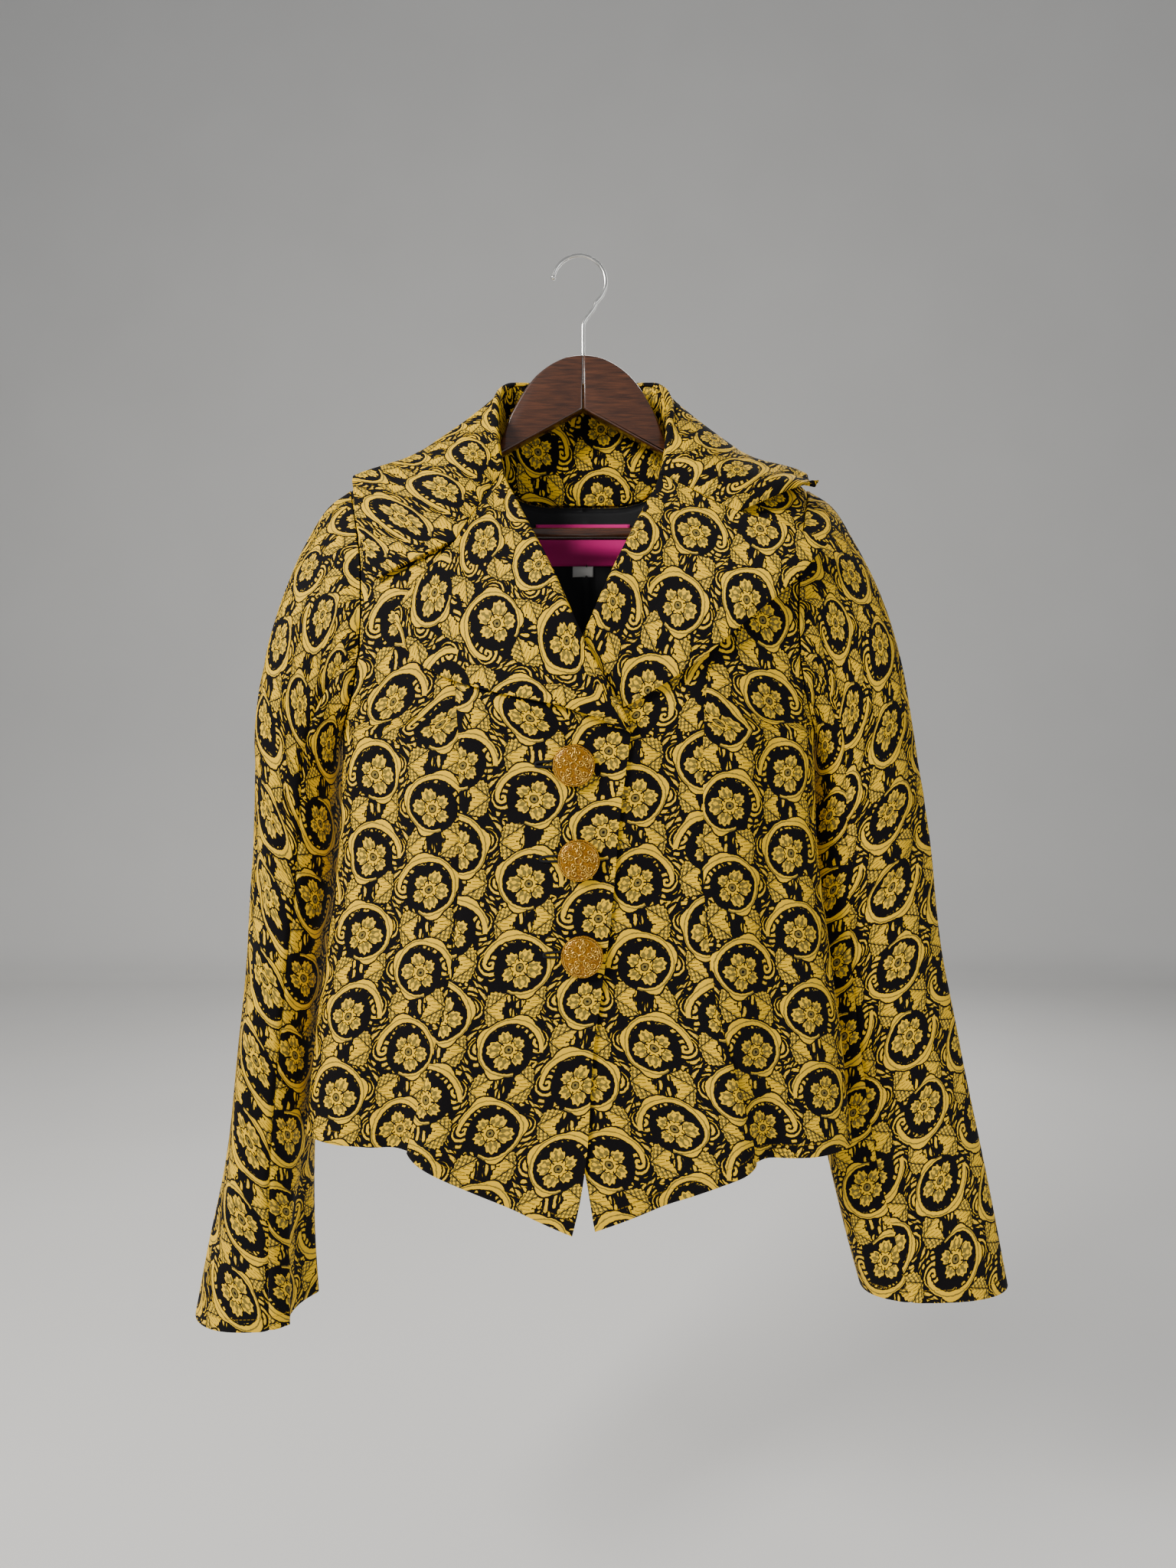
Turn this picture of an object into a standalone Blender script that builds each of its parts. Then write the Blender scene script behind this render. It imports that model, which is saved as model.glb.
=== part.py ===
"""Short fitted jacquard jacket hanging on a wooden trouser hanger.

Metres, +Z up. The origin is the inside top of the hanger's hook, where a peg or rail holds it. The front
faces -Y and the flat back is at +Y, as if against a wall. Right and left are the wearer's, so right is at -X.
Every cloth piece is a thin wall cut from a smooth surface: the body, the sleeves, the lapels and the collar
each have a function that gives a point of the outer cloth, and panel edges are curves on it.
"""

import math
from collections import namedtuple

import bmesh
import bpy
from mathutils import Vector

# Cloth, in metres
CLOTH = 0.0020
DOUBLE_CLOTH = 0.0025
LINING = 0.0012
SEAM_GAP = 0.0003
HALF_SEAM = SEAM_GAP / 2
ARMHOLE_GAP = 0.0008

# Main places, heights below the hook
CENTRE_X = 0.003
UNDERARM_Z = -0.405
SHOULDER_TIP_Z = -0.1985
NECK_POINT_Z = -0.148
BREAK_Z = -0.4088
HEM_Z = {-1: -0.717, 1: -0.725}
HEM_POINT_Z = {-1: -0.7712, 1: -0.7690}
BACK_HEM_Z = -0.720
PRINCESS_TOP_X = 0.128

# Steps for slopes and searches
SMALL = 1e-3
SURFACE_STEP = 5e-4
SEARCH_STEPS = 40
CLEAR_STEPS = 6
SHARP_ANGLE = math.radians(40)

# Shape of a body section: 2 is an ellipse, more is squarer
FRONT_SQUARE = 2.2
BACK_SQUARE = 2.8

SIDES = {-1: "right", 1: "left"}

Section = namedtuple("Section", "height half_width side_y front_depth back_depth")
BODY_SECTIONS = [
    Section(-0.800, 0.2240, -0.048, 0.060, 0.076),
    Section(-0.720, 0.2135, -0.048, 0.058, 0.076),
    Section(-0.640, 0.2055, -0.050, 0.056, 0.078),
    Section(-0.560, 0.1950, -0.050, 0.054, 0.078),
    Section(-0.480, 0.1865, -0.050, 0.055, 0.078),
    Section(-0.405, 0.1845, -0.050, 0.058, 0.077),
    Section(-0.350, 0.1990, -0.043, 0.062, 0.070),
    Section(-0.300, 0.2135, -0.032, 0.064, 0.059),
    Section(-0.260, 0.2180, -0.020, 0.060, 0.047),
    Section(-0.230, 0.2120, -0.010, 0.052, 0.037),
    Section(-0.1985, 0.1910, -0.001, 0.040, 0.026),
    Section(-0.175, 0.1385, 0.000, 0.033, 0.023),
    Section(-0.148, 0.0780, 0.000, 0.027, 0.019),
    Section(-0.130, 0.0380, 0.000, 0.020, 0.014),
]

# Distance of an edge or seam from the centre line at a height, on its own side
Edge = namedtuple("Edge", "height out")
PRINCESS_SEAM = [
    Edge(-0.800, 0.1350),
    Edge(-0.720, 0.1285),
    Edge(-0.700, 0.1240),
    Edge(-0.660, 0.1125),
    Edge(-0.600, 0.0970),
    Edge(-0.500, 0.0885),
    Edge(-0.430, 0.0885),
    Edge(-0.350, 0.0940),
    Edge(-0.250, 0.1100),
]
ARMHOLE_FRONT = [
    Edge(-0.385, 0.1760),
    Edge(-0.360, 0.1695),
    Edge(-0.320, 0.1660),
    Edge(-0.280, 0.1685),
    Edge(-0.240, 0.1775),
    Edge(-0.210, 0.1870),
]
ARMHOLE_BACK = [
    Edge(-0.385, 0.1810),
    Edge(-0.350, 0.1775),
    Edge(-0.300, 0.1775),
    Edge(-0.250, 0.1830),
    Edge(-0.220, 0.1880),
]
# The buttonhole front laps over the button front
FRONT_EDGE = {
    -1: [
        Edge(-0.790, 0.0120),
        Edge(-0.771, 0.0070),
        Edge(-0.745, 0.0010),
        Edge(-0.709, -0.0040),
        Edge(-0.643, -0.0080),
        Edge(-0.580, -0.0165),
        Edge(-0.530, -0.0225),
        Edge(-0.470, -0.0275),
        Edge(-0.4088, -0.0355),
    ],
    1: [
        Edge(-0.790, 0.0140),
        Edge(-0.769, 0.0094),
        Edge(-0.728, 0.0022),
        Edge(-0.700, -0.0060),
        Edge(-0.650, -0.0160),
        Edge(-0.580, -0.0220),
        Edge(-0.470, -0.0270),
        Edge(-0.4088, -0.0350),
    ],
}
ROLL_LINE = [
    Edge(-0.3768, -0.0165),
    Edge(-0.3450, 0.0010),
    Edge(-0.3348, 0.0060),
    Edge(-0.3040, 0.0190),
    Edge(-0.2811, 0.0291),
    Edge(-0.2532, 0.0420),
    Edge(-0.2250, 0.0550),
    Edge(-0.2013, 0.0650),
    Edge(-0.1726, 0.0690),
]

# Back neckline: the share of the way from the centre back to the neck point
NeckPoint = namedtuple("NeckPoint", "share out height")
BACK_NECKLINE = [
    NeckPoint(0.00, 0.000, -0.2040),
    NeckPoint(0.35, 0.030, -0.2035),
    NeckPoint(0.60, 0.050, -0.2000),
    NeckPoint(0.82, 0.067, -0.1850),
    NeckPoint(1.00, 0.078, -0.1480),
]
BACK_NECK_SHARE = 0.4

# Sleeve rings: the outer and inner points of each ring, and its middle and half depth from front to back
Ring = namedtuple("Ring", "along outer_x outer_z inner_x inner_z middle_y half_depth")
SLEEVE_RINGS = {
    -1: [
        Ring(0.00, 0.1910, -0.1985, 0.1870, -0.4050, -0.036, 0.050),
        Ring(0.05, 0.2085, -0.2120, 0.1885, -0.4100, -0.034, 0.055),
        Ring(0.11, 0.2270, -0.2440, 0.1900, -0.4160, -0.030, 0.057),
        Ring(0.18, 0.2385, -0.2850, 0.1915, -0.4260, -0.028, 0.057),
        Ring(0.27, 0.2495, -0.3430, 0.1930, -0.4450, -0.026, 0.055),
        Ring(0.37, 0.2586, -0.4120, 0.1945, -0.4800, -0.026, 0.053),
        Ring(0.48, 0.2598, -0.4870, 0.1975, -0.5250, -0.027, 0.052),
        Ring(0.60, 0.2635, -0.5700, 0.2060, -0.5850, -0.028, 0.051),
        Ring(0.72, 0.2715, -0.6520, 0.2125, -0.6600, -0.029, 0.050),
        Ring(0.84, 0.2820, -0.7400, 0.2185, -0.7450, -0.030, 0.047),
        Ring(0.93, 0.2955, -0.8100, 0.2165, -0.8120, -0.031, 0.043),
        Ring(1.00, 0.3057, -0.8640, 0.2125, -0.8640, -0.032, 0.040),
    ],
    1: [
        Ring(0.00, 0.1910, -0.1985, 0.1870, -0.4050, -0.036, 0.050),
        Ring(0.05, 0.2110, -0.2120, 0.1885, -0.4100, -0.032, 0.053),
        Ring(0.11, 0.2280, -0.2390, 0.1900, -0.4160, -0.027, 0.052),
        Ring(0.18, 0.2465, -0.2830, 0.1900, -0.4270, -0.022, 0.049),
        Ring(0.27, 0.2630, -0.3450, 0.1890, -0.4480, -0.016, 0.045),
        Ring(0.37, 0.2778, -0.4160, 0.1880, -0.4820, -0.011, 0.041),
        Ring(0.48, 0.2908, -0.4930, 0.1880, -0.5300, -0.008, 0.037),
        Ring(0.60, 0.3015, -0.5800, 0.1900, -0.5950, -0.006, 0.033),
        Ring(0.72, 0.3180, -0.6600, 0.1960, -0.6650, -0.005, 0.031),
        Ring(0.84, 0.3330, -0.7400, 0.2060, -0.7450, -0.006, 0.030),
        Ring(0.93, 0.3457, -0.8050, 0.2205, -0.8080, -0.008, 0.030),
        Ring(1.00, 0.3545, -0.8567, 0.2345, -0.8617, -0.010, 0.031),
    ],
}
SLEEVE_SQUARE = 2.3
ARMHOLE_FADE = 0.30
BODY_CLEARANCE = 0.0035
CLEARANCE_FADE = 0.2
SEAM_STEP = 0.02

# Collar: places along the roll, from the gorge at 1 to the centre back at 0
RollPoint = namedtuple("RollPoint", "along out y height")
COLLAR_ROLL = [
    RollPoint(0.00, 0.0000, 0.0225, -0.1010),
    RollPoint(0.18, 0.0240, 0.0220, -0.1012),
    RollPoint(0.35, 0.0450, 0.0190, -0.1020),
    RollPoint(0.50, 0.0610, 0.0120, -0.1050),
    RollPoint(0.60, 0.0695, 0.0020, -0.1150),
    RollPoint(0.70, 0.0725, -0.0120, -0.1345),
    RollPoint(0.85, 0.0705, -0.0330, -0.1700),
]
# Collar outer edge: turn is 1 on the shoulder ridge and 2 at the centre back; the height is read on the cloth
OuterPoint = namedtuple("OuterPoint", "along out height back")
COLLAR_EDGE = {
    -1: [
        OuterPoint(0.85, 0.1720, -0.2450, False),
        OuterPoint(0.50, 0.1560, -0.2280, True),
        OuterPoint(0.30, 0.1050, -0.2420, True),
        OuterPoint(0.00, 0.0000, -0.2480, True),
    ],
    1: [
        OuterPoint(0.85, 0.1840, -0.2120, False),
        OuterPoint(0.50, 0.1560, -0.2280, True),
        OuterPoint(0.30, 0.1050, -0.2420, True),
        OuterPoint(0.00, 0.0000, -0.2480, True),
    ],
}
RIDGE_CROSSING = 0.70
RIDGE_CROSSING_X = 0.1840
COLLAR_TIP = {-1: (0.1530, -0.2915), 1: (0.1870, -0.2100)}
NOTCH = {-1: (0.0950, -0.2618), 1: (0.1210, -0.2365)}
GORGE_ROLL_Z = -0.2013
LAPEL_TIP = {-1: (0.1375, -0.3159), 1: (0.1840, -0.2660)}
LapelEdge = namedtuple("LapelEdge", "along out height")
LAPEL_EDGE = {
    -1: [
        LapelEdge(0.00, -0.0310, -0.4065),
        LapelEdge(0.12, -0.0120, -0.3985),
        LapelEdge(0.28, 0.0180, -0.3890),
        LapelEdge(0.45, 0.0590, -0.3800),
        LapelEdge(0.62, 0.0950, -0.3690),
        LapelEdge(0.76, 0.1180, -0.3560),
        LapelEdge(0.90, 0.1330, -0.3350),
        LapelEdge(1.00, 0.1375, -0.3159),
    ],
    1: [
        LapelEdge(0.00, -0.0230, -0.3950),
        LapelEdge(0.12, -0.0020, -0.3960),
        LapelEdge(0.28, 0.0280, -0.3900),
        LapelEdge(0.42, 0.0540, -0.3760),
        LapelEdge(0.58, 0.0870, -0.3540),
        LapelEdge(0.72, 0.1180, -0.3280),
        LapelEdge(0.88, 0.1560, -0.2960),
        LapelEdge(1.00, 0.1840, -0.2660),
    ],
}
LAPEL_GAP = 0.0011
LAPEL_LIFT = {-1: 0.0015, 1: 0.0110}
FRONT_LAP_RISE = 0.0027

# Buttons: centres on the buttonhole front
BUTTON_DIAMETER = 0.0305
BUTTON_HEIGHT = 0.0046
BUTTON_RIM = 0.0016
BUTTON_PLACES = {
    "top": (-0.0028, -0.4314),
    "middle": (0.0007, -0.4999),
    "bottom": (0.0031, -0.5695),
}
BUTTON_UNDERSIDE = 0.86
BUTTON_RIM_SHARE = 0.4
DOME_DEGREES = (0, 18, 36, 54, 72)
SHANK_DIAMETER = 0.0060
SHANK_LENGTH = 0.0022
BUTTON_GAP = 0.0005

# Label on the lining at the back neck
LABEL_WIDTH = 0.082
LABEL_TOP_Z = -0.2190
LABEL_BOTTOM_Z = -0.2555
LABEL_THICKNESS = 0.0006
TAG_WIDTH = 0.018
TAG_BOTTOM_Z = -0.2650
LINING_BOTTOM_Z = -0.400

# Hanger
WOOD_THICKNESS = 0.0110
WOOD_EDGE_RADIUS = 0.0020
HANGER_TOP_Z = -0.0843
NOTCH_Z = -0.1300
ARM_LOWER_SLOPE = 0.549
ARCH = [
    Edge(-0.0843, 0.0000),
    Edge(-0.0858, 0.0120),
    Edge(-0.0903, 0.0235),
    Edge(-0.1005, 0.0380),
    Edge(-0.1130, 0.0485),
    Edge(-0.1255, 0.0560),
    Edge(-0.1390, 0.0630),
    Edge(-0.1510, 0.0670),
    Edge(-0.1660, 0.0735),
]
BAR_DIAMETER = 0.0100
BAR_Z = -0.2337
BAR_REACH = 0.1620
WIRE_DIAMETER = 0.0032
HOOK_RADIUS = 0.0223
SHANK_X = 0.0032

# The laps, rolls and gaps of the fronts, lapels and collar
LAPEL_LAP_RISE = 0.0076
LAP_OVER_LOW = -0.4088
LAP_OVER_HIGH = -0.326
LAP_STEP = 0.015
LAP_TOP_STEP = 0.080
ROLL_GAP = 0.0008
LAP_REACH = 0.036
LAP_FADE = 0.080
EDGE_SPREAD = 1.6
STRAIGHT_BLEND = 0.25
RIDGE_SPREAD = 1.6
ROLL_RADIUS = 0.0022
ROLL_RADIUS_LOW = 0.00135
ROLL_GROWTH = 0.080
LAPEL_START_Z = {-1: -0.4040, 1: -0.3910}
LIFT_LOW = -0.360
LIFT_STEP = 0.060
LIFT_START = 0.35
ROLL_FLAT = 0.4
NECK_AXIS_Y = -0.022
NOTCH_SHARE = 0.5
GORGE_ACROSS = (0.89, 0.456)
COLLAR_BULGE = 0.0055
COLLAR_EASE = 0.0020
COLLAR_STEP = 0.004
PULL_START = 0.45
PULL_POWER = 1.5
STAND_END = 0.62
STAND_FOOT = 0.0014
STAND_STEP = 0.01
LINING_OUT = 0.066
LINING_DROP = 0.0040
LINING_GAP = 0.0008

# How many cells each piece has
PANEL_COLUMNS = {"front": 8, "side_front": 7, "back_shoulder": 6}
LOW_ROWS = 8
UNDERARM_ROWS = [0.515, 0.535, 0.565]
HIGH_ROWS = {"front": 12, "side_front": 12, "back": 9}
HIGH_FROM = 0.60
RIDGE_CROWDING = 2.0
SLEEVE_HIGH_ROWS = [0, 0.012, 0.03, 0.06, 0.10, 0.15, 0.20, 0.235, 0.27, 0.31, 0.35]
SLEEVE_LOW_ROWS = [0.43, 0.51, 0.60, 0.69, 0.78, 0.86, 0.93, 1.0]
SLEEVE_PIECES = {
    "upper": (math.radians(-115), math.radians(115), 15),
    "under": (math.radians(115), math.radians(245), 7),
}
SLEEVE_RADIUS = 0.045
ROLL_COLUMNS = [-1.0, -0.75, -0.5, -0.25]
FLAP_COLUMNS = [0.0, 0.14, 0.30, 0.5, 0.65, 0.82, 1.0]
ROW_MARGIN = 0.002
COLLAR_ALONG = [0.0, 0.12, 0.24, 0.36, 0.46, 0.55, 0.62, 0.69, 0.76, 0.84, 0.92, 1.0]
BUTTON_SIDES = 18

# Where the hanger's arms sit and end
ARM_CLEARANCE = 0.0015
ROOF_STEPS = 12
ROOF_REACH = 0.0030
ROOF_MARGIN = 0.0001
CLOTH_SEARCH_LOW = -0.2785
ARM_SEAT_OUT = 0.088
ARM_END_OUT = 0.172
ARM_END_DROP = 0.0095
SEAT_STEPS = 7
BAR_SIDES = 20
WIRE_RESOLUTION = 3
NECK_STEPS = 4
HOOK_STEPS = 22
HOOK_TIP_ANGLE = math.radians(171)
HOOK_END_ANGLE = math.radians(-52)
BEND_Z = -0.0580


class Profile:
    """A smooth curve through a short table of (at, value) pairs, with no overshoot between them."""

    def __init__(self, pairs):
        pairs = sorted(pairs)
        self.at = [p[0] for p in pairs]
        self.value = [p[1] for p in pairs]
        steps = [(after[1] - here[1]) / (after[0] - here[0]) for here, after in zip(pairs, pairs[1:])]
        self.slope = [steps[0]]
        for before, after in zip(steps, steps[1:]):
            self.slope.append(0.0 if before * after <= 0 else 2 * before * after / (before + after))
        self.slope.append(steps[-1])

    def __call__(self, x):
        at = self.at
        x = min(max(x, at[0]), at[-1])
        i = max(k for k in range(len(at) - 1) if at[k] <= x or k == 0)
        width = at[i + 1] - at[i]
        s = (x - at[i]) / width
        rise = self.value[i + 1] - self.value[i]
        start = self.slope[i] * width
        end = self.slope[i + 1] * width
        bend = s * s * (3 * rise - 2 * start - end) + s**3 * (start + end - 2 * rise)
        return self.value[i] + s * start + bend


def smooth(x):
    """0 below 0, 1 above 1, with a smooth step between."""
    x = min(max(x, 0.0), 1.0)
    return x * x * (3 - 2 * x)


def mix(a, b, share):
    return a + (b - a) * share


def spread(count):
    return [i / count for i in range(count + 1)]


half_width = Profile([(s.height, s.half_width) for s in BODY_SECTIONS])
side_y = Profile([(s.height, s.side_y) for s in BODY_SECTIONS])
front_depth = Profile([(s.height, s.front_depth) for s in BODY_SECTIONS])
back_depth = Profile([(s.height, s.back_depth) for s in BODY_SECTIONS])


def ridge_height(out):
    """Height of the shoulder ridge at a distance from the centre line."""
    low, high = SHOULDER_TIP_Z, BODY_SECTIONS[-1].height
    for _ in range(SEARCH_STEPS):
        middle = (low + high) / 2
        if half_width(middle) > out:
            low = middle
        else:
            high = middle
    return (low + high) / 2


def turn_at(out, height, back=False):
    """Where round the body a distance from the centre line lies: 0 in front, 1 at the side, 2 behind."""
    share = min(max(out / half_width(height), -1.0), 1.0)
    turn = math.asin(share) * 2 / math.pi
    return 2 - turn if back else turn


# Soft vertical folds: side, distance out at the hem and at the top, heights, width, depth, and if at the back
Fold = namedtuple("Fold", "side low_out high_out low high width depth back")
BODY_FOLDS = [
    Fold(-1, 0.1400, 0.1020, -0.735, -0.560, 0.016, -0.0065, False),
    Fold(-1, 0.1130, 0.0860, -0.735, -0.500, 0.022, 0.0045, False),
    Fold(-1, 0.1900, 0.1500, -0.720, -0.480, 0.030, 0.0030, False),
    Fold(1, 0.1420, 0.1050, -0.735, -0.580, 0.015, -0.0065, False),
    Fold(1, 0.1180, 0.0880, -0.735, -0.480, 0.022, 0.0050, False),
    Fold(1, 0.1850, 0.1500, -0.720, -0.450, 0.030, 0.0025, False),
    Fold(-1, 0.1000, 0.0960, -0.480, -0.330, 0.030, 0.0040, False),
    Fold(1, 0.1000, 0.0960, -0.480, -0.330, 0.030, 0.0040, False),
    Fold(-1, 0.1450, 0.1560, -0.430, -0.300, 0.014, -0.0040, False),
    Fold(1, 0.1450, 0.1560, -0.440, -0.300, 0.014, -0.0040, False),
    Fold(-1, 0.0900, 0.0700, -0.730, -0.420, 0.030, -0.0030, True),
    Fold(1, 0.1000, 0.0750, -0.730, -0.440, 0.030, -0.0030, True),
]


def fold_rise(side, height, turn):
    """How far the folds move the cloth out at a place."""
    out = half_width(height) * math.sin(math.pi / 2 * turn)
    rise = 0.0
    for fold in BODY_FOLDS:
        if fold.side != side or fold.back != (turn > 1):
            continue
        share = (height - fold.low) / (fold.high - fold.low)
        if share >= 1:
            continue
        middle = mix(fold.low_out, fold.high_out, max(share, 0.0))
        fade = 1 - smooth(share)
        rise += fold.depth * fade * math.exp(-(((out - middle) / fold.width) ** 2))
    return rise


def plain_body(side, height, turn):
    """Outer cloth of the body with no folds."""
    share = math.sin(math.pi / 2 * turn)
    if turn <= 1:
        bulge = -front_depth(height) * math.sqrt(max(0.0, 1 - abs(share) ** FRONT_SQUARE))
    else:
        bulge = back_depth(height) * math.sqrt(max(0.0, 1 - abs(share) ** BACK_SQUARE))
    x = CENTRE_X * (1 - share * share) + side * half_width(height) * share
    return Vector((x, side_y(height) + bulge, height))


def body_normal(side, height, turn):
    """Direction out of the body."""
    round_it = plain_body(side, height, turn + SMALL) - plain_body(side, height, turn - SMALL)
    up = plain_body(side, height + SMALL, turn) - plain_body(side, height - SMALL, turn)
    return (round_it.cross(up) * side).normalized()


def body_point(side, height, turn, rise=0.0):
    """Outer cloth of the body, with its folds, moved out by rise."""
    lift = fold_rise(side, height, turn) + rise
    return plain_body(side, height, turn) + body_normal(side, height, turn) * lift


def body_distance(point):
    """About how far a point is outside the body's plain surface, and the direction away from it."""

    def level(p):
        height = min(max(p.z, BODY_SECTIONS[0].height), BODY_SECTIONS[-1].height)
        reach = min(abs(p.x) / half_width(height), 1.0)
        across = abs(p.x - CENTRE_X * (1 - reach * reach)) / half_width(height)
        along = p.y - side_y(height)
        square = FRONT_SQUARE if along < 0 else BACK_SQUARE
        depth = front_depth(height) if along < 0 else back_depth(height)
        return (across**square + (along / depth) ** 2) ** (1 / square) - 1

    axes = [Vector(axis) * SURFACE_STEP for axis in ((1, 0, 0), (0, 1, 0), (0, 0, 1))]
    slope = Vector([(level(point + step) - level(point - step)) / (2 * SURFACE_STEP) for step in axes])
    size = max(slope.length, 1e-6)
    return level(point) / size, slope / size


def keep_clear(point, gap):
    """The point, moved away from the body until it is gap outside it."""
    point = point.copy()
    for _ in range(CLEAR_STEPS):
        distance, away = body_distance(point)
        if distance >= gap:
            break
        point += away * (gap - distance)
    return point


# Edges of the body's panels, as (height, turn) at a share of the way up
def curve_between(low, high, profile, share, back=False):
    height = mix(low, high, share)
    return height, turn_at(profile(height), height, back)


princess = Profile(
    [(e.height, e.out) for e in PRINCESS_SEAM]
    + [(ridge_height(PRINCESS_TOP_X), PRINCESS_TOP_X)]
)
armhole_front = Profile(
    [(UNDERARM_Z, half_width(UNDERARM_Z)), (SHOULDER_TIP_Z, half_width(SHOULDER_TIP_Z))]
    + [(e.height, e.out) for e in ARMHOLE_FRONT]
)
armhole_back = Profile(
    [(UNDERARM_Z, half_width(UNDERARM_Z)), (SHOULDER_TIP_Z, half_width(SHOULDER_TIP_Z))]
    + [(e.height, e.out) for e in ARMHOLE_BACK]
)
front_edge = {
    side: Profile([(e.height, e.out) for e in FRONT_EDGE[side]]) for side in SIDES
}
roll_line = Profile(
    [(BREAK_Z, -0.0355), (NECK_POINT_Z, half_width(NECK_POINT_Z))]
    + [(e.height, e.out) for e in ROLL_LINE]
)


def princess_edge(side, share):
    """The princess seam, from hem to shoulder ridge; half the share is the part below the underarm."""
    if share <= 0.5:
        return curve_between(HEM_Z[side], UNDERARM_Z, princess, share * 2)
    top = ridge_height(PRINCESS_TOP_X)
    return curve_between(UNDERARM_Z, top, princess, share * 2 - 1)


def side_front_edge(side, share):
    """The side seam up to the underarm, then the front of the armhole."""
    if share <= 0.5:
        return mix(HEM_Z[side], UNDERARM_Z, share * 2), 1.0
    return curve_between(UNDERARM_Z, SHOULDER_TIP_Z, armhole_front, share * 2 - 1)


def side_back_edge(side, share):
    if share <= 0.5:
        return mix(HEM_Z[side], UNDERARM_Z, share * 2), 1.0
    return curve_between(UNDERARM_Z, SHOULDER_TIP_Z, armhole_back, share * 2 - 1, True)


def centre_front_edge(side, share):
    """The front edge up to the break, then the roll line up to the neck point."""
    if share <= 0.5:
        low = HEM_POINT_Z[side]
        return curve_between(low, BREAK_Z, front_edge[side], share * 2)
    return curve_between(BREAK_Z, NECK_POINT_Z, roll_line, share * 2 - 1)


def centre_back_edge(_, share):
    """The centre back seam, which is the same on both sides."""
    if share <= 0.5:
        return mix(BACK_HEM_Z, UNDERARM_Z, share * 2), 2.0
    return mix(UNDERARM_Z, BACK_NECKLINE[0].height, share * 2 - 1), 2.0


def ridge_between(start_out, end_out, share):
    """Along the shoulder ridge."""
    return ridge_height(mix(start_out, end_out, share)), 1.0


back_neck = Profile([(p.share, p.out) for p in BACK_NECKLINE])
back_neck_height = Profile([(p.share, p.height) for p in BACK_NECKLINE])


def back_top_edge(side, share):
    """Back neckline from the centre back to the neck point, then the shoulder ridge to its tip."""
    if share <= BACK_NECK_SHARE:
        part = abs(share) / BACK_NECK_SHARE
        height = back_neck_height(part)
        return height, turn_at(back_neck(part), height, True)
    part = (share - BACK_NECK_SHARE) / (1 - BACK_NECK_SHARE)
    return ridge_between(half_width(NECK_POINT_Z), half_width(SHOULDER_TIP_Z), part)


def patch(left, right, bottom, top, across, up):
    """A place inside four edge curves, each a function of a share."""
    low = bottom(across)
    high = top(across)
    start = left(up)
    end = right(up)
    corners = left(0.0), left(1.0), right(0.0), right(1.0)
    place = []
    for k in range(2):
        ruled_up = mix(low[k], high[k], up)
        ruled_across = mix(start[k], end[k], across)
        both = mix(
            mix(corners[0][k], corners[1][k], up),
            mix(corners[2][k], corners[3][k], up),
            across,
        )
        place.append(ruled_up + ruled_across - both)
    return place


def add_wall(name, outer, inner, material):
    """One closed solid between two grids of points, given as rows."""
    mesh = bpy.data.meshes.new(name)
    shape = bmesh.new()
    grids = []
    for grid in (outer, inner):
        grids.append([[shape.verts.new(point) for point in row] for row in grid])
    rows, columns = len(outer), len(outer[0])
    for grid in grids:
        for r in range(rows - 1):
            for c in range(columns - 1):
                shape.faces.new((grid[r][c], grid[r][c + 1], grid[r + 1][c + 1], grid[r + 1][c]))
    rim = (
        [(0, c) for c in range(columns)]
        + [(r, columns - 1) for r in range(1, rows)]
        + [(rows - 1, c) for c in range(columns - 2, -1, -1)]
        + [(r, 0) for r in range(rows - 2, 0, -1)]
    )
    for here, there in zip(rim, rim[1:] + rim[:1]):
        places = ((0, here), (1, here), (1, there), (0, there))
        shape.faces.new([grids[k][row][column] for k, (row, column) in places])
    bmesh.ops.recalc_face_normals(shape, faces=shape.faces)
    shape.to_mesh(mesh)
    shape.free()
    mesh.shade_smooth()
    mesh.set_sharp_from_angle(angle=SHARP_ANGLE)
    return add_object(name, mesh, material)


def add_object(name, mesh, material):
    obj = bpy.data.objects.new(name, mesh)
    bpy.context.scene.collection.objects.link(obj)
    obj.data.materials.append(material)
    return obj


def add_material(name, colour, roughness, metallic=0.0):
    material = bpy.data.materials.new(name)
    material.use_nodes = True
    shader = material.node_tree.nodes["Principled BSDF"]
    shader.inputs["Base Color"].default_value = (*colour, 1.0)
    shader.inputs["Roughness"].default_value = roughness
    shader.inputs["Metallic"].default_value = metallic
    return material


def wall_piece(name, place, columns, rows, material):
    """A closed wall. place(across, up) gives a point of the outer cloth and the one behind it."""
    pairs = [[place(across, up) for across in columns] for up in rows]
    outer = [[pair[0] for pair in row] for row in pairs]
    inner = [[pair[1] for pair in row] for row in pairs]
    return add_wall(name, outer, inner, material)


def lap_rise(side, height, turn):
    """The buttonhole front stands off the button front, and higher over the other lapel's end."""
    if side == 1 or turn > 1:
        return 0.0
    out = half_width(height) * math.sin(math.pi / 2 * turn)
    over_lapel = smooth((height - LAP_OVER_LOW) / LAP_STEP)
    below = 1 - smooth((height - LAP_OVER_HIGH) / LAP_TOP_STEP)
    near_edge = 1 - smooth((out - LAP_REACH) / LAP_FADE)
    return near_edge * below * mix(FRONT_LAP_RISE, LAPEL_LAP_RISE, over_lapel)


def front_point(side, height, turn, rise=0.0):
    return body_point(side, height, turn, rise + lap_rise(side, height, turn))


def in_out(curve):
    """The same curve with distance from the centre line in place of the turn."""

    def line(share):
        height, turn = curve(share)
        return height, half_width(height) * math.sin(math.pi / 2 * turn)

    return line


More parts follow.
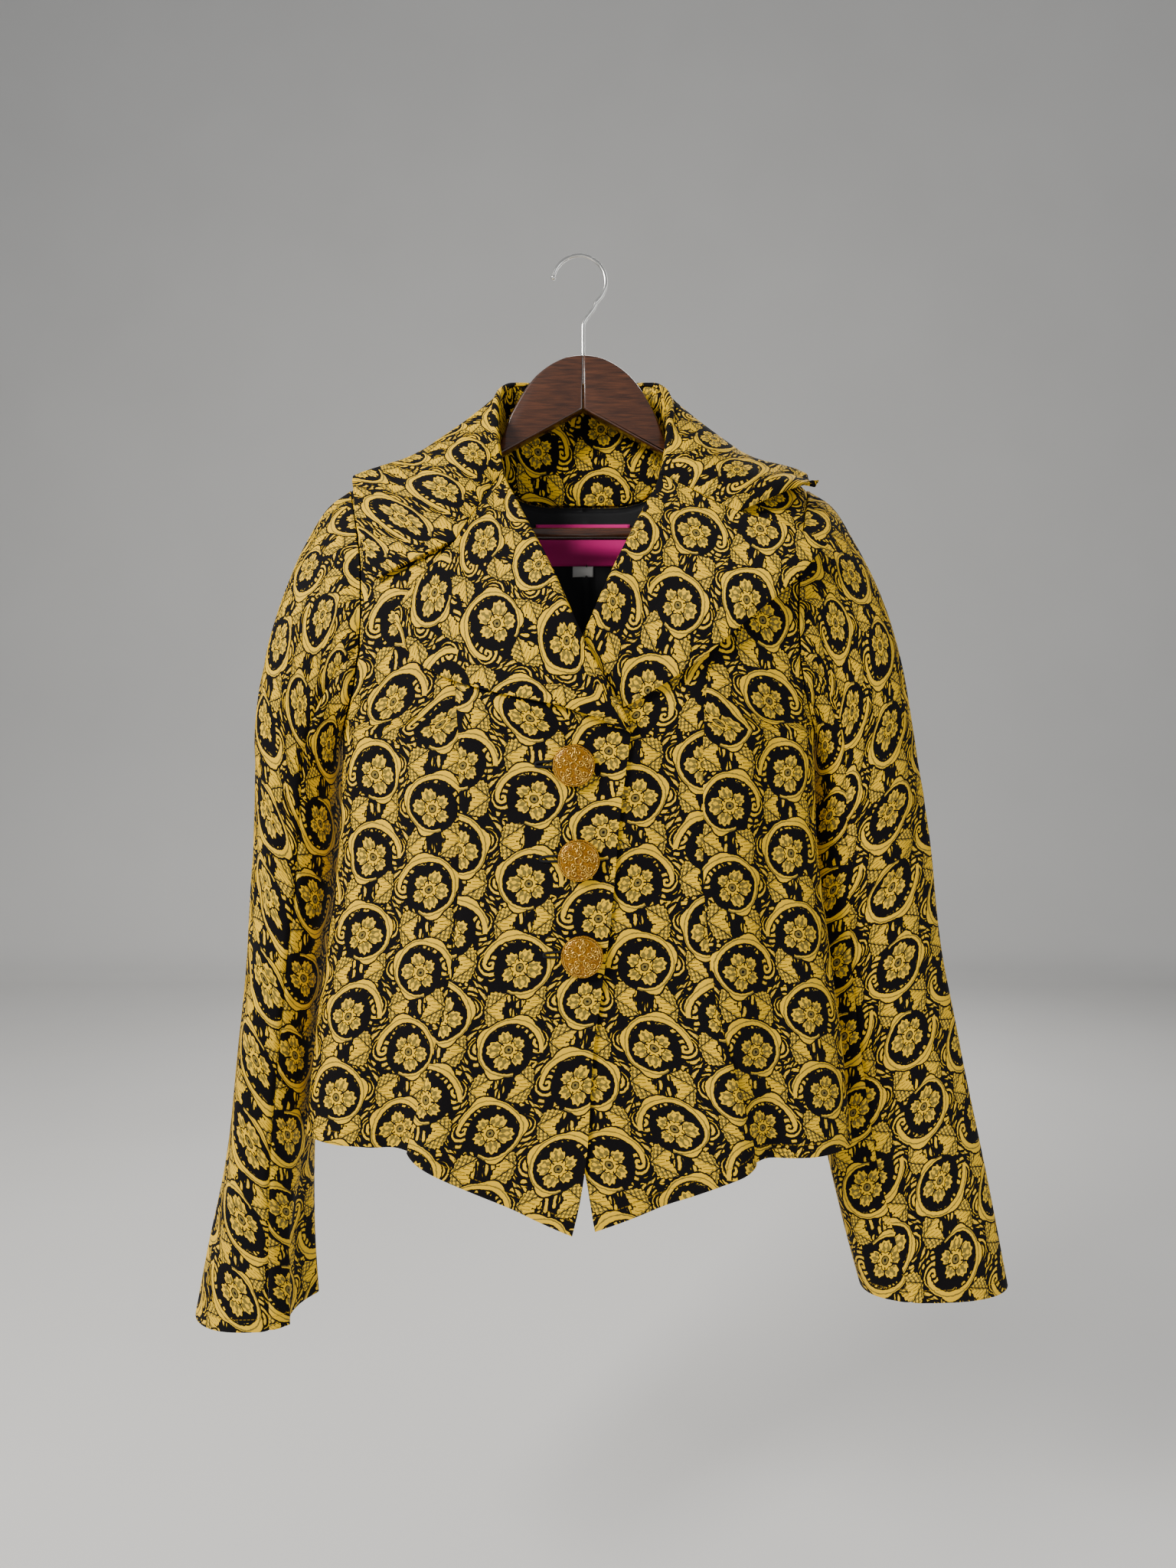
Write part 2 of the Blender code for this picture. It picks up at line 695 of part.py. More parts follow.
def panel_place(side, edges):
    """The wall of a body panel inside its four edge curves, held back half a seam gap on each side.

    Its lines run evenly round the body below the underarm, and straight up to the shoulder ridge above it.
    """
    start_turn = edges[0](0.5)[1]
    end_turn = edges[1](0.5)[1]
    inward = math.copysign(1, end_turn - start_turn)
    back = start_turn > 1
    straight_edges = [in_out(curve) for curve in edges]

    def place(across, up):
        height, turn = patch(*edges, across, up)
        if 0 < across < 1 and 0 < up < 1:
            straight = patch(*straight_edges, across, up)[1]
            turn = mix(turn, turn_at(straight, height, back), smooth((up - 0.5) / STRAIGHT_BLEND))
        shift = inward * ((across == 0.0) - (across == 1.0)) * HALF_SEAM
        turn += shift / (front_depth(height) * EDGE_SPREAD)
        outer = front_point(side, height, turn)
        return outer, outer - body_normal(side, height, turn) * CLOTH

    return place


def ridge_gap(height):
    """Half a seam gap along the body at the shoulder ridge, as a turn."""
    return HALF_SEAM / (RIDGE_SPREAD * back_depth(height))


def panel_rows(part):
    """Shares of the way up a panel: even below the underarm, and closer towards the shoulder ridge."""
    low = [share / 2 for share in spread(LOW_ROWS)]
    left = [(1 - share) ** RIDGE_CROWDING * (1 - HIGH_FROM) for share in spread(HIGH_ROWS[part])]
    high = [1 - share for share in left]
    return low + UNDERARM_ROWS + high


def stand_nodes():
    return [along for along in COLLAR_ALONG if along <= STAND_END]


def back_columns():
    """Shares across the back, with the nodes of the collar stand along the neckline."""
    neck = [along / STAND_END * BACK_NECK_SHARE for along in stand_nodes()]
    rest = [mix(BACK_NECK_SHARE, 1.0, share) for share in spread(PANEL_COLUMNS["back_shoulder"])]
    return neck + rest[1:]


def below_ridge(curve, side):
    """The curve of one side of a front panel, held half a gap in front of the shoulder ridge."""

    def held(share):
        height, turn = curve(side, share)
        return height, min(turn, 1 - ridge_gap(height)) if share == 1.0 else turn

    return held


def front_shoulder(start, end):
    """Along the shoulder ridge, half a gap in front of it."""

    def held(share):
        height = ridge_height(mix(start, end, share))
        return height, 1 - ridge_gap(height)

    return held


def hem_between(left, right):
    """The hem of a panel between the feet of its two side edges."""

    def line(share):
        low, high = left(0.0), right(0.0)
        return mix(low[0], high[0], share), mix(low[1], high[1], share)

    return line


def behind_ridge(curve, side, whole=False):
    """A curve of the back panel, held half a gap behind the shoulder ridge."""

    def held(share):
        height, turn = curve(side, share)
        return height, max(turn, 1 + ridge_gap(height)) if whole or share == 1.0 else turn

    return held


def make_body(cloth):
    """The six panels of the body."""
    neck, tip = half_width(NECK_POINT_Z), half_width(SHOULDER_TIP_Z)
    for side, word in SIDES.items():
        centre = below_ridge(centre_front_edge, side)
        seam = below_ridge(princess_edge, side)
        armhole = below_ridge(side_front_edge, side)
        middle = behind_ridge(centre_back_edge, side)
        back_side = behind_ridge(side_back_edge, side)
        back_top = behind_ridge(back_top_edge, side, whole=True)
        inner_shoulder = front_shoulder(neck, PRINCESS_TOP_X)
        outer_shoulder = front_shoulder(PRINCESS_TOP_X, tip)
        panels = {
            "front": (centre, seam, hem_between(centre, seam), inner_shoulder),
            "side_front": (seam, armhole, hem_between(seam, armhole), outer_shoulder),
            "back": (middle, back_side, hem_between(middle, back_side), back_top),
        }
        for part, edges in panels.items():
            columns = back_columns() if part == "back" else spread(PANEL_COLUMNS[part])
            wall_piece(f"{part}_{word}", panel_place(side, edges), columns, panel_rows(part), cloth)


def armhole_point(side, phi):
    """The edge of the armhole. phi is 0 at the shoulder, a half turn at the underarm, positive in front."""
    height = mix(SHOULDER_TIP_Z, UNDERARM_Z, (1 - math.cos(phi)) / 2)
    if math.sin(phi) >= 0:
        turn = turn_at(armhole_front(height), height)
    else:
        turn = turn_at(armhole_back(height), height, True)
    return body_point(side, height, turn), body_normal(side, height, turn)


class Sleeve:
    """The outer cloth of a sleeve: rings that start at the armhole and end at the cuff."""

    def __init__(self, side):
        self.side = side
        rings = SLEEVE_RINGS[side]
        self.rows = {
            field: Profile([(ring.along, getattr(ring, field)) for ring in rings])
            for field in Ring._fields[1:]
        }

    def frame(self, along):
        """Middle of a ring, its half axes across and from back to front, and the way out of its plane."""
        row = {field: profile(along) for field, profile in self.rows.items()}
        outer = Vector((self.side * row["outer_x"], row["middle_y"], row["outer_z"]))
        inner = Vector((self.side * row["inner_x"], row["middle_y"], row["inner_z"]))
        across = (outer - inner) / 2
        depth = Vector((0, -row["half_depth"], 0))
        return (outer + inner) / 2, across, depth, across.cross(depth).normalized()

    def raw_point(self, along, phi):
        middle, across, depth, away = self.frame(along)
        bow = 2 / SLEEVE_SQUARE
        u = math.copysign(abs(math.cos(phi)) ** bow, math.cos(phi))
        v = math.copysign(abs(math.sin(phi)) ** bow, math.sin(phi))
        share = smooth(along / ARMHOLE_FADE)
        w = 0.0
        if share < 1:
            start, start_across, start_depth, start_away = self.frame(0.0)
            offset = armhole_point(self.side, phi)[0] - start
            u = mix(offset.dot(start_across) / start_across.length_squared, u, share)
            v = mix(offset.dot(start_depth) / start_depth.length_squared, v, share)
            w = mix(offset.dot(start_away), 0.0, share)
        return middle + across * u + depth * v + away * w

    def point(self, along, phi):
        if along == 0.0:
            edge, normal = armhole_point(self.side, phi)
            into_hole = (self.frame(0.0)[0] - edge).normalized()
            return edge + (normal + into_hole) * ARMHOLE_GAP
        gap = mix(ARMHOLE_GAP, BODY_CLEARANCE, min(along / CLEARANCE_FADE, 1.0))
        point = self.raw_point(along, phi)
        point += self.normal(along, phi, self.raw_point) * sleeve_fold(self.side, along, phi)
        return keep_clear(point, gap)

    def normal(self, along, phi, surface=None):
        surface = surface or self.point
        along = max(along, SMALL / 10)
        before = max(along - 2 * SMALL, SMALL / 10)
        down = surface(along + 2 * SMALL, phi) - surface(before, phi)
        round_it = surface(along, phi + SEAM_STEP) - surface(along, phi - SEAM_STEP)
        out = down.cross(round_it) * -self.side
        return out.normalized()

    def place(self, along, phi):
        outer = self.point(along, phi)
        normal = self.normal(along, phi)
        if along == 0.0:
            edge_normal = armhole_point(self.side, phi)[1]
            leaving = self.point(SEAM_STEP, phi) - outer
            if leaving.dot(edge_normal) < 0:
                normal = edge_normal
        return outer, outer - normal * CLOTH


SleeveFold = namedtuple("SleeveFold", "side along phi length width depth slant")
SLEEVE_FOLDS = [
    SleeveFold(-1, 0.50, 0.9, 0.10, 0.35, -0.0040, 0.20),
    SleeveFold(-1, 0.66, 0.8, 0.09, 0.35, -0.0030, -0.15),
    SleeveFold(-1, 0.86, 0.7, 0.10, 0.30, -0.0030, 0.10),
    SleeveFold(1, 0.48, 0.9, 0.10, 0.35, -0.0030, 0.20),
    SleeveFold(1, 0.70, 0.8, 0.10, 0.35, -0.0030, -0.15),
]


def sleeve_fold(side, along, phi):
    rise = 0.0
    for fold in SLEEVE_FOLDS:
        if fold.side != side:
            continue
        far = (along - fold.along) / fold.length
        if abs(far) > 2:
            continue
        round_it = (phi - fold.phi - fold.slant * far) / fold.width
        rise += fold.depth * math.exp(-far * far - round_it * round_it)
    return rise


def make_sleeves(cloth):
    for side, word in SIDES.items():
        sleeve = Sleeve(side)
        for part, (first, last, cells) in SLEEVE_PIECES.items():

            def place(across, up):
                hold = ((across == 0.0) - (across == 1.0)) * HALF_SEAM / SLEEVE_RADIUS
                return sleeve.place(up, mix(first, last, across) + hold)

            rows = SLEEVE_HIGH_ROWS + SLEEVE_LOW_ROWS
            wall_piece(f"sleeve_{part}_{word}", place, spread(cells), rows, cloth)


def roll_radius(height):
    """Middle radius of the roll of a lapel or collar, tighter towards the break."""
    return mix(ROLL_RADIUS_LOW, ROLL_RADIUS, smooth((height - BREAK_Z) / ROLL_GROWTH))


def flap_rise(side, share, height):
    """How far the outside of a lapel or collar is off the front; share is 0 at the roll and 1 at the edge."""
    at_roll = 2 * roll_radius(height) - CLOTH / 2 + DOUBLE_CLOTH / 2
    flat = LAPEL_GAP + DOUBLE_CLOTH
    outward = smooth((share - LIFT_START) / (1 - LIFT_START))
    lift = LAPEL_LIFT[side] * outward * smooth((height - LIFT_LOW) / LIFT_STEP)
    return mix(at_roll, flat, smooth(share / ROLL_FLAT)) + lift


def lapel_roll(side, height):
    """Axis of the lapel's roll at a height, and the way out of the cloth there."""
    turn = turn_at(roll_line(height), height)
    normal = body_normal(side, height, turn)
    edge = front_point(side, height, turn)
    return edge + normal * (roll_radius(height) - CLOTH / 2), normal


def collar_roll(side, along):
    """Axis of the collar's roll from the centre back at 0 to the gorge at 1, and the way out of the neck."""
    gorge, gorge_normal = lapel_roll(side, GORGE_ROLL_Z)
    rows = [(p.along, (CENTRE_X + side * p.out, p.y, p.height)) for p in COLLAR_ROLL]
    rows.append((1.0, tuple(gorge)))
    point = Vector([Profile([(a, place[k]) for a, place in rows])(along) for k in range(3)])
    centre = Vector((CENTRE_X, NECK_AXIS_Y, point.z))
    radial = (point - centre).normalized()
    turning = smooth((along - STAND_END) / (1 - STAND_END))
    return point, radial.lerp(gorge_normal, turning).normalized()


def roll_frame(side, spot, place):
    """Axis, outward normal and upward direction of a roll at a spot along it."""
    point, normal = place(side, spot)
    ahead = place(side, spot + SMALL)[0]
    behind = place(side, spot - SMALL)[0]
    tangent = (ahead - behind).normalized()
    up = normal.cross(tangent) * side
    normal = tangent.cross(up) * side
    return point, normal.normalized(), up.normalized()


def rolled(frame, radius, angle):
    """Outer and inner cloth on the roll: angle 0 is at its foot, a half turn where the flap leaves it."""
    point, normal, up = frame
    away = up * math.sin(angle) - normal * math.cos(angle)
    middle = point + up * ROLL_GAP + away * radius
    return middle + away * DOUBLE_CLOTH / 2, middle - away * DOUBLE_CLOTH / 2


def broken_line(start, corner, end, share):
    if share <= NOTCH_SHARE:
        part = share / NOTCH_SHARE
        return mix(start[0], corner[0], part), mix(start[1], corner[1], part)
    part = (share - NOTCH_SHARE) / (1 - NOTCH_SHARE)
    return mix(corner[0], end[0], part), mix(corner[1], end[1], part)


def gorge_line(side, end, share, shift):
    """From the roll to the notch and on to a tip, as a distance out and a height, moved across the seam."""
    start = roll_line(GORGE_ROLL_Z), GORGE_ROLL_Z
    out, height = broken_line(start, NOTCH[side], end, share)
    return out + shift * GORGE_ACROSS[0], height + shift * GORGE_ACROSS[1]


def lapel_rows(side):
    """Shares up the lapel's roll at the rows of the front that it is turned from."""
    low = LAPEL_START_Z[side]
    heights = [mix(BREAK_Z, NECK_POINT_Z, share * 2 - 1) for share in panel_rows("front")]
    heights = [height for height in heights if low + ROW_MARGIN < height < GORGE_ROLL_Z - ROW_MARGIN]
    return [0.0] + [(height - low) / (GORGE_ROLL_Z - low) for height in heights] + [1.0]


def lapel_frame(side, height):
    point, normal, up = roll_frame(side, height, lapel_roll)
    return point, normal, -up if up.x * side > 0 else up


def make_lapels(cloth):
    for side, word in SIDES.items():
        edge_out = Profile([(e.along, e.out) for e in LAPEL_EDGE[side]])
        edge_height = Profile([(e.along, e.height) for e in LAPEL_EDGE[side]])

        def roll(up):
            height = mix(LAPEL_START_Z[side], GORGE_ROLL_Z, up)
            return height, roll_line(height)

        def outer_edge(up):
            return edge_height(up), edge_out(up)

        def bottom(across):
            low, high = roll(0.0), outer_edge(0.0)
            return mix(low[0], high[0], across), mix(low[1], high[1], across)

        def top(across):
            out, height = gorge_line(side, LAPEL_TIP[side], across, -SEAM_GAP)
            return height, out

        def place(across, up):
            height = roll(up)[0]
            if across < 0:
                return rolled(lapel_frame(side, height), roll_radius(height), math.pi * (1 + across))
            height, out = patch(roll, outer_edge, bottom, top, across, up)
            turn = turn_at(out, height)
            outer = front_point(side, height, turn, flap_rise(side, across, height))
            normal = body_normal(side, height, turn)
            return outer, outer - normal * DOUBLE_CLOTH

        wall_piece(f"lapel_{word}", place, ROLL_COLUMNS + FLAP_COLUMNS, lapel_rows(side), cloth)


class Collar:
    """The collar, from its roll to its outer edge, on one side of the centre back."""

    def __init__(self, side):
        self.side = side
        rows = [(1.0, self.on_front(1.0))]
        ridge = ridge_height(RIDGE_CROSSING_X)
        rows.append((RIDGE_CROSSING, body_point(side, ridge, 1.0, flap_rise(side, 0.6, ridge))))
        for edge in COLLAR_EDGE[side]:
            turn = turn_at(edge.out, edge.height, edge.back)
            rise = flap_rise(side, 1.0, edge.height) if not edge.back else LAPEL_GAP + DOUBLE_CLOTH
            rows.append((edge.along, body_point(side, edge.height, turn, rise)))
        self.edge = [Profile([(a, point[k]) for a, point in rows]) for k in range(3)]

    def on_front(self, share):
        """The front end of the collar: the gorge up to the notch, then its own leading edge."""
        out, height = gorge_line(self.side, COLLAR_TIP[self.side], share, SEAM_GAP)
        turn = turn_at(out, height)
        return front_point(self.side, height, turn, flap_rise(self.side, share, height))

    def frame(self, along):
        if along > 0.99:
            point, normal, up = lapel_frame(self.side, GORGE_ROLL_Z)
            onward = lapel_roll(self.side, GORGE_ROLL_Z + SMALL)[0] - lapel_roll(self.side, GORGE_ROLL_Z)[0]
            return point + onward.normalized() * 2 * SEAM_GAP, normal, up
        point, normal, up = roll_frame(self.side, along, collar_roll)
        if up.z < 0:
            up = -up
        return point, normal, up

    def surface(self, along, share):
        """Outer cloth of the fall."""
        point, normal, _ = self.frame(along)
        reach = ROLL_RADIUS + DOUBLE_CLOTH / 2
        start = point + normal * reach
        end = Vector([profile(along) for profile in self.edge])
        ruled = start.lerp(end, share)
        pull = smooth((along - PULL_START) / (1 - PULL_START)) ** PULL_POWER
        if pull > 0:
            first = self.frame(1.0)
            plain = (first[0] + first[1] * reach).lerp(self.on_front(1.0), share)
            ruled += (self.on_front(share) - plain) * pull
        ruled += normal * COLLAR_BULGE * 4 * share * (1 - share) * (1 - pull)
        gap = flap_rise(-1, share, GORGE_ROLL_Z) + COLLAR_EASE * (1 - pull)
        return keep_clear(ruled, gap) if share > 0 else ruled

    def place(self, along, share):
        if share < 0:
            return rolled(self.frame(along), ROLL_RADIUS, math.pi * (1 + share))
        outer = self.surface(along, share)
        if along == 1.0:
            out, height = gorge_line(self.side, COLLAR_TIP[self.side], share, SEAM_GAP)
            normal = body_normal(self.side, height, turn_at(out, height))
            return outer, outer - normal * DOUBLE_CLOTH
        near, far = max(along - COLLAR_STEP, 0.0), min(along + COLLAR_STEP, 1.0)
        low, high = max(share - COLLAR_STEP, 0.0), min(share + COLLAR_STEP, 1.0)
        round_it = self.surface(far, share) - self.surface(near, share)
        if along < COLLAR_STEP:
            round_it.y = round_it.z = 0.0
        down = self.surface(along, high) - self.surface(along, low)
        normal = round_it.cross(down).normalized()
        if normal.dot(body_distance(outer)[1]) < 0:
            normal = -normal
        return outer, outer - normal * DOUBLE_CLOTH

    def stand(self, along, up):
        """The stand, from just inside the back neck seam up to the foot of the roll."""
        point, normal, _ = self.frame(along)
        share = along / STAND_END * BACK_NECK_SHARE
        steps = (-min(STAND_STEP, share), 0, STAND_STEP)
        seam = [body_point(self.side, *back_top_edge(self.side, share + step)) for step in steps]
        cloth_normal = body_normal(self.side, *back_top_edge(self.side, share))
        head = point - normal * ROLL_RADIUS
        onward = cloth_normal.cross(seam[2] - seam[0]).normalized()
        rising = (head - seam[1]).normalized()
        if onward.dot(rising) < 0:
            onward = -onward
        lean = math.sqrt(max(0.0, 1 - onward.dot(rising) ** 2))
        foot = seam[1] - cloth_normal * CLOTH / 2 + onward * (STAND_FOOT + DOUBLE_CLOTH / 2 * lean)
        middle = foot.lerp(head, up)
        return middle + normal * DOUBLE_CLOTH / 2, middle - normal * DOUBLE_CLOTH / 2


def make_collar(cloth):
    sides = {side: Collar(side) for side in SIDES}

    def pick(signed):
        return sides[1 if signed > 0 else -1], abs(signed)

    def fall(across, share):
        collar, along = pick(across)
        return collar.place(along, share)

    def stand(across, up):
        collar, along = pick(across)
        return collar.stand(along, up)

    half = COLLAR_ALONG
    both = [-a for a in reversed(half)] + half[1:]
    wall_piece("collar_fall", fall, both, ROLL_COLUMNS + FLAP_COLUMNS, cloth)
    half = stand_nodes()
    both = [-a for a in reversed(half)] + half[1:]
    wall_piece("collar_stand", stand, both, spread(3), cloth)


def make_lining(lining, label_cloth, tape):
    """The black lining inside the back, and the bare label and tag sewn to it at the neck."""

    def inside(out, height, rise, thickness):
        side = 1 if out > 0 else -1
        turn = turn_at(abs(out), height, True)
        outer = body_point(side, height, turn, rise)
        return outer, outer - body_normal(side, height, turn) * thickness

    def lining_place(across, up):
        out = mix(-LINING_OUT, LINING_OUT, across)
        top = back_neck_height(back_neck_share(abs(out))) - LINING_DROP
        height = mix(LINING_BOTTOM_Z, top, up)
        return inside(out, height, -CLOTH - LINING_GAP, LINING)

    def patch_place(width, low, high, depth):
        def place(across, up):
            out = mix(-width / 2, width / 2, across)
            return inside(out, mix(low, high, up), -depth, LABEL_THICKNESS)

        return place

    depth = CLOTH + LINING + LINING_GAP + SEAM_GAP
    wall_piece("lining_back", lining_place, spread(12), spread(8), lining)
    label = patch_place(LABEL_WIDTH, LABEL_BOTTOM_Z, LABEL_TOP_Z, depth)
    wall_piece("label", label, spread(4), spread(2), label_cloth)
    tag = patch_place(TAG_WIDTH, TAG_BOTTOM_Z, LABEL_BOTTOM_Z - SEAM_GAP, depth)
    wall_piece("size_tag", tag, spread(2), spread(1), tape)


def back_neck_share(out):
    """Share along the back neckline at a distance from the centre line."""
    low, high = 0.0, 1.0
    for _ in range(SEARCH_STEPS):
        middle = (low + high) / 2
        low, high = (middle, high) if back_neck(middle) < out else (low, middle)
    return low


def turned(name, profile, steps, material):
    """A solid turned round Z from a profile of (radius, height) pairs that starts and ends on the axis."""
    mesh = bpy.data.meshes.new(name)
    shape = bmesh.new()
    points = [shape.verts.new((radius, 0, height)) for radius, height in profile]
    edges = [shape.edges.new(pair) for pair in zip(points, points[1:])]
    line = points + edges
    centre, axis = (0, 0, 0), (0, 0, 1)
    bmesh.ops.spin(shape, geom=line, cent=centre, axis=axis, angle=math.tau, steps=steps, use_merge=True)
    bmesh.ops.remove_doubles(shape, verts=shape.verts, dist=1e-6)
    bmesh.ops.recalc_face_normals(shape, faces=shape.faces)
    shape.to_mesh(mesh)
    shape.free()
    mesh.shade_smooth()
    mesh.set_sharp_from_angle(angle=SHARP_ANGLE)
    return add_object(name, mesh, material)


def make_buttons(metal):
    """Three domed buttons, each on a shank that stands on the buttonhole front."""
    radius = BUTTON_DIAMETER / 2
    profile = [
        (0.0, 0.0),
        (SHANK_DIAMETER / 2, 0.0),
        (SHANK_DIAMETER / 2, SHANK_LENGTH),
        (radius * BUTTON_UNDERSIDE, SHANK_LENGTH),
        (radius, SHANK_LENGTH + BUTTON_RIM * BUTTON_RIM_SHARE),
    ]
    for degrees in DOME_DEGREES:
        angle = math.radians(degrees)
        rise = (BUTTON_HEIGHT - BUTTON_RIM) * math.sin(angle)
        profile.append((radius * math.cos(angle), SHANK_LENGTH + BUTTON_RIM + rise))
    profile.append((0.0, SHANK_LENGTH + BUTTON_HEIGHT))
    for word, (x, height) in BUTTON_PLACES.items():
        turn = turn_at(CENTRE_X - x, height)
        normal = body_normal(-1, height, turn)
        button = turned(f"button_{word}", profile, BUTTON_SIDES, metal)
        button.location = front_point(-1, height, turn, BUTTON_GAP)
        button.rotation_mode = "QUATERNION"
        button.rotation_quaternion = normal.to_track_quat("Z", "Y")


def cloth_height(x, y):
    """Height of the outside of the shoulders above a place."""
    low, high = CLOTH_SEARCH_LOW, BODY_SECTIONS[-1].height
    for _ in range(SEARCH_STEPS):
        middle = (low + high) / 2
        if body_distance(Vector((x, y, middle)))[0] < 0:
            low = middle
        else:
            high = middle
    return low


def shoulder_roof(x, y):
    """Height of the inside of the shoulders above a place: the lowest inner cloth near it."""
    lowest = 0.0
    for step in range(ROOF_STEPS):
        outer_y = y + math.copysign(ROOF_REACH * step / ROOF_STEPS, y)
        outer = Vector((x, outer_y, cloth_height(x, outer_y)))
        inner = outer - body_distance(outer)[1] * CLOTH
        if abs(inner.y) <= abs(y) + ROOF_MARGIN:
            lowest = inner.z
    return lowest


def arm_top(x):
    """Height of an arm's top where it just clears the inside of the shoulders."""
    half = WOOD_THICKNESS / 2
    diagonal = WOOD_EDGE_RADIUS * (1 - math.sqrt(0.5))
    corner = [(half - WOOD_EDGE_RADIUS, 0.0), (half - diagonal, diagonal), (half, WOOD_EDGE_RADIUS)]
    return min(shoulder_roof(x, face * y) + drop for y, drop in corner for face in (-1, 1)) - ARM_CLEARANCE


def make_arm(side, wood):
    """One wooden half of the hanger, with the leg at its end that holds the trouser bar."""
    outline = [(edge.out, edge.height) for edge in ARCH]
    for share in spread(SEAT_STEPS):
        out = mix(ARM_SEAT_OUT, ARM_END_OUT, share)
        outline.append((out, min(arm_top(side * out + SHANK_X), ARCH[-1].height)))
    outline += [
        (ARM_END_OUT, BAR_Z - ARM_END_DROP),
        (BAR_REACH, BAR_Z - ARM_END_DROP),
        (BAR_REACH, NOTCH_Z - (BAR_REACH - SEAM_GAP) * ARM_LOWER_SLOPE),
        (0.0, NOTCH_Z),
    ]
    name = f"hanger_arm_{SIDES[side]}"
    mesh = bpy.data.meshes.new(name)
    shape = bmesh.new()
    front = -WOOD_THICKNESS / 2
    corners = [(SHANK_X + side * max(out, HALF_SEAM), front, height) for out, height in outline]
    face = shape.faces.new([shape.verts.new(corner) for corner in corners])
    pushed = bmesh.ops.extrude_face_region(shape, geom=[face])
    moved = [v for v in pushed["geom"] if isinstance(v, bmesh.types.BMVert)]
    bmesh.ops.translate(shape, verts=moved, vec=(0, WOOD_THICKNESS, 0))
    bmesh.ops.recalc_face_normals(shape, faces=shape.faces)
    rounded = []
    for edge in shape.edges:
        first, second = (v.co for v in edge.verts)
        along_face = abs(first.y - second.y) < ROOF_MARGIN
        at_joint = abs((first.x + second.x) / 2 - SHANK_X) < SMALL
        if along_face and not at_joint:
            rounded.append(edge)
    radius = WOOD_EDGE_RADIUS
    bmesh.ops.bevel(shape, geom=rounded, offset=radius, segments=2, profile=0.5, affect="EDGES", material=-1)
    bmesh.ops.recalc_face_normals(shape, faces=shape.faces)
    shape.to_mesh(mesh)
    shape.free()
    mesh.shade_smooth()
    mesh.set_sharp_from_angle(angle=SHARP_ANGLE)
    add_object(name, mesh, wood)


def make_bar(wood):
    """The round trouser bar between the two arm legs."""
    reach = BAR_REACH - SEAM_GAP
    radius = BAR_DIAMETER / 2
    profile = [(0.0, -reach), (radius, -reach), (radius, reach), (0.0, reach)]
    rod = turned("trouser_bar", profile, BAR_SIDES, wood)
    rod.rotation_euler = (0, math.pi / 2, 0)
    rod.location = (SHANK_X, 0, BAR_Z)


def make_hook(steel):
    """The wire hook: an open crown, a slanting neck and a straight shank down to the wood."""
    wire = WIRE_DIAMETER / 2
    centre_z = wire - HOOK_RADIUS
    points = []
    for share in spread(HOOK_STEPS):
        angle = mix(HOOK_TIP_ANGLE, HOOK_END_ANGLE, share)
        points.append((HOOK_RADIUS * math.cos(angle), 0, centre_z + HOOK_RADIUS * math.sin(angle)))
    last = points[-1]
    for share in spread(NECK_STEPS)[1:]:
        points.append((mix(last[0], SHANK_X, smooth(share)), 0, mix(last[2], BEND_Z, share)))
    points.append((SHANK_X, 0, HANGER_TOP_Z + SEAM_GAP))
    curve = bpy.data.curves.new("hook", "CURVE")
    curve.dimensions = "3D"
    curve.bevel_depth = wire
    curve.bevel_resolution = WIRE_RESOLUTION
    curve.use_fill_caps = True
    spline = curve.splines.new("POLY")
    spline.points.add(len(points) - 1)
    for place, point in zip(spline.points, points):
        place.co = (*point, 1)
    hook = bpy.data.objects.new("hook", curve)
    bpy.context.scene.collection.objects.link(hook)
    curve.materials.append(steel)


def main():
    for obj in list(bpy.data.objects):
        bpy.data.objects.remove(obj)
    cloth = add_material("jacquard", (0.52, 0.40, 0.16), 0.75)
    lining = add_material("lining", (0.012, 0.012, 0.014), 0.45)
    label_cloth = add_material("label_satin", (0.75, 0.03, 0.20), 0.5)
    tape = add_material("tape", (0.8, 0.8, 0.78), 0.7)
    metal = add_material("gilt_metal", (0.75, 0.52, 0.20), 0.3, 1.0)
    wood = add_material("dark_wood", (0.07, 0.02, 0.008), 0.3)
    steel = add_material("steel_wire", (0.6, 0.6, 0.58), 0.25, 1.0)
    make_body(cloth)
    make_sleeves(cloth)
    make_lapels(cloth)
    make_collar(cloth)
    make_lining(lining, label_cloth, tape)
    make_buttons(metal)
    for side in SIDES:
        make_arm(side, wood)
    make_bar(wood)
    make_hook(steel)


main()
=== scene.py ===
"""Looks of a short fitted jacquard jacket on a wooden trouser hanger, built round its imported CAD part.

Metres, +Z up, the front faces -Y and the wearer's right is at -X. The origin is the inside top of the hook.
Every cloth piece is a grid laid on the same surfaces as its CAD solid, with its own creases, a UV map that is
its flat cut in metres, and a woven figure that the finish works out from that map.
"""

from __future__ import annotations

import logging
import math
from dataclasses import dataclass, field
from enum import Enum
from functools import lru_cache, partial
from typing import Callable, NamedTuple

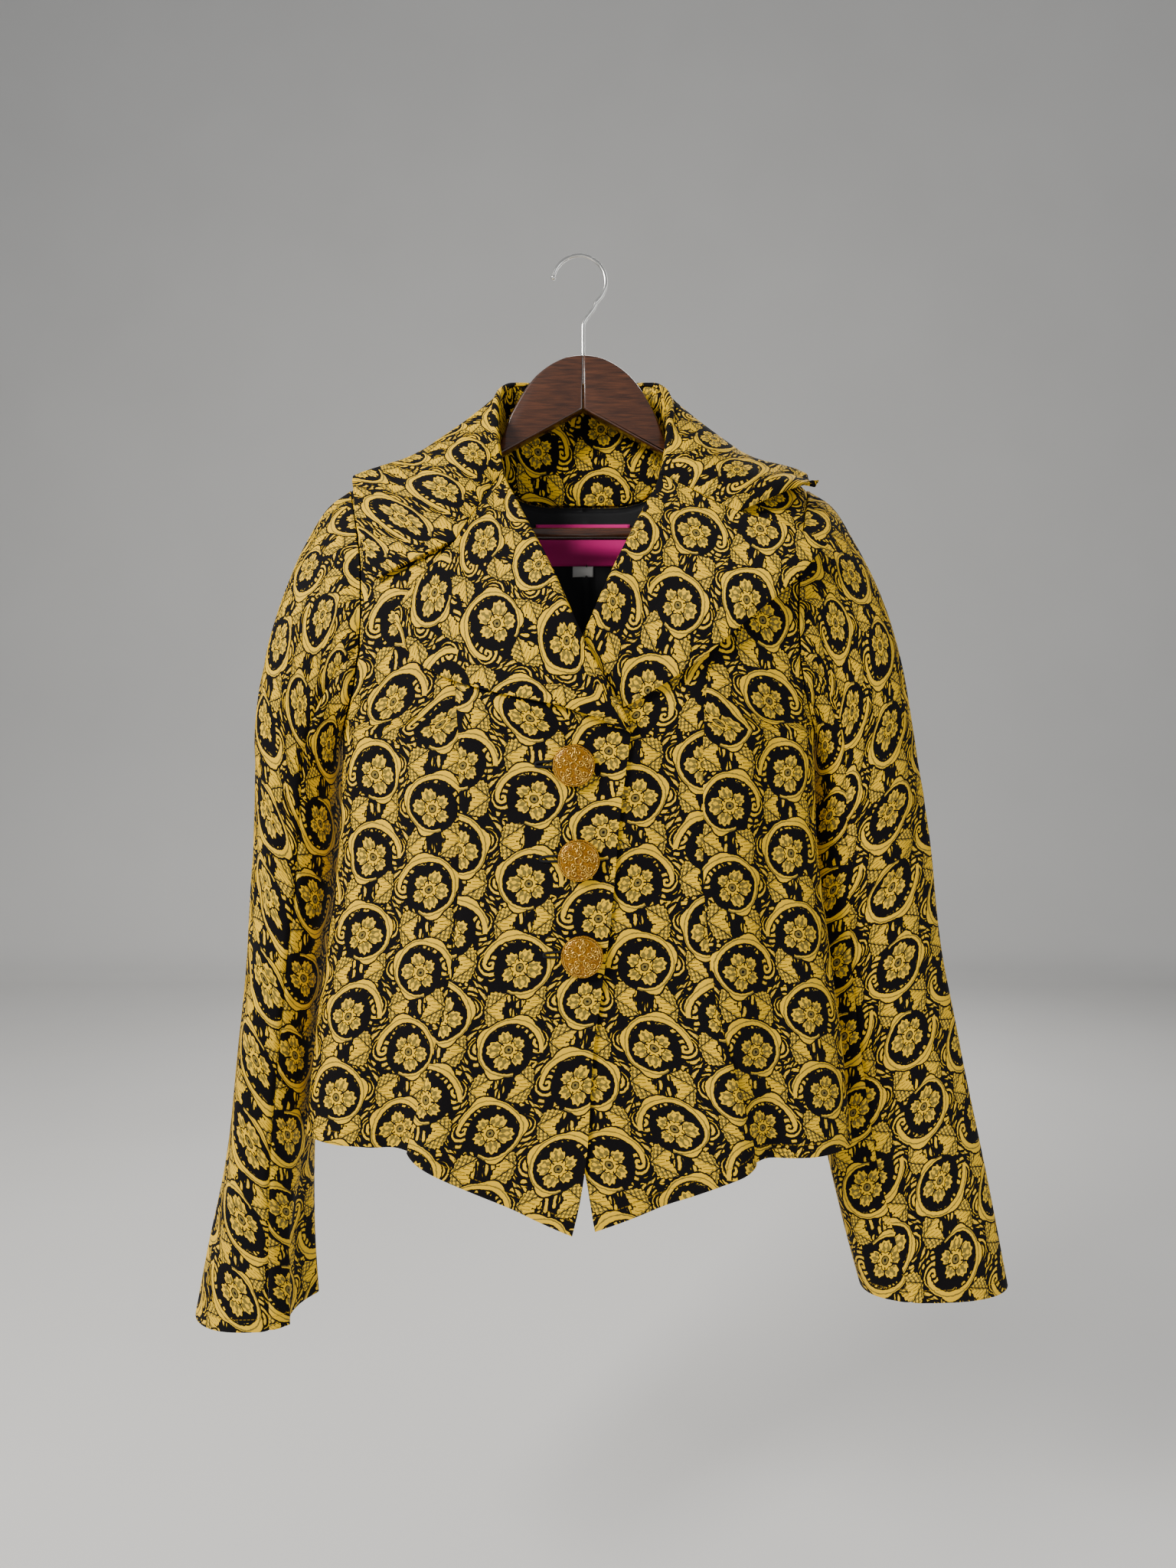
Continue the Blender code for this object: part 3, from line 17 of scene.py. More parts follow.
import bmesh
import bpy
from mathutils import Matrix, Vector

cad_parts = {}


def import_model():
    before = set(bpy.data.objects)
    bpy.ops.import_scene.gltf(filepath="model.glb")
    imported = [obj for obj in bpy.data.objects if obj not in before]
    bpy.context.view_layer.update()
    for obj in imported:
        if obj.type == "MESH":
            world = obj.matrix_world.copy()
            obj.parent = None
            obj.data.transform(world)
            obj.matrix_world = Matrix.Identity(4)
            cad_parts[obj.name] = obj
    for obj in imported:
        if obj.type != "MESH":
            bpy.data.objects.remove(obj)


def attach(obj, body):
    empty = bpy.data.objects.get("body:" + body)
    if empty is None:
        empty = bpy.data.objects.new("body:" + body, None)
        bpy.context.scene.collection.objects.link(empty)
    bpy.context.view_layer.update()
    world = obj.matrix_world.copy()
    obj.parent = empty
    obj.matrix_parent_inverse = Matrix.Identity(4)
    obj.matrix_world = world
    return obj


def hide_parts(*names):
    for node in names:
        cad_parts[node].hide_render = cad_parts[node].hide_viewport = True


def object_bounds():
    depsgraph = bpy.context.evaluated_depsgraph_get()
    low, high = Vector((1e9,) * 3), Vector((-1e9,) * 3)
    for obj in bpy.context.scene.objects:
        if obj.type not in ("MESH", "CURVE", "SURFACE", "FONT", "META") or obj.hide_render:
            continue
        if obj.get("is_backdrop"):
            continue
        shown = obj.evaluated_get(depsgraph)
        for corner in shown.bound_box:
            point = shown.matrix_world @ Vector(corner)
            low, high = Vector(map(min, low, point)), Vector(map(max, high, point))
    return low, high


log = logging.getLogger("jacquard_jacket")

Place = Callable[[float, float], Vector]
Curve = Callable[[float], tuple[float, float]]
Triple = tuple[float, float, float]

# Cloth
CLOTH = 0.0020
DOUBLE_CLOTH = 0.0025
LINING_CLOTH = 0.0012
LABEL_CLOTH = 0.0006
SEAM_GAP = 0.0003
ARMHOLE_GAP = 0.0008

# Heights below the hook
CENTRE_X = 0.003
UNDERARM_Z = -0.405
SHOULDER_TIP_Z = -0.1985
NECK_POINT_Z = -0.148
BREAK_Z = -0.4088
BACK_HEM_Z = -0.720
PRINCESS_TOP_X = 0.128
GORGE_ROLL_Z = -0.2013

# Shape of a body section: 2 is an ellipse, more is squarer
FRONT_SQUARE = 2.2
BACK_SQUARE = 2.8
SLEEVE_SQUARE = 2.3

# The folds die away this near the side seam, as a turn
SIDE_FADE = 0.10

# Steps for slopes and searches
SMALL = 1e-3
SURFACE_STEP = 5e-4
SEARCH_STEPS = 40
CLEAR_STEPS = 6


class Side(Enum):
    """The wearer's two sides; the value is the sign of x."""

    RIGHT = -1
    LEFT = 1

    @property
    def word(self) -> str:
        """The side's name in a node's name."""
        return self.name.lower()


class Cut(Enum):
    """The three panels on each side of the body."""

    FRONT = "front"
    SIDE_FRONT = "side_front"
    BACK = "back"


class Section(NamedTuple):
    """One level section of the body."""

    height: float
    half_width: float
    side_y: float
    front_depth: float
    back_depth: float


class Edge(NamedTuple):
    """A place on an edge or seam: its height and its distance from the centre line."""

    height: float
    out: float


class Ring(NamedTuple):
    """One ring of a sleeve."""

    along: float
    outer_x: float
    outer_z: float
    inner_x: float
    inner_z: float
    middle_y: float
    half_depth: float


class Fold(NamedTuple):
    """A soft upright fold of the body."""

    side: int
    low_out: float
    high_out: float
    low: float
    high: float
    width: float
    depth: float
    back: bool


class Crease(NamedTuple):
    """A soft crease across the body, slanting up and out from a place."""

    side: int
    out: float
    height: float
    slope: float
    length: float
    width: float
    depth: float
    back: bool


class SleeveFold(NamedTuple):
    """A crease of a sleeve; along is a share of its length and phi the angle round it."""

    side: int
    along: float
    phi: float
    length: float
    width: float
    depth: float
    slant: float


class RollPoint(NamedTuple):
    """A place on the collar's roll, from the gorge at 1 to the centre back at 0."""

    along: float
    out: float
    y: float
    height: float


class OuterPoint(NamedTuple):
    """A place on the collar's outer edge, read on the cloth under it."""

    along: float
    out: float
    height: float
    back: bool


class LapelEdge(NamedTuple):
    """A place on a lapel's outer edge."""

    along: float
    out: float
    height: float


def table(kind: type, *rows: tuple) -> list:
    """Rows of numbers as named rows of one kind."""
    return [kind(*row) for row in rows]


BODY_SECTIONS = table(
    Section,
    (-0.800, 0.2240, -0.048, 0.060, 0.076), (-0.720, 0.2135, -0.048, 0.058, 0.076),
    (-0.640, 0.2055, -0.050, 0.056, 0.078), (-0.560, 0.1950, -0.050, 0.054, 0.078),
    (-0.480, 0.1865, -0.050, 0.055, 0.078), (-0.405, 0.1845, -0.050, 0.058, 0.077),
    (-0.350, 0.1990, -0.043, 0.062, 0.070), (-0.300, 0.2135, -0.032, 0.064, 0.059),
    (-0.260, 0.2180, -0.020, 0.060, 0.047), (-0.230, 0.2120, -0.010, 0.052, 0.037),
    (-0.1985, 0.1910, -0.001, 0.040, 0.026), (-0.175, 0.1385, 0.000, 0.033, 0.023),
    (-0.148, 0.0780, 0.000, 0.027, 0.019), (-0.130, 0.0380, 0.000, 0.020, 0.014),
)
HEM_Z = {-1: -0.717, 1: -0.725}
HEM_POINT_Z = {-1: -0.7712, 1: -0.7690}
PRINCESS_SEAM = table(
    Edge,
    (-0.800, 0.1350), (-0.720, 0.1285), (-0.700, 0.1240), (-0.660, 0.1125), (-0.600, 0.0970),
    (-0.500, 0.0885), (-0.430, 0.0885), (-0.350, 0.0940), (-0.250, 0.1100),
)
ARMHOLE_FRONT = table(
    Edge,
    (-0.385, 0.1760), (-0.360, 0.1695), (-0.320, 0.1660), (-0.280, 0.1685), (-0.240, 0.1775),
    (-0.210, 0.1870),
)
ARMHOLE_BACK = table(
    Edge,
    (-0.385, 0.1810), (-0.350, 0.1775), (-0.300, 0.1775), (-0.250, 0.1830), (-0.220, 0.1880),
)
FRONT_EDGE = {
    -1: table(
        Edge,
        (-0.790, 0.0120), (-0.771, 0.0070), (-0.745, 0.0010), (-0.709, -0.0040), (-0.643, -0.0080),
        (-0.580, -0.0165), (-0.530, -0.0225), (-0.470, -0.0275), (-0.4088, -0.0355),
    ),
    1: table(
        Edge,
        (-0.790, 0.0140), (-0.769, 0.0094), (-0.728, 0.0022), (-0.700, -0.0060), (-0.650, -0.0160),
        (-0.580, -0.0220), (-0.470, -0.0270), (-0.4088, -0.0350),
    ),
}
ROLL_LINE = table(
    Edge,
    (-0.4088, -0.0355), (-0.3768, -0.0165), (-0.3450, 0.0010), (-0.3348, 0.0060), (-0.3040, 0.0190),
    (-0.2811, 0.0291), (-0.2532, 0.0420), (-0.2250, 0.0550), (-0.2013, 0.0650), (-0.1726, 0.0690),
    (-0.1480, 0.0780),
)
BACK_NECKLINE = [(0.00, 0.000, -0.2040), (0.35, 0.030, -0.2035), (0.60, 0.050, -0.2000)]
BACK_NECKLINE += [(0.82, 0.067, -0.1850), (1.00, 0.078, -0.1480)]
BACK_NECK_SHARE = 0.4

SLEEVE_RINGS = {
    -1: table(
        Ring,
        (0.00, 0.1910, -0.1985, 0.1870, -0.4050, -0.036, 0.050),
        (0.05, 0.2085, -0.2120, 0.1885, -0.4100, -0.034, 0.055),
        (0.11, 0.2270, -0.2440, 0.1900, -0.4160, -0.030, 0.057),
        (0.18, 0.2385, -0.2850, 0.1915, -0.4260, -0.028, 0.057),
        (0.27, 0.2495, -0.3430, 0.1930, -0.4450, -0.026, 0.055),
        (0.37, 0.2586, -0.4120, 0.1945, -0.4800, -0.026, 0.053),
        (0.48, 0.2598, -0.4870, 0.1975, -0.5250, -0.027, 0.052),
        (0.60, 0.2635, -0.5700, 0.2060, -0.5850, -0.028, 0.051),
        (0.72, 0.2715, -0.6520, 0.2125, -0.6600, -0.029, 0.050),
        (0.84, 0.2820, -0.7400, 0.2185, -0.7450, -0.030, 0.047),
        (0.93, 0.2955, -0.8100, 0.2165, -0.8120, -0.031, 0.043),
        (1.00, 0.3057, -0.8640, 0.2125, -0.8640, -0.032, 0.040),
    ),
    1: table(
        Ring,
        (0.00, 0.1910, -0.1985, 0.1870, -0.4050, -0.036, 0.050),
        (0.05, 0.2110, -0.2120, 0.1885, -0.4100, -0.032, 0.053),
        (0.11, 0.2280, -0.2390, 0.1900, -0.4160, -0.027, 0.052),
        (0.18, 0.2465, -0.2830, 0.1900, -0.4270, -0.022, 0.049),
        (0.27, 0.2630, -0.3450, 0.1890, -0.4480, -0.016, 0.045),
        (0.37, 0.2778, -0.4160, 0.1880, -0.4820, -0.011, 0.041),
        (0.48, 0.2908, -0.4930, 0.1880, -0.5300, -0.008, 0.037),
        (0.60, 0.3015, -0.5800, 0.1900, -0.5950, -0.006, 0.033),
        (0.72, 0.3180, -0.6600, 0.1960, -0.6650, -0.005, 0.031),
        (0.84, 0.3330, -0.7400, 0.2060, -0.7450, -0.006, 0.030),
        (0.93, 0.3457, -0.8050, 0.2205, -0.8080, -0.008, 0.030),
        (1.00, 0.3545, -0.8567, 0.2345, -0.8617, -0.010, 0.031),
    ),
}
SLEEVE_ANGLES = {
    "upper": (math.radians(-115), math.radians(115)),
    "under": (math.radians(115), math.radians(245)),
}
ARMHOLE_FADE = 0.30
BODY_CLEARANCE = 0.0035
CLEARANCE_FADE = 0.2
CAP_PUFF = 0.0015
CAP_ALONG = 0.04
CAP_SPAN = 0.05
SLEEVE_RIPPLE = 0.0005
FOLD_SLANT = 0.4
FOLD_REACH = 2.5
FOLD_ROUND = 1.3

COLLAR_ROLL = table(
    RollPoint,
    (0.00, 0.0000, 0.0225, -0.1010), (0.18, 0.0240, 0.0220, -0.1012), (0.35, 0.0450, 0.0190, -0.1020),
    (0.50, 0.0610, 0.0120, -0.1050), (0.60, 0.0695, 0.0020, -0.1150), (0.70, 0.0725, -0.0120, -0.1345),
    (0.85, 0.0705, -0.0330, -0.1700),
)
COLLAR_EDGE = {
    -1: table(
        OuterPoint,
        (0.85, 0.1720, -0.2450, False), (0.50, 0.1560, -0.2280, True), (0.30, 0.1050, -0.2420, True),
        (0.00, 0.0000, -0.2480, True),
    ),
    1: table(
        OuterPoint,
        (0.85, 0.1840, -0.2120, False), (0.50, 0.1560, -0.2280, True), (0.30, 0.1050, -0.2420, True),
        (0.00, 0.0000, -0.2480, True),
    ),
}
RIDGE_CROSSING = 0.70
RIDGE_CROSSING_X = 0.1840
COLLAR_TIP = {-1: (0.1530, -0.2915), 1: (0.1870, -0.2100)}
NOTCH = {-1: (0.0950, -0.2618), 1: (0.1210, -0.2365)}
LAPEL_TIP = {-1: (0.1375, -0.3159), 1: (0.1840, -0.2660)}
LAPEL_EDGE = {
    -1: table(
        LapelEdge,
        (0.00, -0.0310, -0.4065), (0.12, -0.0120, -0.3985), (0.28, 0.0180, -0.3890),
        (0.45, 0.0590, -0.3800), (0.62, 0.0950, -0.3690), (0.76, 0.1180, -0.3560),
        (0.90, 0.1330, -0.3350), (1.00, 0.1375, -0.3159),
    ),
    1: table(
        LapelEdge,
        (0.00, -0.0230, -0.3950), (0.12, -0.0020, -0.3960), (0.28, 0.0280, -0.3900),
        (0.42, 0.0540, -0.3760), (0.58, 0.0870, -0.3540), (0.72, 0.1180, -0.3280),
        (0.88, 0.1560, -0.2960), (1.00, 0.1840, -0.2660),
    ),
}
LAPEL_GAP = 0.0011
LAPEL_LIFT = {-1: 0.0015, 1: 0.0110}
FLAP_WAVE = {-1: 0.0007, 1: 0.0016}
WAVE_START = 0.4
WAVE_COUNT = 19
LAPEL_START_Z = {-1: -0.4040, 1: -0.3910}
FRONT_LAP_RISE = 0.0027
LAPEL_LAP_RISE = 0.0076
LAP_OVER_LOW = -0.4088
LAP_OVER_HIGH = -0.326
LAP_STEP = 0.015
LAP_TOP_STEP = 0.080
STRAIGHT_BLEND = 0.25
LAP_REACH = 0.036
LAP_FADE = 0.080
ROLL_GAP = 0.0008
ROLL_RADIUS = 0.0022
ROLL_RADIUS_LOW = 0.00135
ROLL_GROWTH = 0.080
LIFT_LOW = -0.360
LIFT_STEP = 0.060
LIFT_START = 0.35
ROLL_FLAT = 0.4
NECK_AXIS_Y = -0.022
NOTCH_SHARE = 0.5
GORGE_ACROSS = (0.89, 0.456)
COLLAR_BULGE = 0.0055
COLLAR_EASE = 0.0020
PULL_START = 0.45
PULL_POWER = 1.5
STAND_END = 0.62
STAND_FOOT = 0.0014
STAND_STEP = 0.01

# Button centres, the hanger's arch over the neck and the shoulders' seats on its arms
BUTTON_PLACES = {"top": (-0.0028, -0.4314), "middle": (0.0007, -0.4999), "bottom": (0.0031, -0.5695)}
ARCH = table(
    Edge,
    (-0.0843, 0.0000), (-0.0858, 0.0120), (-0.0903, 0.0235), (-0.1005, 0.0380), (-0.1130, 0.0485),
    (-0.1255, 0.0560), (-0.1390, 0.0630), (-0.1510, 0.0670), (-0.1660, 0.0735),
)
SEAT_OUT = {-1: (0.088, 0.112, 0.124, 0.136, 0.148, 0.172), 1: (0.088, 0.100, 0.112, 0.124, 0.148, 0.172)}
SEAT_Z = {
    -1: (-0.1660, -0.1660, -0.1711, -0.1765, -0.1816, -0.1912),
    1: (-0.1660, -0.1661, -0.1685, -0.1738, -0.1841, -0.1939),
}

# The woven figure, in millimetres: columns of flowers and rows along them, and the leaves between
COLUMN = 53.0
COLUMN_SHIFT = 84.0
ROW = 61.0
LEAF_STEP = 30.5
LEAF_LENGTH = 21.0
LEAF_ANGLE = math.radians(36)
OUTLINE = 1.25
DRIFT = 7.0
WOBBLE = 1.3
EDGE_SOFTNESS = 0.25

# Seams: the groove and the ridge beside it, and the pleat where a princess seam opens at the hem
SEAM_DIP = 0.0007
SEAM_RIDGE = 0.0005
GROOVE_WIDTH = 0.0013
RIDGE_OFFSET = 0.007
RIDGE_WIDTH = 0.005
SLEEVE_RIDGE_OFFSET = 0.006
SLEEVE_RIDGE_WIDTH = 0.004
SLEEVE_RADIUS = 0.05
TURN_LENGTH = 0.21
UPPER_LENGTH = 0.5
PLEAT_LOW_Z = -0.690
PLEAT_RISE = 0.090
PLEAT_LIFT = 0.0030
PLEAT_SHARE = {"front": 0.28, "side_front": 0.30}

# How the rows of a grid crowd towards the shoulder ridge and the sleeve's cap
RIDGE_CROWDING = 1.7
CAP_CROWDING = 1.25

# The faint unevenness of hanging cloth, slow and quick
SLOW_RIPPLE = 0.0006
QUICK_RIPPLE = 0.0003

# Where each cut piece lies on the woven cloth
CUT_OFFSETS = {"front": 0.021, "side_front": 0.347, "back": 0.713}
CUT_SIDE_SHIFT = (0.131, 0.057)
SLEEVE_CUT = (1.1, 0.27, 0.093)
LAPEL_CUT = (1.9, 0.2, 0.041)
LAPEL_TURN = math.radians(-24)
COLLAR_CUT = (2.4, 0.4)
STAND_CUT = (2.9, 0.7)

# The distance from a hem, in millimetres, of cloth that has none; the angle and radius of a rounded edge
FAR_FROM_HEM = 100.0
CLOTH_CORNER = math.radians(60)
THICK_EDGE = 0.0008

# The same main folds as the solids, then finer ones
BODY_FOLDS = table(
    Fold,
    (-1, 0.1400, 0.1020, -0.735, -0.560, 0.016, -0.0065, False),
    (-1, 0.1130, 0.0860, -0.735, -0.500, 0.022, 0.0045, False),
    (-1, 0.1900, 0.1500, -0.720, -0.480, 0.030, 0.0030, False),
    (1, 0.1420, 0.1050, -0.735, -0.580, 0.015, -0.0065, False),
    (1, 0.1180, 0.0880, -0.735, -0.480, 0.022, 0.0050, False),
    (1, 0.1850, 0.1500, -0.720, -0.450, 0.030, 0.0025, False),
    (-1, 0.1000, 0.0960, -0.480, -0.330, 0.030, 0.0040, False),
    (1, 0.1000, 0.0960, -0.480, -0.330, 0.030, 0.0040, False),
    (-1, 0.1450, 0.1560, -0.430, -0.300, 0.014, -0.0040, False),
    (1, 0.1450, 0.1560, -0.440, -0.300, 0.014, -0.0040, False),
    (-1, 0.0900, 0.0700, -0.730, -0.420, 0.030, -0.0030, True),
    (1, 0.1000, 0.0750, -0.730, -0.440, 0.030, -0.0030, True),
    (-1, 0.0500, 0.0420, -0.760, -0.620, 0.018, -0.0022, False),
    (1, 0.0620, 0.0500, -0.750, -0.610, 0.016, -0.0024, False),
    (-1, 0.1680, 0.1450, -0.720, -0.590, 0.010, -0.0024, False),
    (1, 0.1640, 0.1500, -0.725, -0.570, 0.011, -0.0020, False),
    (-1, 0.1500, 0.1300, -0.720, -0.520, 0.016, 0.0026, True),
    (1, 0.1450, 0.1350, -0.720, -0.540, 0.014, 0.0024, True),
    (-1, 0.0300, 0.0260, -0.720, -0.600, 0.014, 0.0016, True),
    (1, 0.0360, 0.0300, -0.720, -0.590, 0.016, -0.0016, True),
)
BODY_CREASES = table(
    Crease,
    (-1, 0.1350, -0.470, 0.35, 0.036, 0.0060, -0.0020, False),
    (-1, 0.1500, -0.505, 0.20, 0.030, 0.0055, -0.0018, False),
    (1, 0.1320, -0.480, 0.30, 0.034, 0.0060, -0.0020, False),
    (1, 0.1480, -0.520, 0.15, 0.028, 0.0050, -0.0016, False),
    (-1, 0.0400, -0.458, -0.55, 0.026, 0.0050, -0.0012, False),
    (-1, 0.0350, -0.525, 0.45, 0.026, 0.0050, -0.0012, False),
    (1, 0.0400, -0.465, -0.50, 0.026, 0.0050, -0.0012, False),
    (1, 0.0380, -0.590, 0.60, 0.026, 0.0055, -0.0014, False),
    (-1, 0.1580, -0.335, -0.90, 0.022, 0.0060, -0.0018, False),
    (1, 0.1580, -0.345, -0.80, 0.022, 0.0060, -0.0018, False),
    (-1, 0.0900, -0.500, 0.15, 0.050, 0.0070, -0.0022, True),
    (1, 0.0850, -0.515, -0.10, 0.050, 0.0070, -0.0022, True),
    (-1, 0.1300, -0.440, 0.50, 0.035, 0.0070, -0.0020, True),
    (1, 0.1300, -0.430, 0.55, 0.035, 0.0070, -0.0020, True),
)
SLEEVE_FOLDS = table(
    SleeveFold,
    (-1, 0.50, 0.9, 0.10, 0.35, -0.0040, 0.20), (-1, 0.66, 0.8, 0.09, 0.35, -0.0030, -0.15),
    (-1, 0.86, 0.7, 0.10, 0.30, -0.0030, 0.10), (1, 0.48, 0.9, 0.10, 0.35, -0.0030, 0.20),
    (1, 0.70, 0.8, 0.10, 0.35, -0.0030, -0.15), (-1, 0.43, 1.5, 0.016, 0.55, -0.0032, 0.10),
    (-1, 0.49, 1.7, 0.014, 0.50, -0.0028, -0.12), (-1, 0.56, 1.4, 0.015, 0.60, -0.0026, 0.16),
    (-1, 0.63, 1.7, 0.013, 0.45, -0.0020, -0.10), (-1, 0.33, 1.2, 0.018, 0.50, -0.0022, 0.20),
    (-1, 0.46, -1.9, 0.016, 0.55, -0.0026, 0.10), (-1, 0.55, -1.6, 0.015, 0.50, -0.0022, -0.14),
    (-1, 0.93, 1.2, 0.020, 0.45, -0.0018, 0.10), (1, 0.42, 1.5, 0.016, 0.55, -0.0030, -0.10),
    (1, 0.50, 1.3, 0.015, 0.60, -0.0028, 0.14), (1, 0.58, 1.6, 0.014, 0.50, -0.0022, -0.12),
    (1, 0.66, 1.2, 0.016, 0.45, -0.0018, 0.10), (1, 0.34, 1.1, 0.018, 0.50, -0.0020, -0.16),
    (1, 0.48, -1.7, 0.016, 0.55, -0.0024, 0.12), (1, 0.57, -1.5, 0.014, 0.50, -0.0020, -0.10),
)


class Profile:
    """A smooth curve through a short table of (at, value) pairs, with no overshoot between them."""

    def __init__(self, pairs: list[tuple[float, float]]) -> None:
        """Works out the slope at each pair.

        Args:
            pairs: The table's (at, value) pairs, in any order.
        """
        pairs = sorted(pairs)
        self.at = [p[0] for p in pairs]
        self.value = [p[1] for p in pairs]
        steps = [(after[1] - here[1]) / (after[0] - here[0]) for here, after in zip(pairs, pairs[1:])]
        self.slope = [steps[0]]
        for before, after in zip(steps, steps[1:]):
            self.slope.append(0.0 if before * after <= 0 else 2 * before * after / (before + after))
        self.slope.append(steps[-1])

    def __call__(self, x: float) -> float:
        """The curve's value at x, held at the ends.

        Args:
            x: Where to read the curve.

        Returns:
            The value.
        """
        at = self.at
        x = min(max(x, at[0]), at[-1])
        i = 0
        while i < len(at) - 2 and at[i + 1] <= x:
            i += 1
        width = at[i + 1] - at[i]
        s = (x - at[i]) / width
        rise = self.value[i + 1] - self.value[i]
        start = self.slope[i] * width
        end = self.slope[i + 1] * width
        bend = s * s * (3 * rise - 2 * start - end) + s**3 * (start + end - 2 * rise)
        return self.value[i] + s * start + bend


def smooth(x: float) -> float:
    """0 below 0, 1 above 1, with a smooth step between."""
    x = min(max(x, 0.0), 1.0)
    return x * x * (3 - 2 * x)


def mix(a: float, b: float, share: float) -> float:
    """The number that lies a share of the way from a to b."""
    return a + (b - a) * share


def spread(count: int) -> list[float]:
    """Shares from 0 to 1 in equal steps."""
    return [i / count for i in range(count + 1)]


def crowded(count: int) -> list[float]:
    """Shares from 0 to 1 that lie closer together towards both ends."""
    return [(1 - math.cos(math.pi * s)) / 2 for s in spread(count)]


def bump(x: float) -> float:
    """A smooth hump of height 1 at 0 that has died away by 3."""
    return math.exp(-x * x)


class BodyForm:
    """The outer cloth of the jacket's body: its smooth surface, its folds and the edges of its panels."""

    def __init__(self) -> None:
        """Turns the tables into curves."""
        rows = BODY_SECTIONS
        curves = [Profile([(row.height, row[k]) for row in rows]) for k in range(1, len(Section._fields))]
        self.half_width, self.side_y, self.front_depth, self.back_depth = curves
        self.low_z, self.high_z = rows[0].height, rows[-1].height
        tips = [(z, self.half_width(z)) for z in (UNDERARM_Z, SHOULDER_TIP_Z)]
        self.armhole_front = Profile(tips + ARMHOLE_FRONT)
        self.armhole_back = Profile(tips + ARMHOLE_BACK)
        self.front_edge = {side: Profile(FRONT_EDGE[side]) for side in (-1, 1)}
        self.roll_line = Profile(ROLL_LINE)
        self.back_neck_out = Profile([(share, out) for share, out, _ in BACK_NECKLINE])
        self.back_neck_z = Profile([(share, height) for share, _, height in BACK_NECKLINE])
        top = (self.ridge_height(PRINCESS_TOP_X), PRINCESS_TOP_X)
        self.princess = Profile(PRINCESS_SEAM + [top])

    def ridge_height(self, out: float) -> float:
        """Height of the shoulder ridge at a distance from the centre line.

        Args:
            out: Distance from the centre line.

        Returns:
            The height.
        """
        low, high = SHOULDER_TIP_Z, self.high_z
        for _ in range(SEARCH_STEPS):
            middle = (low + high) / 2
            low, high = (middle, high) if self.half_width(middle) > out else (low, middle)
        return (low + high) / 2

    def turn_at(self, out: float, height: float, back: bool = False) -> float:
        """Where round the body a distance from the centre line lies: 0 in front, 1 at the side, 2 behind.

        Args:
            out: Distance from the centre line.
            height: Height, negative below the hook's top.
            back: Whether the place is on the back.

        Returns:
            The turn.
        """
        share = min(max(out / self.half_width(height), -1.0), 1.0)
        turn = math.asin(share) * 2 / math.pi
        return 2 - turn if back else turn

    def out_at(self, height: float, turn: float) -> float:
        """Distance from the centre line at a turn."""
        return self.half_width(height) * math.sin(math.pi / 2 * turn)

    def fold_rise(self, side: int, height: float, turn: float) -> float:
        """How far the folds and creases move the cloth out at a place.

        Args:
            side: The sign of x on this side.
            height: Height, negative below the hook's top.
            turn: Where round the body: 0 in front, 1 at the side, 2 behind.

        Returns:
            The distance, in metres.
        """
        out = self.out_at(height, turn)
        back = turn > 1
        rise = 0.0
        for fold in BODY_FOLDS:
            share = (height - fold.low) / (fold.high - fold.low)
            if fold.side == side and fold.back == back and share < 1:
                middle = mix(fold.low_out, fold.high_out, max(share, 0.0))
                rise += fold.depth * (1 - smooth(share)) * bump((out - middle) / fold.width)
        for crease in BODY_CREASES:
            if crease.side == side and crease.back == back:
                along = (out - crease.out) / crease.length
                level = crease.height + crease.slope * (out - crease.out)
                rise += crease.depth * bump(along) * bump((height - level) / crease.width)
        return (rise + self.ripple(out * side, height, back)) * smooth(abs(turn - 1) / SIDE_FADE)

    def ripple(self, x: float, height: float, back: bool) -> float:
        """The faint unevenness of hanging cloth.

        Args:
            x: How far across, in metres.
            height: Height, negative below the hook's top.
            back: Whether the place is on the back.

        Returns:
            The distance, in metres.
        """
        phase = 2.1 if back else 0.4
        slow = math.sin(31 * x + 17 * height + phase) * math.sin(23 * height - 9 * x + 1.3)
        quick = math.sin(83 * x - 41 * height + 2 * phase) * math.sin(57 * height + 29 * x)
        return SLOW_RIPPLE * slow + QUICK_RIPPLE * quick

    def plain(self, side: int, height: float, turn: float) -> Vector:
        """Outer cloth with no folds.

        Args:
            side: The sign of x on this side.
            height: Height, negative below the hook's top.
            turn: Where round the body: 0 in front, 1 at the side, 2 behind.

        Returns:
            The point.
        """
        share = math.sin(math.pi / 2 * turn)
        if turn <= 1:
            bulge = -self.front_depth(height) * math.sqrt(max(0.0, 1 - abs(share) ** FRONT_SQUARE))
        else:
            bulge = self.back_depth(height) * math.sqrt(max(0.0, 1 - abs(share) ** BACK_SQUARE))
        x = CENTRE_X * (1 - share * share) + side * self.half_width(height) * share
        return Vector((x, self.side_y(height) + bulge, height))

    def normal(self, side: int, height: float, turn: float) -> Vector:
        """Direction out of the body.

        Args:
            side: The sign of x on this side.
            height: Height, negative below the hook's top.
            turn: Where round the body: 0 in front, 1 at the side, 2 behind.

        Returns:
            The direction, of length 1.
        """
        round_it = self.plain(side, height, turn + SMALL) - self.plain(side, height, turn - SMALL)
        up = self.plain(side, height + SMALL, turn) - self.plain(side, height - SMALL, turn)
        return (round_it.cross(up) * side).normalized()

    def point(self, side: int, height: float, turn: float, rise: float = 0.0) -> Vector:
        """Outer cloth with its folds, moved out by rise."""
        lift = self.fold_rise(side, height, turn) + rise
        return self.plain(side, height, turn) + self.normal(side, height, turn) * lift

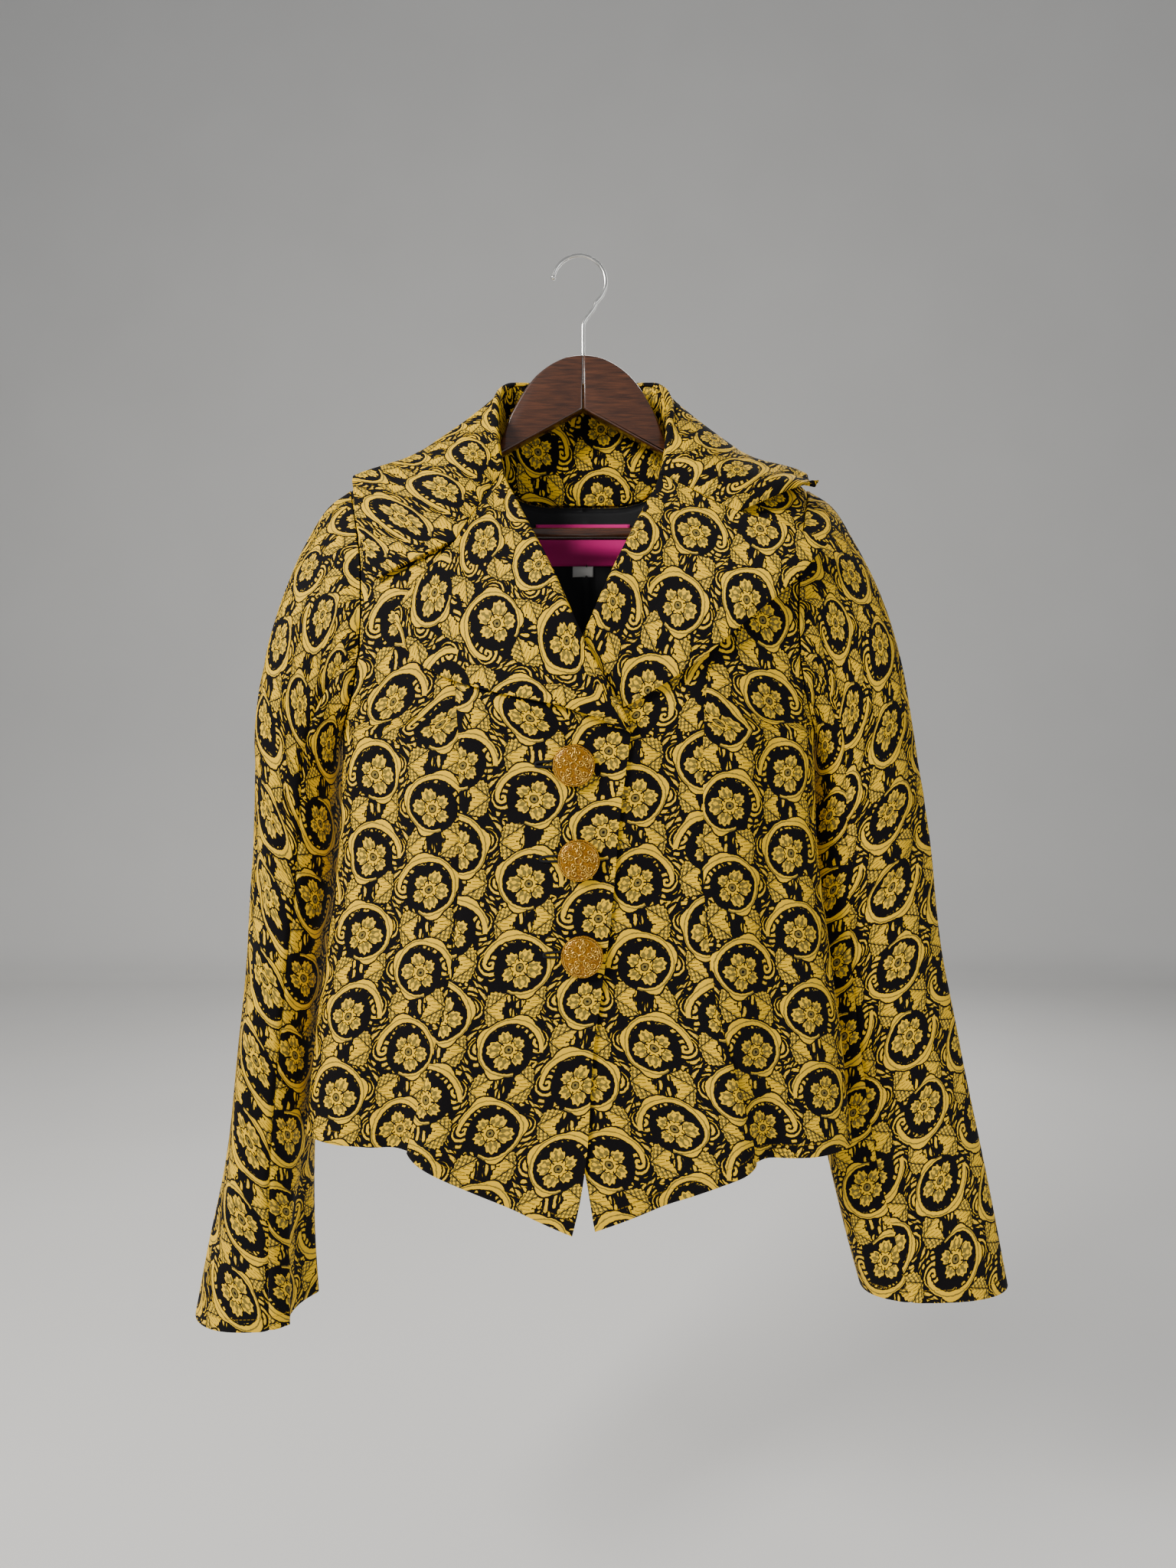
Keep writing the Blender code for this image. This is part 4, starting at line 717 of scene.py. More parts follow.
    def lap_rise(self, side: int, height: float, turn: float) -> float:
        """The buttonhole front stands off the button front, and higher over the other lapel's end.

        Args:
            side: The sign of x on this side.
            height: Height, negative below the hook's top.
            turn: Where round the body: 0 in front, 1 at the side, 2 behind.

        Returns:
            How far it stands off, in metres.
        """
        if side == 1 or turn > 1:
            return 0.0
        over_lapel = smooth((height - LAP_OVER_LOW) / LAP_STEP)
        below = 1 - smooth((height - LAP_OVER_HIGH) / LAP_TOP_STEP)
        near_edge = 1 - smooth((self.out_at(height, turn) - LAP_REACH) / LAP_FADE)
        return near_edge * below * mix(FRONT_LAP_RISE, LAPEL_LAP_RISE, over_lapel)

    def front(self, side: int, height: float, turn: float, rise: float = 0.0) -> Vector:
        """Outer cloth of a front, with the lap of the closure."""
        return self.point(side, height, turn, rise + self.lap_rise(side, height, turn))

    def level(self, point: Vector) -> float:
        """A measure that is 0 on the plain surface and grows outwards.

        Args:
            point: The point.

        Returns:
            The measure.
        """
        height = min(max(point.z, self.low_z), self.high_z)
        reach = min(abs(point.x) / self.half_width(height), 1.0)
        across = abs(point.x - CENTRE_X * (1 - reach * reach)) / self.half_width(height)
        along = point.y - self.side_y(height)
        square = FRONT_SQUARE if along < 0 else BACK_SQUARE
        depth = self.front_depth(height) if along < 0 else self.back_depth(height)
        return (across**square + (along / depth) ** 2) ** (1 / square) - 1

    def distance(self, point: Vector) -> tuple[float, Vector]:
        """About how far a point is outside the plain surface, and the direction away from it.

        Args:
            point: The point.

        Returns:
            The distance and the direction.
        """
        axes = [Vector(axis) * SURFACE_STEP for axis in ((1, 0, 0), (0, 1, 0), (0, 0, 1))]
        slope = Vector([(self.level(point + a) - self.level(point - a)) / (2 * SURFACE_STEP) for a in axes])
        size = max(slope.length, 1e-6)
        return self.level(point) / size, slope / size

    def keep_clear(self, point: Vector, gap: float) -> Vector:
        """The point, moved away from the body until it is gap outside it.

        Args:
            point: The point.
            gap: How far outside the plain surface it has to be.

        Returns:
            The moved point.
        """
        point = point.copy()
        for _ in range(CLEAR_STEPS):
            distance, away = self.distance(point)
            if distance >= gap:
                break
            point += away * (gap - distance)
        return point

    def run(
        self, low: float, high: float, profile: Profile, share: float, back: bool = False
    ) -> tuple[float, float]:
        """A place on an edge curve, as its height and turn, at a share of the way up."""
        height = mix(low, high, share)
        return height, self.turn_at(profile(height), height, back)

    def princess_edge(self, side: int, share: float) -> tuple[float, float]:
        """The princess seam; half the share is the part below the underarm.

        Args:
            side: The sign of x on this side.
            share: Share of the way along the edge, from 0 to 1.

        Returns:
            The height and the turn.
        """
        if share <= 0.5:
            return self.run(HEM_Z[side], UNDERARM_Z, self.princess, share * 2)
        top = self.ridge_height(PRINCESS_TOP_X)
        return self.run(UNDERARM_Z, top, self.princess, share * 2 - 1)

    def side_edge(self, side: int, share: float, back: bool = False) -> tuple[float, float]:
        """The side seam up to the underarm, then the front or the back of the armhole.

        Args:
            side: The sign of x on this side.
            share: Share of the way along the edge, from 0 to 1.
            back: Whether the edge is the back panel's.

        Returns:
            The height and the turn.
        """
        if share <= 0.5:
            return mix(HEM_Z[side], UNDERARM_Z, share * 2), 1.0
        armhole = self.armhole_back if back else self.armhole_front
        return self.run(UNDERARM_Z, SHOULDER_TIP_Z, armhole, share * 2 - 1, back)

    def centre_front_edge(self, side: int, share: float) -> tuple[float, float]:
        """The front edge up to the break, then the roll line up to the neck point.

        Args:
            side: The sign of x on this side.
            share: Share of the way along the edge, from 0 to 1.

        Returns:
            The height and the turn.
        """
        if share <= 0.5:
            return self.run(HEM_POINT_Z[side], BREAK_Z, self.front_edge[side], share * 2)
        return self.run(BREAK_Z, NECK_POINT_Z, self.roll_line, share * 2 - 1)

    def centre_back_edge(self, _: int, share: float) -> tuple[float, float]:
        """The centre back seam, which is the same on both sides.

        Args:
            share: Share of the way along the edge, from 0 to 1.

        Returns:
            The height and the turn.
        """
        if share <= 0.5:
            return mix(BACK_HEM_Z, UNDERARM_Z, share * 2), 2.0
        return mix(UNDERARM_Z, BACK_NECKLINE[0][2], share * 2 - 1), 2.0

    def shoulder_edge(self, start: float, end: float, share: float) -> tuple[float, float]:
        """Along the shoulder ridge between two distances out."""
        return self.ridge_height(mix(start, end, share)), 1.0

    def back_top_edge(self, _: int, share: float) -> tuple[float, float]:
        """Back neckline from the centre back to the neck point, then the shoulder ridge to its tip.

        Args:
            share: Share of the way along the edge, from 0 to 1.

        Returns:
            The height and the turn.
        """
        if share <= BACK_NECK_SHARE:
            part = abs(share) / BACK_NECK_SHARE
            height = self.back_neck_z(part)
            return height, self.turn_at(self.back_neck_out(part), height, True)
        part = (share - BACK_NECK_SHARE) / (1 - BACK_NECK_SHARE)
        return self.shoulder_edge(self.half_width(NECK_POINT_Z), self.half_width(SHOULDER_TIP_Z), part)


class SleeveForm:
    """The outer cloth of one sleeve: rings from the armhole to the cuff."""

    def __init__(self, body: BodyForm, side: int) -> None:
        """Turns the sleeve's rings into curves.

        Args:
            body: The body that the sleeve is set into.
            side: The sign of x on the sleeve's side.
        """
        self.body = body
        self.side = side
        rings = SLEEVE_RINGS[side]
        self.rows = {name: Profile([(r.along, getattr(r, name)) for r in rings]) for name in Ring._fields[1:]}

    @lru_cache(maxsize=None)
    def frame(self, along: float) -> tuple[Vector, Vector, Vector, Vector]:
        """Middle of a ring, its half axes across and from back to front, and the way out of its plane.

        Args:
            along: Share of the way down the sleeve.

        Returns:
            The middle, the two half axes and the direction.
        """
        row = {name: profile(along) for name, profile in self.rows.items()}
        outer = Vector((self.side * row["outer_x"], row["middle_y"], row["outer_z"]))
        inner = Vector((self.side * row["inner_x"], row["middle_y"], row["inner_z"]))
        across = (outer - inner) / 2
        depth = Vector((0, -row["half_depth"], 0))
        return (outer + inner) / 2, across, depth, across.cross(depth).normalized()

    @lru_cache(maxsize=None)
    def armhole(self, phi: float) -> tuple[Vector, Vector]:
        """The edge of the armhole and the way out of the body there; phi is 0 at the shoulder.

        Args:
            phi: The angle round the sleeve, 0 at the shoulder.

        Returns:
            The place on the edge, and the direction.
        """
        height = mix(SHOULDER_TIP_Z, UNDERARM_Z, (1 - math.cos(phi)) / 2)
        if math.sin(phi) >= 0:
            turn = self.body.turn_at(self.body.armhole_front(height), height)
        else:
            turn = self.body.turn_at(self.body.armhole_back(height), height, True)
        return self.body.point(self.side, height, turn), self.body.normal(self.side, height, turn)

    def raw_point(self, along: float, phi: float) -> Vector:
        """A point of the ring, drawn towards the armhole near the top.

        Args:
            along: Share of the way down the sleeve.
            phi: The angle round the sleeve, 0 at the shoulder.

        Returns:
            The point.
        """
        middle, across, depth, away = self.frame(along)
        bow = 2 / SLEEVE_SQUARE
        u = math.copysign(abs(math.cos(phi)) ** bow, math.cos(phi))
        v = math.copysign(abs(math.sin(phi)) ** bow, math.sin(phi))
        share = smooth(along / ARMHOLE_FADE)
        w = 0.0
        if share < 1:
            start, start_across, start_depth, start_away = self.frame(0.0)
            offset = self.armhole(phi)[0] - start
            u = mix(offset.dot(start_across) / start_across.length_squared, u, share)
            v = mix(offset.dot(start_depth) / start_depth.length_squared, v, share)
            w = mix(offset.dot(start_away), 0.0, share)
        return middle + across * u + depth * v + away * w

    def fold(self, along: float, phi: float) -> float:
        """How far the creases move the cloth out.

        Args:
            along: Share of the way down the sleeve.
            phi: The angle round the sleeve, 0 at the shoulder.

        Returns:
            The distance, in metres.
        """
        rise = 0.0
        for fold in SLEEVE_FOLDS:
            gap = math.remainder(phi - fold.phi, math.tau)
            far = (along - fold.along - FOLD_SLANT * fold.slant * gap) / fold.length
            if fold.side == self.side and abs(far) < FOLD_REACH:
                rise += fold.depth * bump(far) * bump(gap / fold.width / FOLD_ROUND)
        cap = bump((along - CAP_ALONG) / CAP_SPAN) * max(0.0, math.cos(phi)) * CAP_PUFF
        slow = math.sin(9 * along + 2 * phi) * math.sin(23 * along - phi + self.side)
        return rise + cap + SLEEVE_RIPPLE * slow

    def point(self, along: float, phi: float) -> Vector:
        """A point of the outer cloth, clear of the body.

        Args:
            along: Share of the way down the sleeve.
            phi: The angle round the sleeve, 0 at the shoulder.

        Returns:
            The point.
        """
        if along == 0.0:
            edge, normal = self.armhole(phi)
            into_hole = (self.frame(0.0)[0] - edge).normalized()
            return edge + (normal + into_hole) * ARMHOLE_GAP
        gap = mix(ARMHOLE_GAP, BODY_CLEARANCE, min(along / CLEARANCE_FADE, 1.0))
        point = self.raw_point(along, phi) + self.normal(along, phi) * self.fold(along, phi)
        return self.body.keep_clear(point, gap)

    def normal(self, along: float, phi: float) -> Vector:
        """The way out of the uncreased sleeve.

        Args:
            along: Share of the way down the sleeve.
            phi: The angle round the sleeve, 0 at the shoulder.

        Returns:
            The direction, of length 1.
        """
        along = max(along, SMALL)
        down = self.raw_point(along + 2 * SMALL, phi) - self.raw_point(along - SMALL / 2, phi)
        round_it = self.raw_point(along, phi + 0.02) - self.raw_point(along, phi - 0.02)
        return (down.cross(round_it) * -self.side).normalized()


class FlapForm:
    """The turned-back cloth of a front: the roll of the lapel and the collar, and the lapel itself."""

    def __init__(self, body: BodyForm) -> None:
        """Keeps the body that the flap lies on.

        Args:
            body: The jacket's body.
        """
        self.body = body
        self.lapel_height = {s: Profile([(e.along, e.height) for e in LAPEL_EDGE[s]]) for s in (-1, 1)}
        self.lapel_out = {s: Profile([(e.along, e.out) for e in LAPEL_EDGE[s]]) for s in (-1, 1)}
        self.roll = {}
        for side in (-1, 1):
            gorge = self.lapel_roll(side, GORGE_ROLL_Z)
            places = [(p.along, (CENTRE_X + side * p.out, p.y, p.height)) for p in COLLAR_ROLL]
            places.append((1.0, tuple(gorge[0])))
            self.roll[side] = [Profile([(a, place[k]) for a, place in places]) for k in range(3)], gorge[1]

    def radius(self, height: float) -> float:
        """Middle radius of a roll, tighter towards the break."""
        return mix(ROLL_RADIUS_LOW, ROLL_RADIUS, smooth((height - BREAK_Z) / ROLL_GROWTH))

    def rise(self, side: int, share: float, height: float) -> float:
        """How far the outside of a flap is off the front; share is 0 at the roll and 1 at the edge.

        Args:
            side: The sign of x on this side.
            share: Share of the way from the roll to the free edge.
            height: Height, negative below the hook's top.

        Returns:
            The distance, in metres.
        """
        at_roll = 2 * self.radius(height) - CLOTH / 2 + DOUBLE_CLOTH / 2
        flat = LAPEL_GAP + DOUBLE_CLOTH
        outward = smooth((share - LIFT_START) / (1 - LIFT_START))
        lift = LAPEL_LIFT[side] * outward * smooth((height - LIFT_LOW) / LIFT_STEP)
        return mix(at_roll, flat, smooth(share / ROLL_FLAT)) + lift

    def wave(self, side: int, share: float, spot: float) -> float:
        """The soft waviness of a flap's free edge."""
        strength = FLAP_WAVE[side] * smooth((share - WAVE_START) / (1 - WAVE_START))
        return strength * (1 + math.sin(spot * WAVE_COUNT + side * 1.3))

    def lapel_roll(self, side: int, height: float) -> tuple[Vector, Vector]:
        """Axis of the lapel's roll at a height, and the way out of the cloth there.

        Args:
            side: The sign of x on this side.
            height: Height, negative below the hook's top.

        Returns:
            The place on the axis, and the direction.
        """
        turn = self.body.turn_at(self.body.roll_line(height), height)
        normal = self.body.normal(side, height, turn)
        edge = self.body.front(side, height, turn)
        return edge + normal * (self.radius(height) - CLOTH / 2), normal

    def collar_roll(self, side: int, along: float) -> tuple[Vector, Vector]:
        """Axis of the collar's roll from the centre back at 0, and the way out of the neck.

        Args:
            side: The sign of x on this side.
            along: From 0 at the centre back to 1 at the gorge.

        Returns:
            The place on the axis, and the direction.
        """
        profiles, gorge_normal = self.roll[side]
        point = Vector([profile(along) for profile in profiles])
        radial = (point - Vector((CENTRE_X, NECK_AXIS_Y, point.z))).normalized()
        turning = smooth((along - STAND_END) / (1 - STAND_END))
        return point, radial.lerp(gorge_normal, turning).normalized()

    def roll_frame(self, side: int, spot: float, place: Callable) -> tuple[Vector, Vector, Vector]:
        """Axis, outward normal and upward direction of a roll at a spot along it.

        Args:
            side: The sign of x on this side.
            spot: A height on the lapel, or a share along the collar.
            place: lapel_roll or collar_roll.

        Returns:
            The place on the axis and the two directions.
        """
        point, normal = place(side, spot)
        tangent = (place(side, spot + SMALL)[0] - place(side, spot - SMALL)[0]).normalized()
        up = normal.cross(tangent) * side
        normal = tangent.cross(up) * side
        return point, normal.normalized(), up.normalized()

    def lapel_frame(self, side: int, height: float) -> tuple[Vector, Vector, Vector]:
        """Frame of the lapel's roll, with up pointing out of the neck."""
        point, normal, up = self.roll_frame(side, height, self.lapel_roll)
        return point, normal, -up if up.x * side > 0 else up

    def rolled(self, frame: tuple[Vector, Vector, Vector], radius: float, share: float) -> Vector:
        """Outer cloth on a roll; share runs from -1 at its foot to 0 where the flap leaves it.

        Args:
            frame: The roll's axis and its two directions.
            radius: The roll's middle radius.
            share: From -1 at the foot to 0.

        Returns:
            The point.
        """
        point, normal, up = frame
        angle = math.pi * (1 + share)
        away = up * math.sin(angle) - normal * math.cos(angle)
        return point + up * ROLL_GAP + away * (radius + DOUBLE_CLOTH / 2)

    def gorge(self, side: int, end: tuple[float, float], share: float, shift: float) -> tuple[float, float]:
        """From the roll to the notch and on to a tip, as a distance out and a height.

        Args:
            side: The sign of x on this side.
            end: The tip's distance out and height.
            share: Share of the way from the roll to the tip.
            shift: How far the line is moved across itself.

        Returns:
            The distance out and the height.
        """
        start = self.body.roll_line(GORGE_ROLL_Z), GORGE_ROLL_Z
        corner = NOTCH[side]
        if share <= NOTCH_SHARE:
            part = share / NOTCH_SHARE
            out, height = mix(start[0], corner[0], part), mix(start[1], corner[1], part)
        else:
            part = (share - NOTCH_SHARE) / (1 - NOTCH_SHARE)
            out, height = mix(corner[0], end[0], part), mix(corner[1], end[1], part)
        return out + shift * GORGE_ACROSS[0], height + shift * GORGE_ACROSS[1]

    def lapel(self, side: int, across: float, up: float) -> Vector:
        """Outer cloth of a lapel; across is negative on its roll.

        Args:
            side: The sign of x on this side.
            across: From -1 at the foot of the roll to 1 at the free edge.
            up: Share of the way up the piece.

        Returns:
            The point.
        """
        height = mix(LAPEL_START_Z[side], GORGE_ROLL_Z, up)
        if across < 0:
            return self.rolled(self.lapel_frame(side, height), self.radius(height), across)

        def roll(share: float) -> tuple[float, float]:
            """The roll line, as a height and a distance out."""
            level = mix(LAPEL_START_Z[side], GORGE_ROLL_Z, share)
            return level, self.body.roll_line(level)

        def edge(share: float) -> tuple[float, float]:
            """The lapel's outer edge."""
            return self.lapel_height[side](share), self.lapel_out[side](share)

        def bottom(share: float) -> tuple[float, float]:
            """The foot of the lapel."""
            low, high = roll(0.0), edge(0.0)
            return mix(low[0], high[0], share), mix(low[1], high[1], share)

        def top(share: float) -> tuple[float, float]:
            """The gorge seam, then the lapel's top edge."""
            out, level = self.gorge(side, LAPEL_TIP[side], share, -SEAM_GAP)
            return level, out

        height, out = patch((roll, edge, bottom, top), across, up)
        turn = self.body.turn_at(out, height)
        rise = self.rise(side, across, height) + self.wave(side, across, up * 0.6)
        return self.body.front(side, height, turn, rise)


class CollarForm:
    """The collar on one side of the centre back, from its roll to its outer edge."""

    def __init__(self, flap: FlapForm, side: int) -> None:
        """Works out the collar's outer edge.

        Args:
            flap: The rolls and the lapels that the collar joins.
            side: The sign of x on this side.
        """
        self.flap = flap
        self.body = flap.body
        self.side = side
        body = self.body
        ridge = body.ridge_height(RIDGE_CROSSING_X)
        rows = [(1.0, self.on_front(1.0))]
        rows.append((RIDGE_CROSSING, body.point(side, ridge, 1.0, flap.rise(side, 0.6, ridge))))
        for edge in COLLAR_EDGE[side]:
            turn = body.turn_at(edge.out, edge.height, edge.back)
            rise = LAPEL_GAP + DOUBLE_CLOTH if edge.back else flap.rise(side, 1.0, edge.height)
            rows.append((edge.along, body.point(side, edge.height, turn, rise)))
        self.edge = [Profile([(a, point[k]) for a, point in rows]) for k in range(3)]
        self.first = self.frame(1.0)

    def on_front(self, share: float) -> Vector:
        """The front end of the collar: the gorge up to the notch, then its own leading edge.

        Args:
            share: Share of the way from the roll to the tip.

        Returns:
            The point.
        """
        out, height = self.flap.gorge(self.side, COLLAR_TIP[self.side], share, SEAM_GAP)
        turn = self.body.turn_at(out, height)
        return self.body.front(self.side, height, turn, self.flap.rise(self.side, share, height))

    def frame(self, along: float) -> tuple[Vector, Vector, Vector]:
        """Axis, outward normal and upward direction of the collar's roll.

        Args:
            along: From 0 at the centre back to 1 at the gorge.

        Returns:
            The place on the axis and the two directions.
        """
        if along > 0.99:
            point, normal, up = self.flap.lapel_frame(self.side, GORGE_ROLL_Z)
            start = self.flap.lapel_roll(self.side, GORGE_ROLL_Z)[0]
            onward = self.flap.lapel_roll(self.side, GORGE_ROLL_Z + SMALL)[0] - start
            return point + onward.normalized() * 2 * SEAM_GAP, normal, up
        point, normal, up = self.flap.roll_frame(self.side, along, self.flap.collar_roll)
        return point, normal, -up if up.z < 0 else up

    def fall(self, along: float, share: float) -> Vector:
        """Outer cloth of the fall; share is negative on the roll.

        Args:
            along: From 0 at the centre back to 1 at the gorge.
            share: From -1 at the foot of the roll to 1 at the outer edge.

        Returns:
            The point.
        """
        frame = self.frame(along)
        if share < 0:
            return self.flap.rolled(frame, ROLL_RADIUS, share)
        point, normal, _ = frame
        reach = ROLL_RADIUS + DOUBLE_CLOTH / 2
        end = Vector([profile(along) for profile in self.edge])
        ruled = (point + normal * reach).lerp(end, share)
        pull = smooth((along - PULL_START) / (1 - PULL_START)) ** PULL_POWER
        if pull > 0:
            plain = (self.first[0] + self.first[1] * reach).lerp(self.on_front(1.0), share)
            ruled += (self.on_front(share) - plain) * pull
        ruled += normal * COLLAR_BULGE * 4 * share * (1 - share) * (1 - pull)
        if share == 0:
            return ruled
        gap = self.flap.rise(-1, share, GORGE_ROLL_Z) + COLLAR_EASE * (1 - pull)
        gap += self.flap.wave(self.side, share, along) * smooth((along - 0.1) / 0.3)
        return self.body.keep_clear(ruled, gap)

    def stand(self, along: float, up: float) -> Vector:
        """Outer cloth of the stand, from just inside the back neck seam up to the foot of the roll.

        Args:
            along: From 0 at the centre back.
            up: Share of the way up the piece.

        Returns:
            The point.
        """
        body = self.body
        point, normal, _ = self.frame(along)
        share = along / STAND_END * BACK_NECK_SHARE
        steps = (-min(STAND_STEP, share), 0, STAND_STEP)
        seam = [body.point(self.side, *body.back_top_edge(self.side, share + step)) for step in steps]
        cloth_normal = body.normal(self.side, *body.back_top_edge(self.side, share))
        head = point - normal * ROLL_RADIUS
        onward = cloth_normal.cross(seam[2] - seam[0]).normalized()
        rising = (head - seam[1]).normalized()
        if onward.dot(rising) < 0:
            onward = -onward
        lean = math.sqrt(max(0.0, 1 - onward.dot(rising) ** 2))
        foot = seam[1] - cloth_normal * CLOTH / 2 + onward * (STAND_FOOT + DOUBLE_CLOTH / 2 * lean)
        return foot.lerp(head, up) + normal * DOUBLE_CLOTH / 2


def patch(edges: tuple[Curve, Curve, Curve, Curve], across: float, up: float) -> tuple[float, float]:
    """A place inside four edge curves: left, right, bottom and top.

    Args:
        edges: The four curves, each a function of a share.
        across: Share of the way from left to right.
        up: Share of the way from bottom to top.

    Returns:
        The pair of numbers that the curves hold, worked out inside them.
    """
    left, right, bottom, top = edges
    low, high, start, end = bottom(across), top(across), left(up), right(up)
    corners = left(0.0), left(1.0), right(0.0), right(1.0)
    place = []
    for k in range(2):
        ruled = mix(low[k], high[k], up) + mix(start[k], end[k], across)
        left_side, right_side = mix(corners[0][k], corners[1][k], up), mix(corners[2][k], corners[3][k], up)
        place.append(ruled - mix(left_side, right_side, across))
    return place[0], place[1]


def placed(name: str, data: bpy.types.ID, *finishes: bpy.types.Material) -> bpy.types.Object:
    """Puts data in the scene as an object at the origin.

    Args:
        name: The object's name.
        data: Its mesh, curve, lamp or camera.
        finishes: Its materials, in the order of its material slots.

    Returns:
        The object.
    """
    obj = bpy.data.objects.new(name, data)
    bpy.context.scene.collection.objects.link(obj)
    for finish in finishes:
        data.materials.append(finish)
    return obj


def mesh_piece(
    name: str, shape: bmesh.types.BMesh, *finishes: bpy.types.Material, sharp: float = 0.0
) -> bpy.types.Object:
    """Makes a smooth-shaded object of a bmesh, and frees the bmesh.

    Args:
        name: The object's name.
        shape: The finished bmesh.
        finishes: Its materials.
        sharp: Edges that turn by more than this many degrees stay sharp; 0 leaves all smooth.

    Returns:
        The object.
    """
    mesh = bpy.data.meshes.new(name)
    shape.to_mesh(mesh)
    shape.free()
    mesh.shade_smooth()
    if sharp:
        mesh.set_sharp_from_angle(angle=math.radians(sharp))
    return placed(name, mesh, *finishes)


@dataclass
class ClothGrid:
    """One cut piece of cloth, laid as a grid on its surface and given its thickness.

    Its UV map is the flat cut in metres, u across and v up, measured along the cloth.
    """

    name: str
    place: Place
    columns: list[float]
    rows: list[float]
    thickness: float = CLOTH
    grain: float = 0.5
    base: float = 0.5
    cut_from: tuple[float, float] = (0.0, 0.0)
    turn_grain: float = 0.0
    hem: str = ""
    edge_radius: float = 0.0006
    outward: Vector | None = None
    flat: tuple[float, float] = field(default=(0.0, 0.0), init=False)
    area: float = field(default=0.0, init=False)

    def lengths(self, points: list[list[Vector]]) -> list[list[tuple[float, float]]]:
        """Flat place of each node, measured along the cloth.

        Args:
            points: The grid's places, row by row.

        Returns:
            For each place, u along its row from the grain column and v up its column from the base row.
        """
        middle = min(range(len(self.columns)), key=lambda i: abs(self.columns[i] - self.grain))
        start = min(range(len(self.rows)), key=lambda j: abs(self.rows[j] - self.base))
        across = []
        for row in points:
            run = [0.0]
            for here, there in zip(row, row[1:]):
                run.append(run[-1] + (there - here).length)
            across.append([x - run[middle] for x in run])
        upward = []
        for i in range(len(self.columns)):
            run = [0.0]
            for j in range(1, len(self.rows)):
                run.append(run[-1] + (points[j][i] - points[j - 1][i]).length)
            upward.append([x - run[start] for x in run])
        return [[(x, upward[i][j]) for i, x in enumerate(row)] for j, row in enumerate(across)]

    def build(self, cloth: bpy.types.Material, inside: bpy.types.Material) -> bpy.types.Object:
        """Makes the piece.

        Args:
            cloth: The finish of the outside and the edges.
            inside: The finish of the inside.

        Returns:
            The finished object, at the origin.
        """
        points = [[self.place(across, up) for across in self.columns] for up in self.rows]
        flat = self.lengths(points)
        shape = bmesh.new()
        wide, high = len(self.columns) - 1, len(self.rows) - 1
        bmesh.ops.create_grid(shape, x_segments=wide, y_segments=high, size=1.0)
        uv = shape.loops.layers.uv.new("cut")
        hem = shape.verts.layers.float.new("from_hem")
        cell = {v: (round((v.co.x + 1) / 2 * wide), round((v.co.y + 1) / 2 * high)) for v in shape.verts}
        for vert, (i, j) in cell.items():
            vert.co = points[j][i]
        turn = complex(math.cos(self.turn_grain), math.sin(self.turn_grain))
        for face in shape.faces:
            for loop in face.loops:
                i, j = cell[loop.vert]
                spot = complex(*flat[j][i]) * turn + complex(*self.cut_from)
                loop[uv].uv = (spot.real, spot.imag)
        for vert, (i, j) in cell.items():
            vert[hem] = self.from_hem(i, j, flat)
        shape.normal_update()
        centre = points[high // 2][wide // 2]
        middle = min(shape.faces, key=lambda face: (face.calc_center_median() - centre).length)
        if self.outward is not None and middle.normal.dot(self.outward) < 0:
            bmesh.ops.reverse_faces(shape, faces=shape.faces)
        self.area = sum(face.calc_area() for face in shape.faces)
        us = [u for row in flat for u, _ in row]
        vs = [v for row in flat for _, v in row]
        self.flat = (max(us) - min(us), max(vs) - min(vs))
        obj = mesh_piece(self.name, shape, cloth, inside)
        self.thicken(obj)
        return obj

    def from_hem(self, i: int, j: int, flat: list[list[tuple[float, float]]]) -> float:
        """A node's distance from the turned-up edge, in millimetres, for the line of stitches.

        Args:
            i: The node's column.
            j: The node's row.
            flat: The flat places, row by row.

        Returns:
            The distance, or a long one where no edge is turned up.
        """
        if self.hem == "bottom":
            return (flat[j][i][1] - flat[0][i][1]) * 1000
        if self.hem == "top":
            return (flat[-1][i][1] - flat[j][i][1]) * 1000
        return FAR_FROM_HEM

    def thicken(self, obj: bpy.types.Object) -> None:
        """Gives the cloth its thickness inwards and rounds its cut edges.

        Args:
            obj: The piece.
        """
        wall = obj.modifiers.new("thickness", "SOLIDIFY")
        wall.thickness = self.thickness
        wall.offset = -1.0
        wall.use_even_offset = False
        wall.material_offset = 1
        wall.material_offset_rim = 0
        if self.edge_radius > 0:
            soft = obj.modifiers.new("soft_edge", "BEVEL")
            soft.width = self.edge_radius
            soft.segments = 2
            soft.profile = 0.5
            soft.limit_method = "ANGLE"
            soft.angle_limit = CLOTH_CORNER


